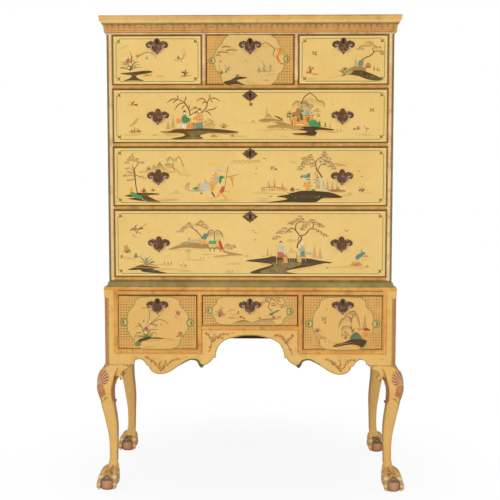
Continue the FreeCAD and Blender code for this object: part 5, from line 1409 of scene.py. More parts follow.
def paint_long_upper(p):
    """The upper long drawer: a landscape from the left end to the right."""
    flying_bird(p, -412.2, 39.2, 25, (GOLD, RED), -1)
    p.leaf(-416.4, 38.6, 9, 30, 5, RED, 0.95)
    for x, z in at(-409.9, -53.7, -401.8, -49.2, -394.6, -44.1, -414.7, -48, -404.9, -41.5):
        p.line([(x, z), (x, z - 9)], 1.4, RUSTY, 0.85, smooth=False)
        p.dot(x, z, 2.6, BROWN, 0.8, 6, 0.6)
    sprig(p, -421.1, -37.7, 38, 48, SOFT_BROWN, (SOFT_BROWN, BROWN), 8)
    bush(p, -405.1, -57.6, 40, 10, (BROWN, RUSTY, SOFT_BROWN), 30, 1.3)
    grass(p, -388.2, -55.7, 12, 6, (RUSTY,), 80, 1.2)
    ripples(p, -401.9, -63.4, 74, 3)
    hill(p, -334, -68.2, 28, 5)
    fir(p, -287.2, -47.3, 34, EARTH, 0.75, 6)
    fir(p, -269.7, -44.1, 46, EARTH, 0.75, 7)
    trunk(p, at(-209, 0.8, -214.4, 22.6, -229.1, 45.6, -251.6, 58.4), 3.0, RED_BARK)
    trunk(p, at(-213.1, 16.8, -200.8, 24.5, -184.6, 27.1), 1.6, RED_BARK)
    trunk(p, at(-211.3, 2.4, -195.1, 10.4, -175, 10.4), 2.0, RED_BARK)
    trunk(p, at(-170.2, 10.4, -153, 29.6, -149.1, 45.6, -141.9, 64.8), 3.0, RED_BARK)
    for path in (at(-251.6, 58.4, -271.6, 58.4, -292.7, 45), at(-250.7, 58.4, -262, 52.6, -271.1, 44.3),
            at(-251.6, 59, -252.2, 64.8, -254.8, 73.1), at(-229.1, 45.6, -249.2, 40.5, -264.8, 20),
            at(-229.1, 45, -225.8, 58.4, -223.2, 68.6), at(-226.6, 39.2, -235.7, 29.6, -237.6, 22.6),
            at(-214.4, 22.6, -213, 30.9, -213.7, 39.2), at(-184.6, 27.1, -191.1, 30.9, -200.8, 29.6),
            at(-141.9, 61.6, -123.2, 61.6, -103.9, 52), at(-142.5, 64.8, -139.3, 68, -141.9, 74.4),
            at(-142.6, 58.4, -136.1, 55.2, -131, 45), at(-149.7, 45.6, -168.4, 61.6, -189.4, 50.7),
            at(-149.7, 45, -160, 48.8, -166.5, 40.5), at(-155.6, 20, -129.8, 23.2, -113.6, 33.5),
            at(-158.9, 16.8, -145.9, 13.6, -135.7, 0.2), at(-165.3, 13.6, -184.7, 16.8, -197.6, 10.4)):
        p.stroke(path, 3.0, (124, 84, 50), 0.9, (0.3, 0.08))
    for x, z in at(-155.8, -24.8, -142.8, -18.4, -131.5, -24.8):
        needles(p, x, z, 16, 9, 18, (BROWN, RUSTY, SOFT_BROWN, PALE_EARTH))
    bank(p, at(-165.6, -41.5, -155.8, -28.1, -139.6, -22.9, -123.5, -28.1, -126.7, -41.5), SOFT_BROWN, 0.6, 0.2)
    for angle in (30, 60, 90, 120, 150, 20):
        x, z = -93.1, -41.5
        a = math.radians(angle)
        p.stroke([(x, z), (x + 20 * math.cos(a), z + 20 * math.sin(a))], 1.2, BROWN, 0.8, (0.9, 0.3), 2)
    bush(p, -93.1, -34.5, 20, 8, (BROWN, SOFT_BROWN, PALE_EARTH), 22, 1.4)
    bank(p, at(-217.3, -31.3, -201, -22.9, -184.9, -28.1, -181.7, -44.1, -217.3, -44.1), (128, 108, 72), 0.8,
        0.6)
    p.blob(at(-259.2, -10.7, -249.5, -7.5, -239.1, -12.7, -241.1, -22.9, -249.6, -29.3, -258, -22.9),
        (222, 150, 66), 0.95)
    for x, z in at(-252.2, -34.5, -241.2, -31.3, -233.5, -37.7):
        p.line([(x, z), (x - 1, z - 12)], 2.2, WHITE, 0.9, smooth=False)
    p.stroke(at(-254.5, -34.5, -243.1, -25.5, -230.2, -34.5), 2.2, WHITE, 0.9)
    figure(p, -229, -46, 66, JADE, WHITE, 1)
    p.blob(at(-235.9, -5.6, -223.6, -1.1, -210.1, -15.2, -217.2, -22.9, -226.9, -24.8, -234, -19.1),
        (56, 128, 82), 0.9)
    p.stroke(at(-230.7, -8.8, -223.6, -13.9, -213.3, -12.7), 0.8, INK, 0.6)
    p.blob(at(-223.7, -31.3, -215.6, -19.1, -204.3, -21.6, -201.1, -34.5, -204.4, -49.2, -222.5, -48.6),
        (222, 150, 66), 0.95)
    for k in range(3):
        x, z = -218.6, -34.5
        p.stroke([(x + k * 6, z + 8), (x + k * 6 + 2, z), (x + k * 6, z - 10)], 0.7, RUSTY, 0.7)
    figure(p, -176.6, -45.4, 73, (226, 160, 70), TEAL, -1)
    p.stroke(at(-182.3, -15.2, -175.1, -12.7, -166.7, -15.2), 2.4, (96, 146, 128), 0.9)
    island(p, at(-315.8, -55, -282.1, -51.2, -262, -42.8, -217.3, -45.4, -168.8, -42.2, -120.3, -44.7,
        -78.2, -48.6, -36.8, -56.3, -88, -59.5, -133.3, -58.2, -162.4, -62.7, -175.4, -69.2, -165.1, -78.2,
        -207.8, -79.5, -275.8, -79.5, -229.8, -68.5, -240.1, -59.5, -282.1, -58.2), (92, 64, 12), 0.97, 60)
    island(p, at(-223.8, -53.7, -172.1, -51.8, -120.3, -53.7, -165.6, -60.2, -181.9, -69.2, -175.4, -77.5,
        -230.5, -77.5, -207.7, -68.5), (66, 50, 8), 0.75, 20)
    hatches(p, (-139.7, -60.8), (-42.6, -59.5), 34, RUSTY, 5)
    hatches(p, (-301.6, -59.5), (-249.8, -60.2), 16, EARTH, 4)
    p.blob(at(-314.5, -53.7, -282.1, -49.9, -262.6, -41.5, -217.3, -42.8, -262.6, -46, -282.1, -52.5), GOLD,
        0.6)
    bush(p, -126.8, -73, 26, 8, (BROWN, RUSTY, SOFT_BROWN), 16, 1.2)
    bush(p, -62.1, -71.7, 16, 10, (BROWN, RUSTY), 14, 1.2)
    ripples(p, -275.7, -64.7, 50, 2)
    ripples(p, -29.7, -23.6, 40, 1)
    ripples(p, -26.5, -69.2, 60, 2)
    for angle in (20, 80, 140, 200, 260, 320):
        p.leaf(3.1, 40.5, 9, angle, 3.6, BROWN, 0.85)
    spire(p, 58.1, -2.4, 34, SOFT_BROWN, 0.7, 5)
    hill(p, 65.8, -12.7, 56, 22, (176, 136, 78))
    bank(p, at(28.3, -15.2, 50.3, -9.5, 82.6, -10.7, 112.4, -15.2, 112.4, -19.1, 79.4, -17.8, 56.8, -22.3,
        40.6, -20.4), EARTH, 0.9, 0.6, ((30.9, -19.1), (111.8, -19.1), 22, EARTH, 4))
    for x, z, long in ((94.3, -2.4, 22), (102, -6.9, 26), (107.2, -11.4, 18)):
        p.stroke([(x - long / 2, z + 3), (x, z), (x + long / 2, z - 4)], 2.4, HAZEL, 0.85, (0.4, 0.4),
            2)
    bank(p, at(62, -34.5, 89.2, -30.6, 95.6, -26.1, 79.4, -21.6, 108.5, -20.4, 140.9, -28.7, 186.2, -37,
        192.7, -47.3, 166.9, -50.5, 128, -42.8, 92.4, -40.9, 63.3, -42.2), (172, 132, 62), 0.95, 0.7,
        ((64.9, -42.8), (160.4, -48.6), 30, EARTH, 5))
    willow(p, (178.4, -28.1), (178.1, 45), 32, 34, 10, (118, 84, 54), 2.4)
    trunk(p, at(178.1, 42.4, 189, 64.8, 205, 76.9, 212.8, 78.2), 2.6, DARK_BARK)
    p.stroke(at(212.8, 78.2, 228.3, 64.8, 237.4, 52.6, 253.6, 48.8, 260.8, 36), 2.2, DARK_BARK, 0.9,
        (0.9, 0.2))
    for k in range(17):
        t = k / 16
        x0, z0 = 189.6, 58.4
        x1, z1 = 260.7, 40.5
        xm, zm = 217.9, 74.4
        x = (1 - t) ** 2 * x0 + 2 * t * (1 - t) * xm + t * t * x1
        z = (1 - t) ** 2 * z0 + 2 * t * (1 - t) * zm + t * t * z1
        p.stroke([(x, z), (x + 1, z - 11), (x - 0.5, z - 24)], 0.8, (136, 100, 62), 0.7, fade=0.08)
    p.stroke(at(178.1, 42.4, 192.3, 45, 202, 36, 205.3, 23.2), 1.8, DARK_BARK, 0.9, (0.9, 0.2))
    for k in range(7):
        x, z = 183.3, 39.2
        p.stroke([(x + k * 3.2, z), (x + k * 3.2, z - 10), (x + k * 3, z - 20)], 0.8, (136, 100, 62), 0.7,
            fade=0.1)
    leafy_branch(p, at(148, -31.3, 140.8, -12, 134.3, 0.8, 138.2, 10.4), 1.5, 4, 9)
    leafy_branch(p, at(148, -31.3, 150.5, -2.4, 153.7, 7.2), 1.2, 3, 8)
    trunk(p, at(218.5, -24.8, 217.1, 0.8, 215.7, 13.6), 2.0, DARK_BARK)
    for x, z in at(215.6, 29.6, 213.6, 35.4, 224.7, 13.6, 234.4, 20, 238.3, 13, 229.9, 15.5, 237.1, 2.1,
            239.1, -4.3, 208.5, 23.2):
        needles(p, x, z, 12, 6, 10, (BROWN, (134, 100, 78), SOFT_BROWN))
    hut(p, 168, -24.8, 36, 52, (224, 150, 62), (190, 120, 66))
    hut(p, 201.7, -22.9, 46, 48, (226, 154, 64), (196, 190, 150))
    p.patch(at(175.6, 11.7, 179.5, 21.3, 185.9, 22.6, 187.9, 13.6), TEAL, 0.95)
    p.patch(at(173.1, 7.2, 181.5, 9.1, 184.8, -12.7, 175.8, -13.9), (62, 92, 72), 0.92)
    p.patch(at(191.8, 0.8, 193.1, 10.4, 199.5, 16.8, 206, 10.4, 209.9, 0.8), (150, 152, 118), 0.9)
    p.blob(at(150.6, -34.5, 157, -22.9, 179.7, -20.4, 205.5, -22.3, 212.1, -33.2, 179.7, -36.4), (226, 154, 64),
        0.95)
    p.stroke(at(160.3, -31.9, 176.5, -29.3, 189.4, -33.2), 1.6, WHITE, 0.8)
    for k in range(5):
        x, z = 159, -28.1
        p.dot(x + k * 9, z + (k % 2) * 2, 1.4, RUSTY, 0.8)
    p.blob(at(201.7, -26.1, 213.3, -14.6, 224.9, -13.3, 235.9, -21, 248.3, -36.4, 225, -38.3, 208.8, -34.5),
        (70, 146, 86), 0.97)
    for k in range(4):
        x, z = 213.3, -21.6
        p.stroke([(x + k * 8, z + 2), (x + k * 8 + 4, z - 6), (x + k * 8 + 3, z - 13)], 0.8, (40, 104, 62), 0.7)
    island(p, at(180.4, -38.3, 205.6, -36.4, 231.5, -37, 257.4, -40.9, 291.1, -46.7, 287.2, -50.5, 247.7, -48,
        227, -51.2, 234.2, -58.2, 222, -69.2, 192.8, -66.6, 153.3, -64, 150.1, -60.8, 192.8, -58.2, 196, -52.5,
        170.7, -48, 189.5, -43.5), (74, 52, 8), 0.97, 30, ((154, -65.9), (231.7, -68.5), 26, GOLD, 5))
    hatches(p, (234.8, -51.8), (286.6, -51.2), 18, GOLD, 4)
    fir(p, 243.1, -34.5, 22, BROWN, 0.75, 4)
    fir(p, 262.5, -38.3, 20, BROWN, 0.75, 4)
    fir(p, 279.4, -40.2, 10, BROWN, 0.7, 3)
    bush(p, 109.9, -46.7, 18, 4, (BROWN, WHITE, RUSTY), 10, 1.2)
    hill(p, 11.5, -20.4, 20, 6)
    ripples(p, 18, -22.9, 60, 2)
    ripples(p, 56.8, -49.2, 60, 2)
    ripples(p, 121.6, -70.4, 40, 2)
    for x, z in at(304.4, -52.5, 316.4, -53.1):
        fir(p, x, z, 9, SOFT_BROWN, 0.7, 3)
    ripples(p, 296.3, -55.7, 60, 2)
    flying_bird(p, 375.8, -45.4, 20, (RED, GOLD), 1)
    p.leaf(373.9, -44.1, 9, 20, 5, (184, 60, 44), 0.95)
    standing_bird(p, 407, -56.3, 24, GOLD, TEAL, -1)
    ripples(p, 387, -64, 90, 3)
    bee(p, 424.3, 20, 17, GOLD, SOFT_BROWN)


def paint_long_middle(p):
    """The middle long drawer: a landscape from the left end to the right."""
    trunk(p, at(-396.8, -58.7, -402.4, -29.5, -404.7, -0.3, -407.1, 22.3, -416, 41.1), 3.0, (92, 62, 24))
    for path in (at(-407, 24.9, -395.8, 41.7, -382.8, 49.5), at(-404.6, 6.2, -391.7, 1, -382, -4.2),
            at(-406.5, 12.6, -419.3, 28.8, -432.4, 24.9), at(-404.7, -0.3, -419.6, 6.2, -435.2, -0.3),
            at(-403.5, -10, -416.5, -10.7, -427.6, -14.6), at(-403.4, 2.9, -413, 12.6, -425.3, 12.6)):
        trunk(p, path, 1.5, (92, 62, 24))
    for x, z, wide in ((-413.7, 74.7, 8), (-415.7, 65.6, 22), (-416.4, 57.9, 34), (-412.6, 52.1, 44),
            (-433.4, 44.3, 22), (-386.7, 45, 24), (-395.7, 58.5, 14), (-376.3, 46.3, 12), (-429.1, 24.9, 24),
            (-438.5, 0.3, 20), (-425.3, 13.3, 18), (-425.6, -15.8, 20), (-382, -4.2, 18), (-371, -10, 16),
            (-383.1, 12.6, 14)):
        needles(p, x, z, wide, 7, int(wide * 0.8) + 5, (BROWN, (140, 106, 84), SOFT_BROWN), 1.2, 0.7)
    grass(p, -374.7, -55.4, 18, 14, (RUSTY, BROWN, SOFT_BROWN), 75, 1.1)
    grass(p, -342.1, -52.2, 14, 9, (RUSTY, SOFT_BROWN), 65, 1.0)
    fir(p, -373.3, -52.2, 18, SOFT_BROWN)
    island(p, at(-441.8, -68.1, -404, -58.7, -381.2, -56.7, -329.1, -58.7, -320.1, -62.6, -358.5, -66.5,
        -343.6, -76.8, -315.7, -88.9, -365.2, -87.6, -429.5, -78.1, -404.1, -73.6), (84, 54, 10), 0.96, 36)
    island(p, at(-384.6, -71.6, -358.6, -81.4, -317.7, -88.6, -355.4, -88.6, -374.9, -84.6), (68, 58, 24), 0.85,
        4)
    p.blob(at(-424, -42.4, -416.8, -37.9, -413, -47, -418.2, -52.2, -424.7, -50.2), (226, 158, 60), 0.95)
    p.blob(at(-421.5, -54.8, -413.7, -52.8, -396.8, -62.6, -380.7, -70.4, -374.9, -78.8, -384.6, -78.8,
        -407.4, -72.3, -420.3, -65.2), (78, 146, 88), 0.97)
    p.stroke(at(-418.3, -58.7, -400.8, -67.8, -381.4, -76.8), 0.9, (44, 108, 66), 0.7)
    p.stroke(at(-380.1, -79.4, -373.6, -83.3, -369.1, -85.9), 1.6, GREY, 0.8)
    hatches(p, (-387.7, -63.9), (-322.7, -62.6), 22, GOLD, 4)
    ripples(p, -290.3, -81.4, 90, 4, EARTH, 0.4)
    bank(p, at(-388.3, 15.9, -364.2, 22.3, -341.4, 28.8, -328.5, 24.9, -263.6, 18.5, -263.6, 12.6, -328.6, 12.6,
        -374, 13.3), (176, 140, 70), 0.85, 0.3)
    hill(p, -317.5, 17.2, 84, 36, (170, 128, 66), 0.95)
    hill(p, -338.3, 19.1, 40, 24, (176, 140, 78), 0.7)
    for x, z in at(-362.2, 23, -356.4, 24.9, -353.1, 24.3):
        fir(p, x, z, 12, BROWN, 0.8, 3)
    p.patch(at(-302.4, 41.1, -293.3, 46.3, -277.7, 45, -275.8, 40.4, -295.9, 39.2), (140, 148, 86), 0.9)
    p.patch(at(-298.5, 39.2, -275.8, 40.4, -267.4, 29.5, -283, 28.2), STRAW, 0.9)
    for k in range(4):
        x, z = -294.6, 37.9
        p.line([(x + k * 5, z), (x + k * 5 + 2, z - 8)], 0.7, RUSTY, 0.8, smooth=False)
    trunk(p, at(-263.6, 21.7, -271.3, 36.6, -268.5, 54.7), 2.4, (128, 84, 58))
    for centre, left, right in (at(-282.7, 68.2, -293.2, 48.2, -268.5, 54.7),
            at(-248.3, 68.9, -262.7, 56.6, -234.3, 35.3)):
        p.stroke([left, centre, right], 1.8, (128, 92, 62), 0.9, (0.3, 0.6))
    for k in range(12):
        x, z = -294.4, 64.3
        p.stroke([(x + k * 2.3 + (k > 5) * 12, z + 1), (x + k * 2.3 + (k > 5) * 12, z - 9),
            (x + k * 2.2 + (k > 5) * 12, z - 20)], 0.8, (152, 126, 82), 0.7, fade=0.08)
    p.stroke(at(-235.5, 45, -231.7, 35.3, -232.4, 18.5), 1.0, SOFT_BROWN, 0.8, fade=0.2)
    for x, z in at(-266.1, 28.8, -258.3, 24.9, -253.8, 19.8, -250, 15.9):
        p.line([(x, z), (x + 2.5, z - 5)], 2.0, (170, 82, 60), 0.9, smooth=False)
    ripples(p, -244.2, 6.8, 90, 2)
    ripples(p, -231.1, 15.9, 50, 1)
    p.stroke(at(-213.1, -20.4, -223.6, -28.8, -225, -42.4, -212, -50.9), 5.2, (178, 152, 116), 0.95, (0.1, 0.5))
    p.stroke(at(-211.8, -21, -218.4, -32.7, -214.6, -44.4), 3.4, (214, 126, 70), 0.95, (0.1, 0.5))
    p.stroke(at(-223.7, -45.7, -199, -50.2, -159.9, -48.9, -127.4, -32.7, -112.4, -18.4), 4.4, GREY, 0.95,
        (0.4, 0.3))
    p.stroke(at(-208.7, -48.9, -166.4, -47.6, -133.9, -35.3, -114.3, -17.1), 1.4, (186, 94, 66), 0.9,
        (0.3, 0.3))
    p.blob(at(-202.8, -42.4, -192.4, -36.6, -184.6, -34, -178.8, -42.4, -189.2, -47), (66, 142, 88), 0.97)
    p.blob(at(-184.6, -27.5, -174.8, -22.3, -165.7, -26.2, -167.1, -42.4, -179.5, -48.3), (216, 158, 74), 0.95)
    p.blob(at(-174.1, -24.9, -156.6, -19.7, -137.1, -23, -133.9, -35.9, -153.4, -48.9, -172.9, -47),
        (190, 184, 154), 0.97)
    p.blob(at(-146.8, -23, -133.8, -13.3, -117.6, -19.7, -124.1, -32.7, -140.4, -35.9), (222, 160, 74), 0.95)
    p.blob(at(-137.1, -29.5, -124.1, -32.7, -128.7, -48.9, -137.2, -52.2), (218, 150, 66), 0.9)
    p.stroke(at(-160.4, -7.4, -154.6, -17.1, -150.1, -26.2), 1.2, (120, 116, 98), 0.9)
    p.blob(at(-130.5, -6.8, -117.5, -0.3, -107.8, -3.5, -109.1, -16.5, -124.1, -18.4), GREY, 0.95)
    p.blob(at(-133.7, 12.6, -124, 17.2, -113.6, 7.5, -120.8, -2.9, -127.3, -1.6), (226, 162, 66), 0.97)
    p.dot(-130.5, 12.6, 3.4, WHITE, 1.0, 8)
    p.leaf(-131.8, -4.2, 10, 200, 4, TEAL)
    p.blob(at(-108.4, -4.2, -104.5, 3.6, -88.9, -1.6, -98.7, -8.7, -102, -21, -107.8, -23.6), (56, 128, 80),
        0.97)
    for k, angle in enumerate((20, 45, 70, 95, 120)):
        p.leaf(-109, 13.9, 18 - abs(k - 2) * 2, angle, 5.5, (188, 182, 156), 0.9)
    p.stroke(at(-88.2, 17.2, -83.1, 15.9, -76.6, 20.4), 2.0, GREY, 0.8)
    p.line(at(-76.5, 37.9, -92.3, -53.5), 1.5, (134, 92, 60), 0.95, smooth=False)
    p.line(at(-86.3, -2.2, -40.8, 7.5), 1.3, (134, 92, 60), 0.95, smooth=False)
    p.patch(at(-75.3, -1.6, -56.4, 2.3, -58.4, -13.3, -61.1, -39.8, -64.9, -17.1, -71.4, -6.8), (222, 162, 72),
        0.95)
    p.stroke(at(-68.1, -0.9, -62.3, -19.7, -61.1, -39.2), 0.8, RUSTY, 0.8)
    p.patch(at(-98.1, -34, -90.3, -34.6, -91.6, -52.2, -100.8, -60.6, -107.9, -50.9), (190, 84, 62), 0.95)
    p.patch(at(-109.2, -52.2, -100.8, -58.7, -112.5, -72.9, -122.3, -75.5, -115.8, -65.2), (222, 156, 66), 0.95)
    p.patch(at(-97.5, -60, -88.4, -67.1, -78.7, -79.4, -86.5, -78.1, -98.2, -67.8), (222, 156, 66), 0.95)
    p.patch(at(-135.9, -52.8, -130.7, -54.8, -122.3, -70.4, -126.8, -71.6, -135.3, -60), (64, 84, 72), 0.9)
    ripples(p, -88.5, -83.3, 110, 4)
    hatches(p, (-150.3, -75.5), (-121, -76.8), 7, BROWN, -4)
    ripples(p, -251.1, -57.4, 60, 2)
    for x, z in at(-261.5, -54.8, -254.3, -54.1, -84.5, -54.1, -74.7, -55.4):
        fir(p, x, z, 7, BROWN, 0.8, 2)
    grass(p, -171.1, -61.9, 9, 5, (BROWN,), 60)
    cloud(p, -33, 49.5, 64, SOFT_BROWN, 0.75, 4)
    cloud(p, 18.1, 52.7, 40, SOFT_BROWN, 0.7, 3)
    far_bird(p, 50.5, 61.1, 6.0)
    for x, z in at(22, 32, 22.6, 24.9, 20, 8.8, 382.4, 17.2):
        far_bird(p, x, z, 4.2, (120, 90, 56))
    far_bird(p, 391.7, -0.9, 4.0)
    flying_bird(p, 79.1, 26.2, 20, ((214, 160, 84), (70, 142, 92)), -1)
    p.leaf(75.2, 23, 14, 95, 5, (70, 142, 92), 0.97)
    fence(p, (40.9, -52.2), (96.2, -50.9), 7, 14, (176, 96, 76))
    fence(p, (96.2, -49.6), (128.7, -52.2), 5, 9, (176, 96, 76))
    p.stroke(at(40.9, -42.4, 76.6, -35.9, 135.2, -45), 2.0, (150, 100, 66), 0.85, (0.4, 0.3))
    for x, z in at(43.5, -52.2, 78, -48.9, 119.6, -51.5):
        p.patch([(x - 4, z), (x + 4, z), (x + 4, z + 16), (x - 4, z + 16)], (190, 110, 84), 0.6)
    for x, z, tall in ((65.6, -39.8, 26), (86.4, -39.2, 32), (113.1, -42.4, 26)):
        spire(p, x, z, tall, SOFT_BROWN, 0.7, 5)
    hut(p, 148.9, -52.2, 20, 15, (196, 130, 96), (120, 84, 60))
    p.stroke(at(128.7, -56.1, 141.7, -58, 154.7, -55.4), 1.6, BROWN, 0.8)
    p.stroke(at(160.6, -47, 167.7, -44.4, 174.9, -47), 1.8, BROWN, 0.8)
    ripples(p, 70.2, -58, 150, 3)
    for x, z, wide in ((193.2, 64.3, 34), (190, 61.1, 26), (300.4, 43, 34), (319.9, 37.9, 40)):
        p.stroke([(x - wide / 2, z - 1), (x, z + 2), (x + wide / 2, z)], 4.4, (184, 148, 84), 0.8, (0.1, 0.1))
    ripples(p, 151.1, 51.4, 44, 3)
    p.patch(at(248.1, -3.5, 258.5, -5.5, 262.6, -29.5, 267.3, -52.2, 278.4, -67.8, 265.4, -64.5, 257.6, -67.1,
        246.5, -64.5, 254.2, -42.4, 250.8, -23), (206, 194, 158), 0.98)
    for path in (at(252, -8.7, 257.4, -32.7, 255.6, -58.7), at(255.9, -10, 261.9, -35.9, 270.6, -61.9)):
        p.stroke(path, 0.8, (140, 122, 92), 0.8)
    trunk(p, at(252.6, -4.2, 242.8, 13.3, 233, 26.2, 230.2, 51.4), 4.2, PALE_BARK)
    for path in (at(230.2, 50.1, 222.4, 57.9, 212.7, 59.2, 199.8, 46.3),
            at(230.2, 51.4, 240.6, 62.4, 252.9, 65.6, 261.2, 80.5), at(237.6, 21.7, 242.7, 33.3, 250.4, 48.2),
            at(252.9, 61.1, 274.4, 48.2, 290.8, 24.9), at(230.9, 45, 221.2, 48.2, 206.3, 38.5)):
        trunk(p, path, 2.0, PALE_BARK)
    for x, z, wide in ((211.3, 70.8, 14), (206.2, 64.3, 28), (199.7, 56, 36), (194.6, 47.6, 34),
            (190.1, 39.8, 30), (179.1, 31.4, 28), (173.9, 22.3, 26), (216.7, 42.4, 22), (222.6, 33.3, 20),
            (260.5, 81.8, 16), (259.9, 74, 26), (258.1, 65.6, 30), (273, 59.2, 24), (269.8, 50.1, 32),
            (276.4, 42.4, 34), (261.5, 39.2, 20), (285.5, 33.3, 28), (293.4, 24.9, 18), (245.8, 48.8, 16)):
        needles(p, x, z, wide, 7, int(wide * 0.7) + 4, ((118, 88, 58), (136, 110, 100), BROWN, (160, 132, 110)),
            1.6, 0.85)
    p.line(at(209.7, 13.9, 210.5, -26.2), 1.0, INK, 0.9, smooth=False)
    p.patch(at(209.7, 12.6, 200, 8.8, 190.2, 4.2, 179.2, 4.2, 175.3, -5.5, 187, -2.9, 197.4, -5.5, 209.1, -2.2),
        (74, 130, 118), 0.97)
    p.stroke(at(205.2, 7.5, 193.5, 1.6, 181.2, -1.6), 1.2, GREY, 0.7)
    p.blob(at(225.9, 15.9, 232.4, 19.1, 240.2, 9.4, 237.7, -0.3, 228.6, -4.2, 224.7, 6.2), (214, 166, 92), 0.9)
    figure(p, 237.9, -42.4, 42, (188, 178, 142), (216, 160, 76), -1, PALE_BARK)
    p.stroke(at(221.5, -13.3, 231.2, -8.7, 239.1, -13.3), 2.4, (136, 118, 88), 0.9)
    figure(p, 202.9, -55.4, 48, (226, 162, 74), (220, 156, 70), -1)
    figure(p, 191.7, -35.9, 16, (72, 60, 28), (72, 60, 28), -1, INK, False)
    p.blob(at(187.1, -29.5, 195.6, -26.2, 213.8, -27.5, 217.1, -34.6, 203.5, -41.1, 190.4, -37.9),
        (226, 162, 74), 0.95)
    p.stroke(at(193.7, -32.7, 206.7, -31.4, 214.5, -35.3), 0.8, RUSTY, 0.7)
    p.blob(at(214.6, -52.2, 215.8, -45.7, 223, -43.1, 228.9, -47.6, 228.2, -56.1, 221.1, -58.7), (66, 138, 82),
        0.97)
    for x, z, tall in ((272.4, -47.6, 38), (288.7, -47.6, 32), (304.3, -47, 20), (310.1, -46.3, 14)):
        fir(p, x, z, tall, (150, 116, 80), 0.75, 5)
    bank(p, at(273.7, -47.6, 304.3, -43.7, 333.6, -48.9, 333, -52.8, 291.3, -54.1), (150, 104, 64), 0.9, 0.7,
        ((291.3, -54.1), (330.4, -52.8), 14, GOLD, 5))
    island(p, at(92.3, -69.1, 128.7, -63.2, 154.7, -55.4, 180.7, -49.6, 226.3, -50.2, 255.5, -52.2,
        284.8, -56.1, 324, -70.4, 311, -74.9, 258.9, -75.5, 239.5, -84.6, 223.2, -89.9, 128.8, -89.2,
        54.6, -91.2, 96.2, -85.3, 130.1, -79.4, 119.7, -74.2), (66, 48, 8), 0.98, 80,
        ((259, -76.8), (320.8, -73.6), 20, GOLD, 6))
    ripples(p, 44.2, -84.6, 80, 3)
    ripples(p, 50.7, -75.5, 60, 2)
    bush(p, 72.1, -71.6, 12, 5, (BROWN, GREY), 8, 1.0)
    ripples(p, 350, -65.2, 60, 3)
    hill(p, 350, -61.3, 20, 5)
    for angle in (50, 75, 100, 125, 20, 160):
        x, z = 392.8, -52.2
        a = math.radians(angle)
        p.stroke([(x, z), (x + 18 * math.cos(a), z + 20 * math.sin(a))], 1.1, BROWN, 0.8, (0.9, 0.2), 2)
    p.leaf(381.1, -52.2, 15, 50, 6, (60, 118, 76), 0.95)
    p.dot(396.6, -45.7, 4.2, RED, 0.95, 7)
    p.dot(393.4, -43.7, 2.6, (222, 140, 60), 0.95, 6)
    p.stroke(at(405.1, -45.7, 412.9, -46.3), 1.5, BROWN, 0.8)
    ripples(p, 402, -57.4, 60, 3)


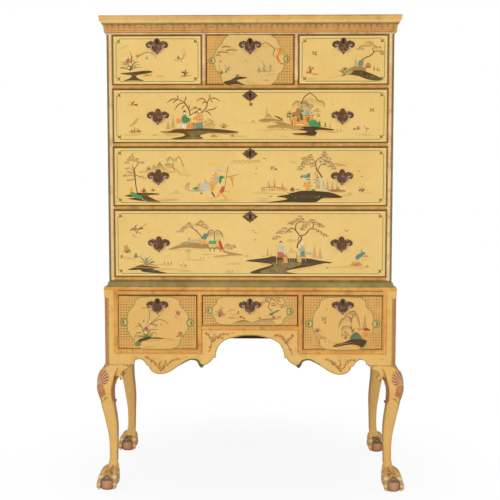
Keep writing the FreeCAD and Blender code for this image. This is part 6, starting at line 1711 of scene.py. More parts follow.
def paint_long_lower(p):
    """The lower long drawer: a landscape from the left end to the right."""
    p.leaf(-411.8, 42, 22, 25, 8, (226, 158, 66), 0.97)
    p.leaf(-403.4, 34.2, 15, 60, 6, (206, 86, 56), 0.97)
    for k, path in enumerate((at(-405.3, 46.6, -415, 50.5, -425.5, 44),
            at(-403.3, 47.9, -411.7, 55.1, -422.9, 47.9), at(-401.3, 50.5, -405.1, 59.7, -400.5, 67.5),
            at(-398.7, 49.9, -385.6, 56.4, -378.4, 59.7), at(-398.1, 48.6, -385.6, 52.5, -375.8, 53.8))):
        p.stroke(path, 3.2, (134, 122, 98) if k % 2 else (112, 92, 48), 0.9, (0.7, 0.1))
    p.stroke(at(-382.3, 58.4, -372.5, 65.5, -362.6, 72.1), 1.2, SOFT_BROWN, 0.8)
    p.stroke(at(-408, 34.2, -415.2, 28.9, -408.7, 24.4, -400.9, 27), 2.6, (178, 150, 106), 0.9)
    p.stroke(at(-395.6, 37.4, -389, 37.4, -383.8, 34.2), 1.6, BROWN, 0.9)
    grass(p, -436.8, -34.6, 30, 9, (SOFT_BROWN, BROWN), 60, 1.1)
    needles(p, -438, -21.5, 18, 16, 30, (BROWN, SOFT_BROWN, RUSTY))
    needles(p, -427, -34.6, 12, 8, 14, (BROWN, RUSTY))
    p.blob(at(-458.6, -51, -456.5, -41.2, -451.9, -40.5, -451.4, -51), (96, 122, 96), 0.85)
    p.blob(at(-410.8, -47.7, -408, -36.6, -401.5, -35.3, -399.7, -48.4, -405.6, -51.7), (96, 122, 96), 0.85)
    ripples(p, -429.1, -51, 70, 4)
    p.stroke(at(-399.6, -44.4, -386.6, -49.7, -375.6, -59.5), 1.4, BROWN, 0.8)
    for path, colour in ((at(-367.2, -77.3, -360.5, -64.1, -344.1, -51), LEAF),
            (at(-367.2, -77.3, -357.3, -70.7, -336.3, -66.1), BROWN),
            (at(-368.5, -76, -367.1, -60.9, -351.9, -42.5), LEAF),
            (at(-368.5, -77.3, -373.6, -64.1, -384.7, -53), LEAF),
            (at(-370.5, -77.3, -376.9, -67.4, -392.6, -63.5), RUSTY),
            (at(-365.2, -77.3, -350.8, -73.3, -331.2, -79.3), BROWN),
            (at(-369.2, -76, -371, -60.9, -369.6, -47.1), TEAL),
            (at(-367.2, -77.3, -347.5, -64.1, -337.6, -65.5), LEAF)):
        p.stroke(path, 2.2, colour, 0.9, (0.8, 0.1))
    p.blob(at(-371.7, -70.7, -370.3, -54.3, -365, -53, -362.5, -67.4, -366.6, -77.3), (104, 134, 104), 0.8)
    bush(p, -383.6, -78.6, 22, 5, (ROSE, RUSTY, GOLD), 16, 1.6)
    bush(p, -350.8, -77.3, 24, 5, (ROSE, RUSTY), 12, 1.6)
    island(p, at(-434.1, -92.4, -413.1, -84.5, -390.1, -77.9, -350.9, -80.6, -320.1, -85.2, -344.4, -89.1,
        -331.4, -96.4, -291.5, -105.6, -344.5, -104.6, -382.5, -99.7, -389, -93.7, -416.5, -94.4), (74, 54, 12),
        0.97, 30)
    island(p, at(-380.4, -90.4, -344.4, -91.8, -318.3, -99, -298.7, -104.9, -344.5, -103.6, -377.2, -99),
        (64, 52, 20), 0.9, 6)
    p.stroke(at(-432.8, -91.8, -403.3, -84.5, -364, -86.5, -321.4, -83.9), 2.0, (200, 138, 66), 0.75)
    for x, z in at(-302.4, -72.7, -290.6, -73.3, -278.8, -73.3):
        fir(p, x, z, 9, BROWN, 0.8, 3)
    ripples(p, -305, -74.7, 110, 2)
    ripples(p, -285.5, -90.4, 110, 3)
    trunk(p, at(-171, 23.1, -180.1, 34.2, -194.4, 48.6, -212.6, 59.7, -230.3, 53.8), 2.4, BARK)
    p.stroke(at(-230.3, 53.8, -242.1, 46.6, -257.8, 38.8), 1.6, BARK, 0.9)
    trunk(p, at(-194.4, 48.6, -185.3, 46.6), 1.4, BARK)
    trunk(p, at(-194.3, 66.2, -173.5, 62.3, -147.4, 49.2), 1.6, BARK)
    for x, z, wide in ((-215.2, 70.1, 12), (-215.9, 64.9, 28), (-224.4, 57.1, 26), (-209.4, 58.4, 22),
            (-236.8, 49.9, 22), (-242.8, 40.7, 24), (-255.2, 39.4, 16), (-173.4, 76.6, 14), (-174.7, 70.8, 30),
            (-186.5, 64.9, 20), (-165, 62.9, 32), (-155.2, 53.8, 26)):
        needles(p, x, z, wide, 6, int(wide * 0.75) + 4, ((128, 96, 70), (156, 120, 84), BROWN), 1.3, 0.8)
    bank(p, at(-289.5, -20.2, -268.6, -11.6, -245.6, -3.8, -219.5, 2.1, -180.3, 2.8, -150.9, -1.2, -101.9, -13,
        -85.6, -26.1, -23.5, -39.8, -56.2, -42.5, -102, -45.8, -128.2, -47.1, -122.9, -43.1, -79.1, -38.5,
        -92.1, -31.3, -115, -18.9, -186.9, -16.9, -235.9, -14.3, -275.2, -21.5), (164, 126, 64), 0.97, 0.75,
        ((-285, -21.5), (-154.2, -16.9), 34, (190, 150, 80), 6))
    hatches(p, (-124.9, -46.4), (-82.3, -43.8), 14, GOLD, 8)
    hatches(p, (-79.1, -42.5), (-30, -40.5), 12, GOLD, 5)
    p.patch(at(-226, 4.7, -215.5, 15.9, -190, 17.8, -173.7, 17.2, -177, 6.7, -206.4, 4.7), (200, 180, 130),
        0.75)
    for k in range(9):
        x, z = -220.8, 5.4
        p.line([(x + k * 5.4, z + 1), (x + k * 5.4 + 1.5, z + 9)], 0.8, (150, 116, 76), 0.85, smooth=False)
    hill(p, -215.5, 13.9, 14, 9)
    bank(p, at(-252.2, -6.4, -232.5, 6, -209.7, 4.1, -183.5, 2.8, -219.5, -1.8), (120, 96, 62), 0.7, 0.5)
    p.patch(at(-175, 17.2, -160.5, 36.8, -144.9, 34.2, -156.7, 13.9), (88, 128, 116), 0.97)
    p.stroke(at(-173.7, 15.9, -159.2, 35.5), 1.4, BROWN, 0.8)
    p.stroke(at(-156.7, 13.9, -144.9, 33.5), 1.4, BROWN, 0.8)
    p.patch(at(-181.5, 8.7, -154.1, 13.9, -148.9, 0.8, -170.5, -2.5, -180.9, 0.1), (224, 164, 70), 0.97)
    p.line(at(-177, 10.6, -175.1, -0.5), 0.8, RUSTY, 0.8, smooth=False)
    p.line(at(-164.5, 11.9, -162.6, -1.2), 0.8, RUSTY, 0.8, smooth=False)
    p.patch(at(-149.6, -0.5, -143.6, 11.3, -120.1, 10, -119.5, -2.5), (84, 152, 104), 0.97)
    p.patch(at(-147.6, -2.5, -119.5, -2.5, -121.5, -13.6, -144.4, -13), (226, 176, 84), 0.95)
    p.patch(at(-141, 10, -140.4, 17.8, -126, 17.8, -126, 10), (206, 196, 150), 0.9)
    trunk(p, at(-124.7, 10.6, -126, 27.6, -125.3, 40.7), 2.2, BARK)
    p.stroke(at(-125.3, 38.8, -134.4, 47.9, -146.1, 42.7, -151.4, 34.2), 2.4, HAZEL, 0.95, (0.6, 0.2))
    p.stroke(at(-124.6, 39.4, -114.8, 46.6, -101.1, 37.4, -94, 14.6), 2.4, HAZEL, 0.95, (0.6, 0.2))
    for k in range(8):
        x, z = -147.5, 42
        p.stroke([(x + k * 2.5, z), (x + k * 2.5, z - 8), (x + k * 2.4, z - 22 + k * 0.8)], 1.2, (132, 102, 66),
            0.8, fade=0.15)
        x, z = -120, 42.7
        p.stroke([(x + k * 3.2, z - k * 0.7), (x + k * 3.4, z - 12), (x + k * 3.5, z - 24 - k)], 1.2,
            (132, 102, 66), 0.8, fade=0.15)
    p.patch(at(-119.5, 15.9, -101.8, 17.8, -101.2, -5.1, -108.4, -14.9, -120.2, -1.8), (226, 166, 74), 0.97)
    p.patch(at(-112.3, 10.6, -104.5, 10.6, -96.7, -8.4, -93.4, -21.5, -100, -23.4, -108.4, -8.4), (186, 62, 44),
        0.97)
    p.stroke(at(-101.3, -18.2, -95.4, -26.1, -98, -31.3), 3.4, (226, 150, 60), 0.9)
    for x, z in at(-141.1, -18.2, -126.1, -17.5, -105.2, -18.9):
        p.line([(x, z), (x, z - 11)], 2.0, (112, 84, 38), 0.9, smooth=False)
        p.stroke([(x - 6, z + 1), (x, z - 2), (x + 6, z + 1)], 1.6, (130, 106, 76), 0.9)
    for x, z in at(-79, -11.6, -59.4, -14.9, -70.5, -23.4, -82.3, -18.2):
        needles(p, x, z, 22, 12, 22, ((138, 104, 80), BROWN, (170, 134, 96)), 1.4, 0.85)
    for path in (at(-81.6, -5.1, -82.2, 8), at(-75.7, -5.1, -70.5, 5.4), at(-61.4, -8.4, -53.5, 3.4),
            at(-85.5, -8.4, -88.8, 1.5)):
        p.stroke(path, 1.0, BROWN, 0.85, steps=2)
    trunk(p, at(-217.6, -17.5, -215.8, -37.9, -217.2, -64.1), 1.2, (170, 134, 84), 0.7)
    for k in range(10):
        a = math.radians(200 + k * 16)
        x, z = -218.3, -20.2
        p.stroke([(x, z), (x + 11 * math.cos(a), z + 11 * math.sin(a)),
            (x + 19 * math.cos(a), z + 20 * math.sin(a))], 0.9, (176, 142, 92), 0.65, fade=0.15)
    ripples(p, -200.2, -57.6, 90, 3)
    ripples(p, -147.7, -37.9, 60, 2)
    for x, z in at(-174, -53.6, -164.2, -53, -144.5, -51.7, -81.2, -99, -72, -99, -61.5, -98.3, -16.9, -45.8,
            -8.8, -45.8):
        fir(p, x, z, 6, BROWN, 0.75, 2)
    ripples(p, -72.6, -101, 60, 2)
    ripples(p, -56.2, -70.1, 70, 3)
    standing_bird(p, -241.6, -85.2, 18, (214, 190, 120), (96, 128, 84), 1)
    standing_bird(p, -229.1, -86.5, 16, (206, 150, 74), (176, 76, 46), -1)
    ripples(p, -236.4, -95.7, 60, 3)
    for x, z in at(11.6, 44.6, 20.1, 37.4, 18.2, 12.6):
        far_bird(p, x, z, 4.0, (112, 84, 52))
    fir(p, 62, -46.1, 32, FAR_PINE, 0.75, 6)
    fir(p, 46.3, -47.7, 10, FAR_PINE, 0.7, 3)
    fir(p, 75.8, -46.1, 12, FAR_PINE, 0.7, 3)
    for x, z, tall in ((227.6, -54.9, 52), (247.2, -56.9, 46)):
        fir(p, x, z, tall, (164, 130, 88), 0.8, 8)
    bush(p, 207.9, -37.9, 26, 8, (GREY, (176, 150, 106)), 20, 1.6)
    trunk(p, at(165.9, -15.6, 168.5, -1.8, 177.6, 10.6, 181.5, 21.1, 176.9, 28.3), 4.4, OLD_BARK)
    trunk(p, at(169.8, 8, 169.7, 17.8, 175.6, 26.3), 2.0, OLD_BARK)
    for path in (at(176.9, 27, 161.8, 46.6, 162.3, 66.8, 174.7, 77.3), at(171.6, 34.2, 156.5, 50.5, 142.2, 53.8,
            120, 34.2), at(177.5, 28.3, 194.5, 32.9, 210, 51.2, 221.8, 58.4),
            at(221.8, 58.4, 223.6, 70.1, 213.8, 79.9), at(220.5, 55.1, 240.1, 47.3, 272.2, 23.7)):
        trunk(p, path, 2.8, OLD_BARK)
    for x, z, wide in ((175.9, 93.6, 14), (173.4, 84.5, 36), (168.2, 76.6, 44), (181.2, 72.7, 32),
            (145.4, 71.4, 24), (143.4, 66.2, 30), (151.9, 73.4, 20), (121.3, 50.5, 24), (114.1, 40.1, 34),
            (103.1, 34.2, 26), (95.2, 21.1, 30), (86.1, 13.9, 20), (217.1, 79.9, 24), (210.6, 71.4, 40),
            (197.6, 62.9, 30), (191.1, 55.1, 26), (184.6, 48.6, 22), (226.9, 71.4, 30), (241.3, 64.9, 28),
            (250.5, 58.4, 26), (227, 47.9, 22), (241.4, 40.1, 22), (256.5, 31.6, 20), (266.3, 25.7, 18),
            (138.9, 40.1, 14)):
        needles(p, x, z, wide, 7, int(wide * 0.8) + 5, ((118, 92, 60), (146, 116, 74), (172, 140, 92),
            (104, 70, 26)), 1.5, 0.82)
    p.patch(at(129.2, 13.9, 141, 17.2, 161.2, 13.9, 159.3, 6.7, 146.3, 4.1, 132.5, 6), STRAW, 0.9)
    p.line(at(144.9, 5.4, 145.7, -21.5), 1.6, (218, 170, 92), 0.95, smooth=False)
    p.stroke(at(130.5, 17.8, 135.8, 12.6, 142.3, 10.6), 1.8, STRAW, 0.9)
    island(p, at(-15.2, -60.9, 5.1, -56.3, 57.5, -49.7, 84.3, -44.4, 136, -51, 201.4, -51.7, 240.7, -58.2,
        288.5, -66.1, 280, -69.4, 260.4, -69.4, 208.1, -81.2, 168.8, -87.8, 123, -97, 142.7, -102.3,
        167, -106.9, 64.1, -106.9, 1.2, -104.3, 26.1, -91.1, 77.1, -74.7, 44.4, -68.1, -1.4, -63.5),
        (78, 54, 8), 0.98, 120)
    island(p, at(77.1, -67.4, 136, -64.1, 181.9, -70.7, 162.3, -80.6, 123, -93.7, 142.7, -104.3, 51, -104.9,
        37.9, -97, 83.7, -80.6), (66, 50, 8), 0.7, 20)
    hatches(p, (152.5, -93.7), (257.2, -71.4), 40, (214, 150, 72), 8)
    hatches(p, (34.6, -68.1), (73.9, -74.7), 16, (190, 150, 90), 6)
    chair(p, 94.2, -71.4, 66, 1, (220, 160, 76))
    chair(p, 196.9, -64.1, 62, -1, (220, 160, 76))
    table(p, 147.8, -64.1, 40, 34, (224, 168, 80), (198, 178, 130))
    p.blob(at(139.2, -24.1, 145.7, -15.6, 152.2, -24.1, 150.3, -30, 141.1, -30), (222, 166, 76), 0.95)
    p.dot(132, -28, 2.6, WHITE)
    p.dot(159.4, -28, 2.8, (222, 166, 76))
    figure(p, 108.5, -48.4, 58, (196, 190, 162), (186, 96, 70), 1)
    p.blob(at(97.3, -31.3, 109.8, -29.4, 128.1, -43.1, 124.9, -48.4, 106.5, -48.4, 98.7, -44.4), (186, 96, 70),
        0.96)
    p.patch(at(118.3, -47.1, 133.4, -48.4, 132.8, -67.4, 121.6, -68.1), (224, 160, 72), 0.95)
    p.stroke(at(113.6, -18.2, 121.5, -20.2, 130.7, -27.4), 3.2, (196, 190, 162), 0.95)
    figure(p, 185.7, -47.1, 50, (176, 172, 140), (92, 142, 124), -1, GREY)
    p.blob(at(176.5, -31.3, 188.2, -24.8, 193.5, -31.3, 191.5, -41.2, 180.4, -37.9), (84, 138, 120), 0.95)
    p.blob(at(168.6, -37.9, 177.8, -43.1, 181.8, -64.1, 170.7, -65.5, 165.4, -51), (222, 158, 70), 0.95)
    p.stroke(at(191.5, -21.5, 201.3, -31.3, 211.1, -35.9), 3.0, (180, 176, 148), 0.9)
    p.dot(185.5, 2.1, 3.2, WHITE, 1.0, 8)
    p.stroke(at(129.4, -31.3, 130.7, -51, 129.5, -65.5), 1.2, (60, 100, 70), 0.8)
    p.stroke(at(165.3, -31.3, 164.8, -51, 166.1, -65.5), 1.2, (60, 100, 70), 0.8)
    far_bird(p, 340, 43.3, 10.0, (112, 84, 52))
    p.stroke(at(334.7, 46.6, 341.3, 44.6, 343.3, 40.7), 1.6, (150, 112, 66), 0.85)
    fir(p, 392.9, -31.3, 16, (140, 106, 70), 0.8, 4)
    p.patch(at(370.2, -48.4, 377.9, -37.9, 400.7, -28, 409.3, -32.6, 397.6, -42.5, 378.1, -58.9),
        (96, 136, 118), 0.97)
    for k in range(5):
        x, z = 378, -41.2
        p.line([(x + k * 6, z + k * 2.4), (x + k * 6 - 2, z + k * 2.4 - 10)], 0.7, (52, 92, 76), 0.8,
            smooth=False)
    for path in (at(398.2, -41.2, 397.8, -60.9), at(407.4, -37.9, 410.2, -57.6)):
        p.line(path, 0.9, SOFT_BROWN, 0.8, smooth=False)
    bush(p, 375, -78.9, 44, 16, ((206, 130, 64), (190, 112, 60), (222, 160, 84)), 46, 2.0, 0.9)
    for k in range(6):
        a = math.radians(20 + k * 28)
        x, z = 375.7, -77.3
        p.stroke([(x, z), (x + 19 * math.cos(a), z + 15 * math.sin(a))], 1.6, (190, 104, 56), 0.9, (0.8, 0.3),
            2)
    needles(p, 409.4, -47.1, 18, 6, 14, (SOFT_BROWN, BROWN))
    hill(p, 413.7, -83.9, 26, 8)
    ripples(p, 326, -81.2, 120, 3)
    ripples(p, 384.9, -85.2, 70, 2)
    bush(p, 273, -87.8, 8, 6, (BROWN, SOFT_BROWN), 8, 1.1)


def paint_stand_left(p):
    """The stand's left drawer: its cartouche and the scene in it."""
    grass(p, -58, -54, 54, 15, ((100, 84, 14), BROWN, (78, 92, 40)), 78, 2.6, 1.0)
    grass(p, -44, -54, 34, 9, (SOFT_BROWN, (100, 84, 14)), 84, 2.0, 1.0)
    cartouche(p, [at(51, 90.8, -5.1, 92.9, -59.9, 90.1), at(-59.9, 90.1, -75.7, 81.2, -82.8, 61.2),
        at(-82.8, 61.2, -102.2, 39.1, -109.1, 3.1, -103.6, -35, -82.6, -62.7),
        at(-82.6, -62.7, -79.4, -80.8, -59.6, -94), at(-59.6, -94, -6.6, -96.1, 48.4, -94.7),
        at(48.4, -94.7, 71.8, -84.3, 83.6, -56.5), at(83.6, -56.5, 103.7, -30.8, 110.4, 3.1, 104.7, 34.9,
        80.9, 59.8), at(80.9, 59.8, 75.6, 81.2, 51, 90.8)], CREAM)
    medallion(p, -119, 1.1, 13.5, 1)
    medallion(p, 116.2, -0.7, 13.5, -1)
    for path in (at(-37.4, -3.8, -28.3, 20.4, -31.5, 48.1, -46.5, 52.9, -60.3, 48.1),
            at(-33.4, -10.7, -5.8, 13.5, 13.6, 30.1), at(-33.4, -10.7, 1.1, 10.1, 25, 6.6, 39.3, -10),
            at(-47.3, -35, -60.8, -10.7, -80.1, -17.6), at(-47.4, -41.9, -67.9, -35, -84.6, -53),
            at(-40.5, -35, -19.8, -24.6, 2.8, -26.6), at(-50.7, -28, -64.2, -3.8, -71.1, -7.3),
            at(-50.9, -52.3, -74.9, -47.5, -83.3, -59.3), at(-26.9, -48.8, -13, -35, 0.6, -45.4)):
        p.stroke(path, 1.7, p.draw.choice(((112, 94, 30), (136, 106, 56), (96, 110, 62))), 0.9, (0.9, 0.1))
    grass(p, -44.1, -52.3, 42, 16, ((112, 94, 30), (136, 106, 56), LEAF), 80, 1.5)
    flower(p, -40.4, -22.8, 9.5, (150, 92, 110), (176, 70, 60), 7)
    flower(p, -42.5, -35, 7.0, (228, 170, 80), WHITE, 6)
    flower(p, -55.6, -39.1, 5.0, (188, 190, 160), GOLD, 5)
    flower(p, -35.1, -12.1, 5.6, (178, 168, 130), (160, 70, 60), 6)
    for x, z, angle in ((-6, -10.7, 30), (-18.3, -7.9, 120), (-47.7, -0.3, 100), (-51.1, 3.8, 60),
            (11.9, -10.7, 80), (-67.9, -35, 200), (-11.5, -12.8, -20), (-58.8, -14.2, 150)):
        p.leaf(x, z, 9, angle, 4.4, (90, 132, 108), 0.9)
    for k in range(5):
        x, z = -19.6, -7.3
        p.dot(x + k * 3.2, z + (k % 2) * 2, 2.0, (120, 104, 80), 0.8)
    island(p, at(-80.7, -76.6, -71.7, -65.5, -61.3, -57.9, -30.3, -49.5, -20, -53, 24.6, -55.8, 14.3, -58.6,
        -20.1, -57.9, -40.7, -63.4, -58, -69.7, -61.5, -82.2, -71.8, -84.3), (72, 58, 14), 0.97, 26)
    p.blob(at(-80, -78, -75.1, -69.7, -61.4, -68.3, -61.5, -80.8, -71.2, -84.3), (96, 110, 74), 0.85)
    p.stroke(at(-26.9, -55.8, -6.3, -53, 23.2, -57.2), 2.4, (150, 100, 54), 0.9)
    hatches(p, (-40.7, -64.8), (7.4, -59.9), 14, SOFT_BROWN, 6)
    ripples(p, 48.6, -59.9, 56, 4, SOFT_BROWN, 0.45)
    ripples(p, -20.3, -87, 70, 3)
    flower(p, 73.2, 33.6, 9.0, (176, 70, 56), (208, 140, 80), 6)
    p.leaf(67.7, 30.8, 13, 175, 6, (216, 170, 90), 0.9)
    p.leaf(68.4, 37.7, 11, 110, 5, (196, 140, 90), 0.9)
    p.stroke(at(75.2, 30.1, 82, 10.1, 82.5, -10.7), 1.3, (196, 150, 80), 0.9)
    p.stroke(at(62.9, 25.3, 66.3, 17, 71.7, 18.4), 1.2, BROWN, 0.8)
    grass(p, 80.3, -48.8, 26, 8, (RUSTY, LEAF, SOFT_BROWN), 40, 1.3)
    bush(p, 79.5, -51.6, 28, 9, (RUSTY, ROSE, (206, 140, 90)), 26, 1.7, 0.9)
    ripples(p, 62.2, -76.6, 30, 2)


STAND_OVAL_LEFT = [[(-96.5, 49.7), (-113.7, 42.1), (-119.2, 26.3)],
    [(-119.2, 26.3), (-132.2, 12.5), (-134.4, -4.8), (-131, -19.3), (-123.5, -29)],
    [(-123.5, -29), (-115.3, -44.2), (-94.7, -49.8)]]
STAND_OVAL_RIGHT = [[(98, -49.8), (114.5, -44.9), (118.6, -29.7)], [(118.6, -29.7), (130.2, -18.6), (134.2, -2),
    (131.5, 13.2), (122.5, 24.9)], [(122.5, 24.9), (118.4, 41.4), (103.3, 49)]]


def paint_stand_centre(p):
    """The stand's centre drawer: its cartouche and the scene in it."""
    left, right = STAND_OVAL_LEFT, STAND_OVAL_RIGHT
    cartouche(p, [*left, [left[-1][-1], right[0][0]], *right, [right[-1][-1], left[0][0]]], CREAM)
    medallion(p, -144.6, 1.4, 12.0, 1)
    sprig(p, -106.3, -22.1, 34, 80, BROWN, (BROWN, SOFT_BROWN, LEAF), 7)
    grass(p, -107, -22.1, 34, 9, (BROWN, RUSTY, LEAF), 60, 1.2)
    flower(p, -99.4, -12.4, 7.5, (190, 92, 80), (176, 130, 110), 6)
    flower(p, -93.3, -17.9, 5.0, (176, 92, 80), WHITE, 5)
    p.leaf(-46, -4.8, 24, 172, 9, (226, 176, 84), 0.95)
    p.leaf(-42.5, -12.4, 15, 80, 6, (84, 104, 62), 0.95)
    for path in (at(-79.5, -4.8, -65.8, 3.5, -48.7, 2.1), at(-69.3, -11.7, -59, -15.2, -45.3, -8.2)):
        p.stroke(path, 1.3, (150, 116, 70), 0.85)
    bush(p, -62.4, -26.2, 40, 4, (BROWN, SOFT_BROWN), 18, 1.1)
    grass(p, -31.6, -26.2, 14, 6, (BROWN, RUSTY), 60, 1.3)
    grass(p, -21.3, -28.3, 9, 5, (BROWN,), 60, 1.3)
    bank(p, at(-59, -46.3, -45.3, -39.4, -24.7, -33.8, 2.7, -39.4, 2.7, -47), (150, 116, 60), 0.85, 0.4)
    p.stroke(at(-59, -44.9, -28.2, -33.8, -1.4, -37.3), 1.6, BROWN, 0.85)
    medallion(p, 140.8, -2, 12.0, -1)
    trunk(p, at(79.4, -1.3, 65.7, 12.5, 68.4, 27.7, 58.8, 34.6, 36.3, 19.4), 2.4, TWIG)
    trunk(p, at(68.4, 29, 77.3, 41.4, 95.1, 31.1, 101.3, 19.4), 2.0, TWIG)
    for x, z, wide in ((65.7, 43.5, 22), (56.1, 35.9, 20), (41.7, 26.3, 20), (38.3, 17.3, 16), (75.9, 40.1, 16),
            (95.8, 41.4, 20), (101.3, 32.5, 20), (80.8, 22.8, 22), (86.2, 15.9, 22), (109.5, 18.7, 22),
            (117.1, 10.4, 24)):
        needles(p, x, z, wide, 7, 18, (TWIG, (156, 116, 70), SOFT_BROWN), 1.5, 0.85)
    p.leaf(108.9, 5.6, 44, 204, 7.5, (96, 128, 74), 0.97)
    p.blob(at(69.2, -8.2, 80.8, -6.2, 82.9, -13.8, 72.6, -17.2), (84, 118, 66), 0.97)
    p.leaf(50, -21.4, 22, 22, 5, (224, 202, 136), 0.95)
    p.stroke(at(52.1, -21.4, 60.3, -17.2, 70.5, -13.1), 1.0, BROWN, 0.7)
    bank(p, at(4.8, -45.6, 19.2, -35.9, 43.1, -29, 74, -26.2, 111, -27.6, 80.9, -31.8, 91.2, -42.8, 67.2, -48.4,
        26, -49.1), (176, 136, 74), 0.92, 0.5)
    p.stroke(at(8.9, -42.1, 43.2, -30.4, 77.4, -28.3, 110.3, -27.6), 2.0, (140, 96, 54), 0.9)
    grass(p, 84.3, -26.2, 12, 6, (BROWN,), 50, 1.3)
    bush(p, 101.4, -22.8, 20, 5, (BROWN, SOFT_BROWN), 12, 1.2)
    grass(p, 34.2, -28.3, 10, 6, (BROWN, SOFT_BROWN), 60, 1.1)


def paint_stand_right(p):
    """The stand's right drawer: its cartouche and the scene in it."""
    cartouche(p, [at(59.8, 90.8, -0.5, 92.9, -58.6, 90.1), at(-58.6, 90.1, -76.3, 80.5, -83.1, 59.1),
        at(-83.1, 59.1, -100.7, 35.6, -106.7, 3.1, -101, -35, -82.3, -63.4),
        at(-82.3, -63.4, -76, -85, -53.9, -95.4), at(-53.9, -95.4, 1.1, -96.8, 56, -94.7),
        at(56, -94.7, 77.9, -85, 85.3, -62.7), at(85.3, -62.7, 103.5, -35, 109, -0.3, 103.5, 34.3, 82, 59.8),
        at(82, 59.8, 78.4, 80.5, 59.8, 90.8)], CREAM)
    medallion(p, -118.4, -2.4, 13.5, 1)
    medallion(p, 117.6, -2.4, 13.5, -1)
    bee(p, -66.3, 14.9, 20, (206, 140, 80), (136, 120, 84))
    p.dot(-62.1, 2.4, 3.6, (176, 78, 56), 0.95, 7)
    far_bird(p, -56.3, 47.4, 4.0)
    p.blob(at(-101.1, -26.6, -88.8, -21.1, -74.9, -41.9, -55.6, -48.8, -57.6, -59.9, -81.7, -55.8,
        -98.2, -41.9), (206, 146, 92), 0.75)
    grass(p, -88.7, -31.5, 20, 9, (BROWN, RUSTY, LEAF), 80, 1.3)
    bush(p, -74.8, -55.8, 34, 9, (RUSTY, (206, 146, 92)), 22, 1.3, 0.75)
    for x, z in at(-47.3, -67.6, -61, -68.3, -81.6, -67.6):
        fir(p, x, z, 8, BROWN, 0.7, 2)
    trunk(p, at(37.6, -31.5, 29.9, -10.7, 31, 12.1, 20.7, 22.5, -3.2, 12.1, -14.7, -14.2), 2.8, WARM_BARK)
    trunk(p, at(31, 12.1, 35.7, 23.2, 36.3, 37.7), 2.2, WARM_BARK)
    for path, drops in ((at(20.7, 21.8, -1.2, 14.9, -14.1, -4.5), 24), (at(20.7, 21.8, 28.9, 16.3, 31.1, 6.6),
            20), (at(36.3, 42.5, 13.7, 30.1, 3.6, 17), 14), (at(36.2, 46, 51.5, 27.3, 61.4, -4.5), 26),
            (at(17.5, -10, 0.4, -14.2, -4.2, -35), 20), (at(17.5, -10, 27.8, -14.2, 35.5, -28), 12)):
        p.stroke(path, 1.8, WILLOW_TWIG, 0.9, (0.6, 0.3))
        line = smooth_line(path, 6)
        for k in range(1, len(line)):
            x, z = line[k]
            p.stroke([(x, z), (x - 0.6, z - drops * 0.5), (x - 1, z - drops)], 1.0, (150, 118, 72), 0.75,
                fade=0.1)
    p.stroke(at(36.3, 42.5, 27.4, 40.5, 47.9, 41.2), 2.0, WILLOW_TWIG, 0.8)
    bush(p, 39.1, 27.3, 24, 12, (WILLOW_TWIG, (150, 118, 72)), 26, 1.4, 0.8)
    trunk(p, at(31.5, -35, 41.6, -21.1, 43.6, -15.6), 1.8, WARM_BARK)
    spire(p, 77.9, -16.3, 50, (140, 96, 60), 0.9, 5)
    p.patch(at(70.4, -15.6, 74.3, 1.1, 77.6, 13.5, 81.9, 1.1, 85.5, -15.6), (170, 122, 76), 0.6)
    p.patch(at(48.4, -16.9, 72.4, -15.6, 93.1, -19.7, 90.4, -23.9, 69.1, -23.2, 55.4, -29.4), (206, 146, 76),
        0.97)
    p.patch(at(71.1, -21.1, 82.7, -15.6, 96.5, -21.8, 96.6, -27.3, 76, -26.6), (150, 64, 44), 0.95)
    p.patch(at(65.7, -28, 96.6, -26, 100.2, -41.9, 95.5, -57.9, 69.4, -57.2), (222, 156, 74), 0.97)
    for k in range(4):
        x, z = 71.2, -31.5
        p.stroke([(x + k * 7, z), (x + k * 7 + 2, z - 10), (x + k * 7, z - 22)], 1.0, (184, 110, 52), 0.85)
    p.dot(83, -41.9, 5.0, (198, 124, 56), 0.9, 8)
    hut(p, 11, -57.2, 30, 30, (222, 180, 104), (214, 170, 100))
    p.blob(at(26.8, -57.9, 31.5, -41.9, 45.1, -31.5, 58.9, -37.7, 68.1, -57.9), (96, 112, 78), 0.97)
    p.stroke(at(35.1, -54.4, 41.8, -41.9, 50, -37), 1.4, (66, 84, 56), 0.8)
    island(p, at(-34.8, -82.2, -19.7, -74.5, 4.3, -68.3, 35.1, -57.2, 76.3, -57.9, 83.9, -64.8, 79.9, -76.6,
        68.3, -87.7, 55.9, -80.8, 35.3, -76.6, 7.8, -79.4, -23.1, -85), (72, 48, 8), 0.98, 30)
    p.stroke(at(-31.4, -82.9, 0.9, -73.8, 31.7, -68.3), 1.8, (150, 124, 84), 0.8)
    hatches(p, (28.4, -79.4), (69.7, -87), 16, (214, 134, 66), 6)
    ripples(p, 7.9, -87, 60, 3, (206, 150, 80), 0.6)
    ripples(p, -26.6, -69.7, 50, 3)


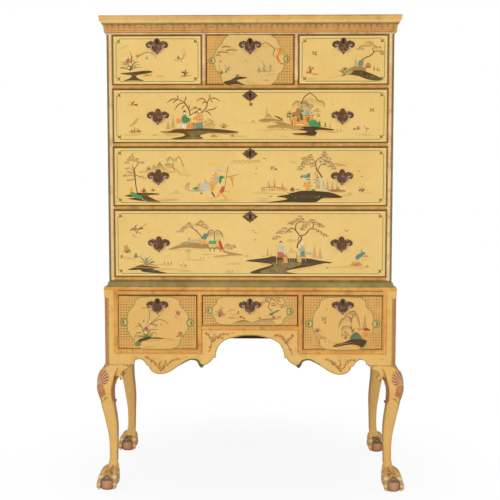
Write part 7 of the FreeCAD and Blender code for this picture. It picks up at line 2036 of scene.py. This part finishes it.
# The sprays of the apron: for each, the lines of its stalks.
APRON_SPRAYS = [([(-316.9, -25.2), (-334.6, 1.3), (-353.4, 15.2), (-369.8, 25.7)],
    [(-316.9, -25.2), (-293.3, -2.2), (-272.5, 15.2), (-251.9, 18.7)],
    [(-316.9, -25.2), (-320.8, -2.2), (-319, 8.3)], [(-314.1, -19.6), (-303.6, -2.2), (-298.1, 8.3)]),
    ([(-145.1, 44.5), (-138.2, 67.4), (-132.6, 88.3), (-124.3, 105.6)],
    [(-132.6, 81.3), (-115.4, 98.7), (-96.9, 108.4), (-74.2, 109.1)],
    [(-132.6, 88.3), (-144.9, 102.2), (-155.2, 109.1)], [(-124.4, 95.2), (-107.2, 96.6), (-96.2, 95.2)]),
    ([(151.3, 34), (139.5, 60.5), (126.4, 82.7), (111.9, 102.2)],
    [(126.4, 81.3), (115.3, 96.6), (101.6, 104.9), (90.6, 103.5)],
    [(126.4, 82.7), (142.8, 95.2), (153.8, 104.9)], [(129.1, 74.4), (136, 88.3), (146.2, 98.7)]),
    ([(321.6, -25.2), (308.4, -5.7), (291, 11.8), (268.3, 18)], [(321.6, -25.2), (335.9, -2.2), (353, 15.2),
    (370.8, 16.6)], [(321.6, -23.1), (319.4, -2.2), (319.9, 13.2)],
    [(315.3, -16.1), (301.4, 1.3), (289.7, 6.2)])]


def paint_apron(p):
    """Brown flower sprays on the shaped apron, and the line along its edge."""
    tones = ((134, 98, 46), (170, 120, 58), (118, 82, 20), (192, 136, 70))
    for side in (-1, 1):
        p.line([(side * x, z) for x, z in APRON_LINE], 1.8, (132, 128, 70), 1.0)
    for spray in APRON_SPRAYS:
        for path in spray:
            p.stroke(path, 1.1, (112, 80, 42), 0.85, (0.9, 0.3))
            line = smooth_line(path, 5)
            for k in range(1, len(line)):
                x, z = line[k]
                for angle in (p.draw.uniform(15, 85), p.draw.uniform(95, 170), p.draw.uniform(200, 340)):
                    if p.draw.random() < 0.8:
                        p.leaf(x, z, p.draw.uniform(5, 9), angle, 2.2, p.draw.choice(tones), 0.8)
            for share in (1.0, 0.62, 0.3):
                x, z = line[int(share * (len(line) - 1))]
                flower(p, x + p.draw.uniform(-3, 3), z + p.draw.uniform(-2, 3), p.draw.uniform(3.5, 6.0),
                    p.draw.choice(((204, 142, 66), (182, 122, 58), (208, 156, 84))), (118, 76, 20), 5)


# Lines and scrolls along the lower edge of the stand -----------------------------------------------

POST_INNER = 467.5
JOINT = 453.0
ARCH_RISE = 105.0
# The apron's lower edge from the post to the middle, as shares of the post's place and of the arch's rise.
APRON_EDGE = [(0.881, 0.067), (0.872, 0.13), (0.8385, 0.171), (0.815, 0.13), (0.785, -0.048), (0.770, -0.052),
    (0.753, -0.219), (0.7166, -0.314), (0.680, -0.338), (0.646, -0.314), (0.582, -0.181), (0.541, -0.048),
    (0.490, 0.095), (0.449, 0.171), (0.4064, 0.143), (0.390, 0.08), (0.381, -0.03), (0.371, -0.105),
    (0.361, -0.048), (0.352, -0.048), (0.335, -0.01), (0.2995, 0.095), (0.284, 0.18), (0.278, 0.229),
    (0.262, 0.229), (0.2585, 0.34), (0.255, 0.419), (0.250, 0.505), (0.243, 0.571), (0.235, 0.64),
    (0.205, 0.781), (0.1626, 0.876), (0.110, 0.945), (0.0706, 0.981), (0.0, 1.0)]
LINE_INSET = 2.2


def inset_line(points, inset):
    """The line moved sideways by an inset."""
    return [(x + side.x * inset, z + side.y * inset) for (x, z), side in zip(points, offsets(points))]


APRON_LINE = inset_line([(x * POST_INNER, z * ARCH_RISE) for x, z in APRON_EDGE], -LINE_INSET)


KEYHOLE_DROP = 16.5
PLATE_THICK = 0.0016

SCENES = {
    "short_left": paint_short_left, "short_centre": paint_short_centre, "short_right": paint_short_right,
    "long_upper": paint_long_upper, "long_middle": paint_long_middle, "long_lower": paint_long_lower,
    "stand_left": paint_stand_left, "stand_centre": paint_stand_centre, "stand_right": paint_stand_right,
}
for d, paint_scene in SCENES.items():
    foot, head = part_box(f"drawer_{d}")
    front = CASE_FRONT if d in CASE_DRAWERS else STAND_FRONT
    painting = Painting(f"painting_{d}", f"drawer_{d}",
        ((foot[0] + head[0]) / 2, front, (foot[2] + head[2]) / 2), "drawer_japanning")
    if d in ("short_left", "short_right", "long_upper", "long_middle", "long_lower"):
        field_border(painting, (head[0] - foot[0]) / 2 / MM, (head[2] - foot[2]) / 2 / MM)
    paint_scene(painting)
    # A black patch of painted shade behind the keyhole.
    keyhole_shade_patch(painting, (head[2] - foot[2]) / 2 / MM - KEYHOLE_DROP)
    painting.finish(BRUSHWORK)
    # A ring of painted shade round the keyhole, on its plate.
    rim = Painting(f"keyhole_rim_{d}", f"drawer_{d}", ((foot[0] + head[0]) / 2, front - PLATE_THICK,
        head[2] - KEYHOLE_DROP * MM), "bronze")
    keyhole_shade_ring(rim)
    rim.finish(BRUSHWORK)
apron_painting = Painting("painting_apron", "carcase", (0, STAND_FRONT, JOINT * MM), "stand_japanning")
paint_apron(apron_painting)
apron_painting.finish(BRUSHWORK)


def paint_side(p):
    """A border and one flowering spray on a side of the case, mirrored from the other side by its sign."""
    field_border(p, SIDE_HALF_WIDTH, SIDE_HALF_HEIGHT)
    island(p, at(-118, -250, -60, -238, 0, -244, 70, -232, 116, -240, 60, -258, 30, -282, 70, -300, -60, -300,
        -24, -282, -30, -262))
    for path in (at(-6, -244, -26, -150, 12, -60, -14, 40, 22, 130), at(-2, -60, 60, -10, 84, 60),
            at(-6, 10, -70, 50, -96, 120), at(4, -150, -58, -110, -84, -50), at(4, 90, 56, 120, 70, 176)):
        trunk(p, path, 3.2)
        line = smooth_line(path, 6)
        for k in range(4, len(line), 2):
            x, z = line[k]
            for angle in (p.draw.uniform(10, 80), p.draw.uniform(100, 170)):
                p.leaf(x, z, p.draw.uniform(12, 20), angle, 6.0, p.draw.choice((BROWN, LEAF, SOFT_BROWN)), 0.9)
        x, z = line[-1]
        flower(p, x, z, p.draw.uniform(11, 15), p.draw.choice((RED, ROSE, GOLD)), WHITE, 7)
        x, z = line[len(line) // 2]
        flower(p, x + 4, z, p.draw.uniform(7, 10), p.draw.choice((ROSE, GOLD)), WHITE, 6)
    grass(p, -70, -240, 60, 9, (BROWN, LEAF, SOFT_BROWN), 60, 1.2)
    grass(p, 84, -236, 44, 8, (BROWN, EARTH), 60, 1.2)
    flying_bird(p, -70, 230, 52)
    flying_bird(p, 78, 280, 40, (TEAL, GOLD), -1)
    ripples(p, -40, -312, 90, 3)


side_foot, side_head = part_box("case_sides")
SIDE_HALF_WIDTH = (side_head[1] - side_foot[1]) / 2 / MM - 14
SIDE_HALF_HEIGHT = (side_head[2] - side_foot[2]) / 2 / MM - 34
for name, place, outward in (("left", side_foot[0], (-1, 0, 0)), ("right", side_head[0], (1, 0, 0))):
    painting = Painting(f"painting_side_{name}", "carcase", (place, (side_foot[1] + side_head[1]) / 2,
        (side_foot[2] + side_head[2]) / 2 - 0.006), "case_japanning", outward)
    paint_side(painting)
    painting.finish(BRUSHWORK)


# Legs ----------------------------------------------------------------------------------------------

FOOT = (511.5, 235.0)
BALL_HEIGHT = 27.0
BALL_RADIUS = 35.0
SHELL_HINGE = 388.0
SHELL_SPREAD = 102.0
SHELL_RIBS = 6.5
GRAIN = 0.0018
# Heights on a leg: where its forms begin and end.
TOES_TOP = 66
ANKLE = 132
KNEE_FOOT = 290
HUSK_FOOT = 334
SHELL_FOOT = 374
HUSK_TOP = 391
SQUARE_FOOT = 436
KNEE_TOP = 446
SMOOTHED_BELOW = 0.452


def smooth_share(low, high, value):
    """0 below low, 1 above high, smooth between."""
    t = min(max((value - low) / (high - low), 0.0), 1.0)
    return t * t * (3 - 2 * t)


def mix_tones(a, b, t):
    """The tone that lies a share of t from a to b."""
    return tuple(p + (q - p) * t for p, q in zip(a, b))


def gap_to_run(px, pz, start, end):
    """How far a point lies from a straight run."""
    (ax, az), (bx, bz) = start, end
    dx, dz = bx - ax, bz - az
    t = min(max(((px - ax) * dx + (pz - az) * dz) / (dx * dx + dz * dz), 0.0), 1.0)
    return math.hypot(px - ax - dx * t, pz - az - dz * t)


def shell_on_knee(along, z, relief, tone, cover):
    """The scallop shell that wraps the corner of the knee."""
    up = z - SHELL_HINGE
    reach = math.hypot(along / 0.96, up)
    angle = abs(math.degrees(math.atan2(along, up)))
    if angle > SHELL_SPREAD or reach > 56:
        return relief, tone, cover
    rim = 50.0 - 5.0 * (angle / 75) ** 2 - 13.0 * smooth_share(72, SHELL_SPREAD, angle)
    rib = 0.5 + 0.5 * math.cos(math.tau * SHELL_RIBS * angle / SHELL_SPREAD)
    edge = rim * (0.93 + 0.07 * rib)
    if reach < edge:
        rise = smooth_share(2, 13, reach) * smooth_share(0, 5, edge - reach)
        relief = 0.9 * smooth_share(0, 4, edge - reach) + 1.5 * rise * (rib - 0.35)
        pale = mix_tones((246, 224, 190), (224, 168, 120), smooth_share(8, 24, reach))
        tone = mix_tones((138, 84, 46), pale, smooth_share(0.30, 0.72, rib))
        cover = 0.55 + 0.4 * smooth_share(2, 9, reach)
    elif reach < edge + 4:
        relief, tone, cover = -0.5, (158, 106, 58), 0.8 * (1 - (reach - edge) / 4)
    return relief, tone, cover


def husk_under_shell(along, z, relief, tone, cover):
    """The tapering husk below the shell, its dark tip and the leaf at its side."""
    if HUSK_FOOT < z < HUSK_TOP:
        half = 1 + 32 * smooth_share(330, 352, z) - 6 * smooth_share(366, 388, z)
        side = abs(along) / half
        if side < 1:
            wave = math.sin(z * 0.55 + abs(along) * 0.35)
            relief = (1.5 * math.sqrt(1 - side * side) * smooth_share(HUSK_FOOT, 342, z)
                * (1 - smooth_share(378, HUSK_TOP, z)))
            relief -= 0.7 * (1 - smooth_share(0.0, 0.16, side))
            relief += 0.4 * wave
            tone = mix_tones((192, 138, 96), (198, 128, 68), smooth_share(0.3, 0.7, side))
            tone = mix_tones(tone, (160, 104, 66), 0.5 + 0.5 * wave)
            tone = mix_tones(tone, (186, 92, 62),
                0.85 * (1 - smooth_share(6, 13, math.hypot(abs(along) - 19, z - 353))))
            cover = 0.78 * (1 - smooth_share(0.75, 1.0, side)) * (1 - smooth_share(384, HUSK_TOP, z))
    if gap_to_run(along, z, (0, 338), (0, 330)) < 5:
        tone, cover = (70, 54, 36), 0.9
    for start, end in (((-12, 324), (-30, 337)), ((-30, 337), (-18, 335)), ((12, 324), (30, 337)),
            ((30, 337), (18, 335)), ((0, 332), (0, 296)), ((-12, 324), (0, 316)), ((12, 324), (0, 316))):
        near = gap_to_run(along, z, start, end)
        if near < 2.6:
            tone, cover = (128, 122, 72), 0.85 * (1 - smooth_share(1.0, 2.6, near))
    return relief, tone, cover


def foot_below(across, other, z, relief, tone, cover):
    """Claws, the ball between them and the dark hollow above it."""
    reach = math.sqrt(across * across + other * other + (z - BALL_HEIGHT) ** 2)
    outer = across > 0 or other > 0
    around = across if abs(other) > abs(across) else other
    if z < 60 and reach < BALL_RADIUS + 1.0:
        arch = 52.0 - 0.045 * around * around
        # Painted light and shade on the ball: lighter across its middle, darker towards its sides and at its
        # foot.
        tone = mix_tones((174, 116, 80), (204, 146, 108), math.exp(-(around / 15) ** 2))
        tone = mix_tones((120, 72, 38), tone, smooth_share(1, 9, z))
        cover = 0.95
        if z > 35:
            tone = mix_tones(tone, mix_tones((104, 96, 74), (156, 148, 126), smooth_share(44, 50, z)),
                smooth_share(35, 38, z))
        if z > arch:
            tone, cover = (196, 150, 90), 0.8
        if abs(z - arch - 1.0) < 1.8 and z > 30:
            tone, cover = (96, 64, 32), 0.85
        # Painted shade where the ball meets the claws.
        if reach > BALL_RADIUS + 0.35 and z < arch + 2:
            tone = (86, 54, 26)
    elif z < TOES_TOP:
        knuckle = math.exp(-((z - 50) / 7) ** 2) + 0.8 * math.exp(-((z - 24) / 7) ** 2)
        relief = 1.5 * knuckle * smooth_share(0.5, 4, reach - BALL_RADIUS)
        tone = mix_tones((190, 150, 98), (228, 200, 150), smooth_share(0.25, 0.95, knuckle))
        # Painted shade on the claws next to the ball.
        tone = mix_tones((74, 48, 24), tone, max(smooth_share(1.2, 4.8, reach - BALL_RADIUS),
            smooth_share(40, 48, z)))
        cover = 0.92 * (1 - smooth_share(58, TOES_TOP, z) * 0.7)
        if z < 13 and reach > BALL_RADIUS + 3:
            tone = mix_tones(tone, (236, 222, 200), 0.85)
        if z < 3.5:
            tone, cover = (88, 60, 36), 0.9
    if 54 < z < ANKLE and outer and reach > BALL_RADIUS + 1.0:
        if cover < 0.4:
            tone, cover = (184, 140, 84), max(cover, 0.5 * (1 - smooth_share(TOES_TOP, 118, z)))
        for start, end, deep in (((-10, 60), (-25, 108), 1.0), ((3, 64), (-13, 112), 0.6),
                ((-20, 62), (-28, 96), 0.5)):
            near = gap_to_run(across, z, start, end)
            if near < 5:
                share = 1 - smooth_share(0.6, 5, near)
                relief -= 1.2 * deep * share
                tone, cover = mix_tones(tone, (140, 92, 50), share), max(cover, 0.8 * share * deep)
    return relief, tone, cover


def carve_vertex(point, normal):
    """How far one point of a leg is raised in mm, and the tone and cover of its paint."""
    ax, by, z = abs(point.x) / MM - FOOT[0], abs(point.y) / MM - FOOT[1], point.z / MM
    along = ax - by
    across, other = (ax, by) if along < 0 else (by, ax)
    relief, tone, cover = 0.0, (206, 160, 96), 0.0
    # Painted shade, with some dirt: the inner faces of the legs are darker brown.
    inward = -normal.x * math.copysign(1, point.x)
    if inward > 0.6 and z > 100:
        tone, cover = (132, 84, 38), 0.55 * smooth_share(0.66, 0.92, inward)
    if z > 449.6 and normal.z < 0.5:
        tone, cover = (122, 100, 48), 0.75
    if z > SQUARE_FOOT:
        strip = abs(along) - 13 * smooth_share(SQUARE_FOOT, JOINT, z) - 4
        if strip < 3 and z < 454:
            tone = mix_tones((178, 126, 80), (132, 88, 52), smooth_share(-3, 1, strip))
            cover = 0.85 * (1 - smooth_share(1, 3, strip))
    if ax > -40 and by > -40 and KNEE_FOOT < z < KNEE_TOP and ax + by > -22:
        if z < HUSK_TOP:
            relief, tone, cover = husk_under_shell(along, z, relief, tone, cover)
        if z > SHELL_FOOT:
            relief, tone, cover = shell_on_knee(along, z, relief, tone, cover)
    if z < ANKLE:
        relief, tone, cover = foot_below(across, other, z, relief, tone, cover)
    return relief, tone, cover


def make_leg(node):
    """A carved leg in the leg's own place: its solids joined, refined and given their relief and colours."""
    side = node[4:]
    joined = bmesh.new()
    joined.from_mesh(bpy.data.objects[node].data)
    bmesh.ops.remove_doubles(joined, verts=joined.verts[:], dist=0.00001)
    made = mesh_object(f"carved_leg_{side}", joined)
    grain = made.modifiers.new("grain", "REMESH")
    grain.mode = "VOXEL"
    grain.voxel_size = GRAIN
    graph = bpy.context.evaluated_depsgraph_get()
    fine = bpy.data.meshes.new_from_object(made.evaluated_get(graph))
    made.modifiers.clear()
    bm = bmesh.new()
    bm.from_mesh(fine)
    bpy.data.meshes.remove(fine)
    for _ in range(2):
        low_part = [v for v in bm.verts if v.co.z < SMOOTHED_BELOW]
        bmesh.ops.smooth_vert(bm, verts=low_part, factor=0.5, use_axis_x=True, use_axis_y=True, use_axis_z=True)
    tint = bm.verts.layers.float_color.new("tint")
    bm.normal_update()
    moves = []
    for vertex in bm.verts:
        relief, tone, cover = carve_vertex(vertex.co, vertex.normal)
        red, green, blue, _ = srgb(*tone)
        vertex[tint] = (red, green, blue, cover)
        moves.append(vertex.normal * relief * MM)
    for vertex, move in zip(bm.verts, moves):
        vertex.co += move
        vertex.co.z = min(max(vertex.co.z, 0.0), JOINT * MM)
    for face in bm.faces:
        face.smooth = True
    bm.to_mesh(made.data)
    bm.free()
    made.data.materials.append(LEG_PAINT)
    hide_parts(node)
    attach(made, "carcase")


LEG_PAINT = make_brushwork("leg_paint", (srgb(228, 184, 104), srgb(214, 162, 88)),
    (srgb(228, 184, 104), srgb(214, 162, 88)), rub=0.24)
for leg in LEGS:
    make_leg(leg)


# Scrolls and edge mouldings ------------------------------------------------------------------------

def strip_piece(name, runs, finish, deep):
    """Raised strips: each a smooth line of (place, radius) in millimetres, deepened along one axis."""
    bm = bmesh.new()
    for run, front in runs:
        curve = bpy.data.curves.new(name, "CURVE")
        curve.dimensions = "3D"
        curve.bevel_depth = MM
        curve.bevel_resolution = 3
        curve.use_fill_caps = True
        spline = curve.splines.new("POLY")
        smooth = smooth_line([p for p, _ in run], 6)
        spline.points.add(len(smooth) - 1)
        for k, (point, place) in enumerate(zip(spline.points, smooth)):
            share = k / 6
            low = min(int(share), len(run) - 2)
            radius = run[low][1] + (run[low + 1][1] - run[low][1]) * (share - low)
            point.co = (place[0] * MM, 0.0, place[1] * MM, 1.0)
            point.radius = radius
        holder = bpy.data.objects.new(name, curve)
        piece = bpy.data.meshes.new_from_object(holder)
        for vertex in piece.vertices:
            x, y, z = vertex.co
            vertex.co = front(x, y * deep, z)
        bm.from_mesh(piece)
        bpy.data.meshes.remove(piece)
        bpy.data.objects.remove(holder)
        bpy.data.curves.remove(curve)
    bmesh.ops.remove_doubles(bm, verts=bm.verts[:], dist=0.00001)
    bmesh.ops.recalc_face_normals(bm, faces=bm.faces[:])
    for face in bm.faces:
        face.smooth = True
    made = mesh_object(name, bm)
    made.data.materials.append(finish)
    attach(made, "carcase")


KNEE_SCROLL = [((464.5, 403.0), 1.6), ((461.0, 397.5), 2.8), ((458.4, 401.5), 3.1), ((461.5, 407.5), 2.8),
    ((469.0, 409.0), 3.2), ((476.5, 402.0), 4.0), ((482.0, 389.0), 4.6), ((485.6, 375.0), 5.0),
    ((486.6, 360.0), 5.0), ((486.2, 345.0), 4.8), ((484.4, 331.0), 4.4), ((481.6, 322.0), 3.8),
    ((477.8, 323.5), 3.2), ((478.2, 329.5), 2.0)]
scroll_paint = painted("scroll_paint", srgb(166, 108, 66), srgb(136, 82, 48), mottle=0.9, crazing=0.2, worn=0.2,
    worn_fine=0.7, dirt=0.4, worn_to=srgb(224, 176, 128))


def at_knee(side_x, side_y, lengthwise):
    """Places a knee scroll on the swelling of the knee and, at its hook, on the flat bracket."""
    def place(x, y, z):
        swell = 0.2655 - 2.64 * (z - 0.377) ** 2 - 0.240
        face = 0.240 + swell * smooth_share(0.467, 0.481, x) - 0.0065 + min(y, 0.0085)
        if lengthwise:
            return side_x * (face + 0.2765), side_y * (x - 0.2765), z
        return side_x * x, side_y * face, z
    return place


for leg, side_x, side_y in (("front_right", 1, -1), ("front_left", -1, -1), ("back_right", 1, 1),
        ("back_left", -1, 1)):
    runs = [(KNEE_SCROLL, at_knee(side_x, side_y, True))]
    if side_y < 0:
        runs.append((KNEE_SCROLL, at_knee(side_x, side_y, False)))
    strip_piece(f"knee_scroll_{leg}", runs, scroll_paint, 2.0)

# The apron's green scrolls: each a line of shares as above with its radius.
APRON_SCROLL = [((0.552, -0.085), 1.2), ((0.520, 0.010), 2.0), ((0.490, 0.090), 2.6), ((0.449, 0.166), 3.0),
    ((0.4064, 0.138), 3.6), ((0.388, 0.06), 4.4), ((0.379, -0.03), 4.6), ((0.366, -0.085), 4.4),
    ((0.360, -0.030), 3.4), ((0.372, -0.012), 2.4)]
scroll_green = painted("scroll_green", srgb(96, 104, 52), srgb(66, 74, 40), mottle=0.9, crazing=0.2, worn=0.22,
    worn_fine=0.6, dirt=0.4, worn_to=srgb(176, 160, 96))
green_run = [((x * POST_INNER, JOINT + z * ARCH_RISE + 1.5), radius) for (x, z), radius in APRON_SCROLL]
strip_piece("apron_scrolls", [(green_run, lambda x, y, z, side=side: (side * x, STAND_FRONT + 0.0012 + y, z))
    for side in (-1, 1)], scroll_green, 0.8)

# The line along a knee bracket, and its berries.
BRACKET_LINE = [(416, -3.4), (427.2, -7.6), (435.4, -17.8), (443.8, -22.6), (451.2, -26.2), (457.0, -33.6),
    (458.4, -41.5)]
for side in (-1, 1):
    painting = Painting(f"painting_bracket_{'left' if side < 0 else 'right'}", "carcase",
        (0, STAND_FRONT - 0.0004, JOINT * MM), "leg_japanning")
    painting.line([(side * (x + 1.4), z + 2.4) for x, z in BRACKET_LINE], 1.9, (118, 112, 58), 1.0)
    for x, z, radius, tone in ((436.5, -4.0, 3.0, (168, 92, 48)), (446.0, -3.0, 2.2, (168, 100, 54)),
            (430.0, -9.0, 1.8, (168, 92, 48))):
        painting.dot(side * x, z, radius, tone, 0.95, 7)
    painting.finish(LEG_PAINT)
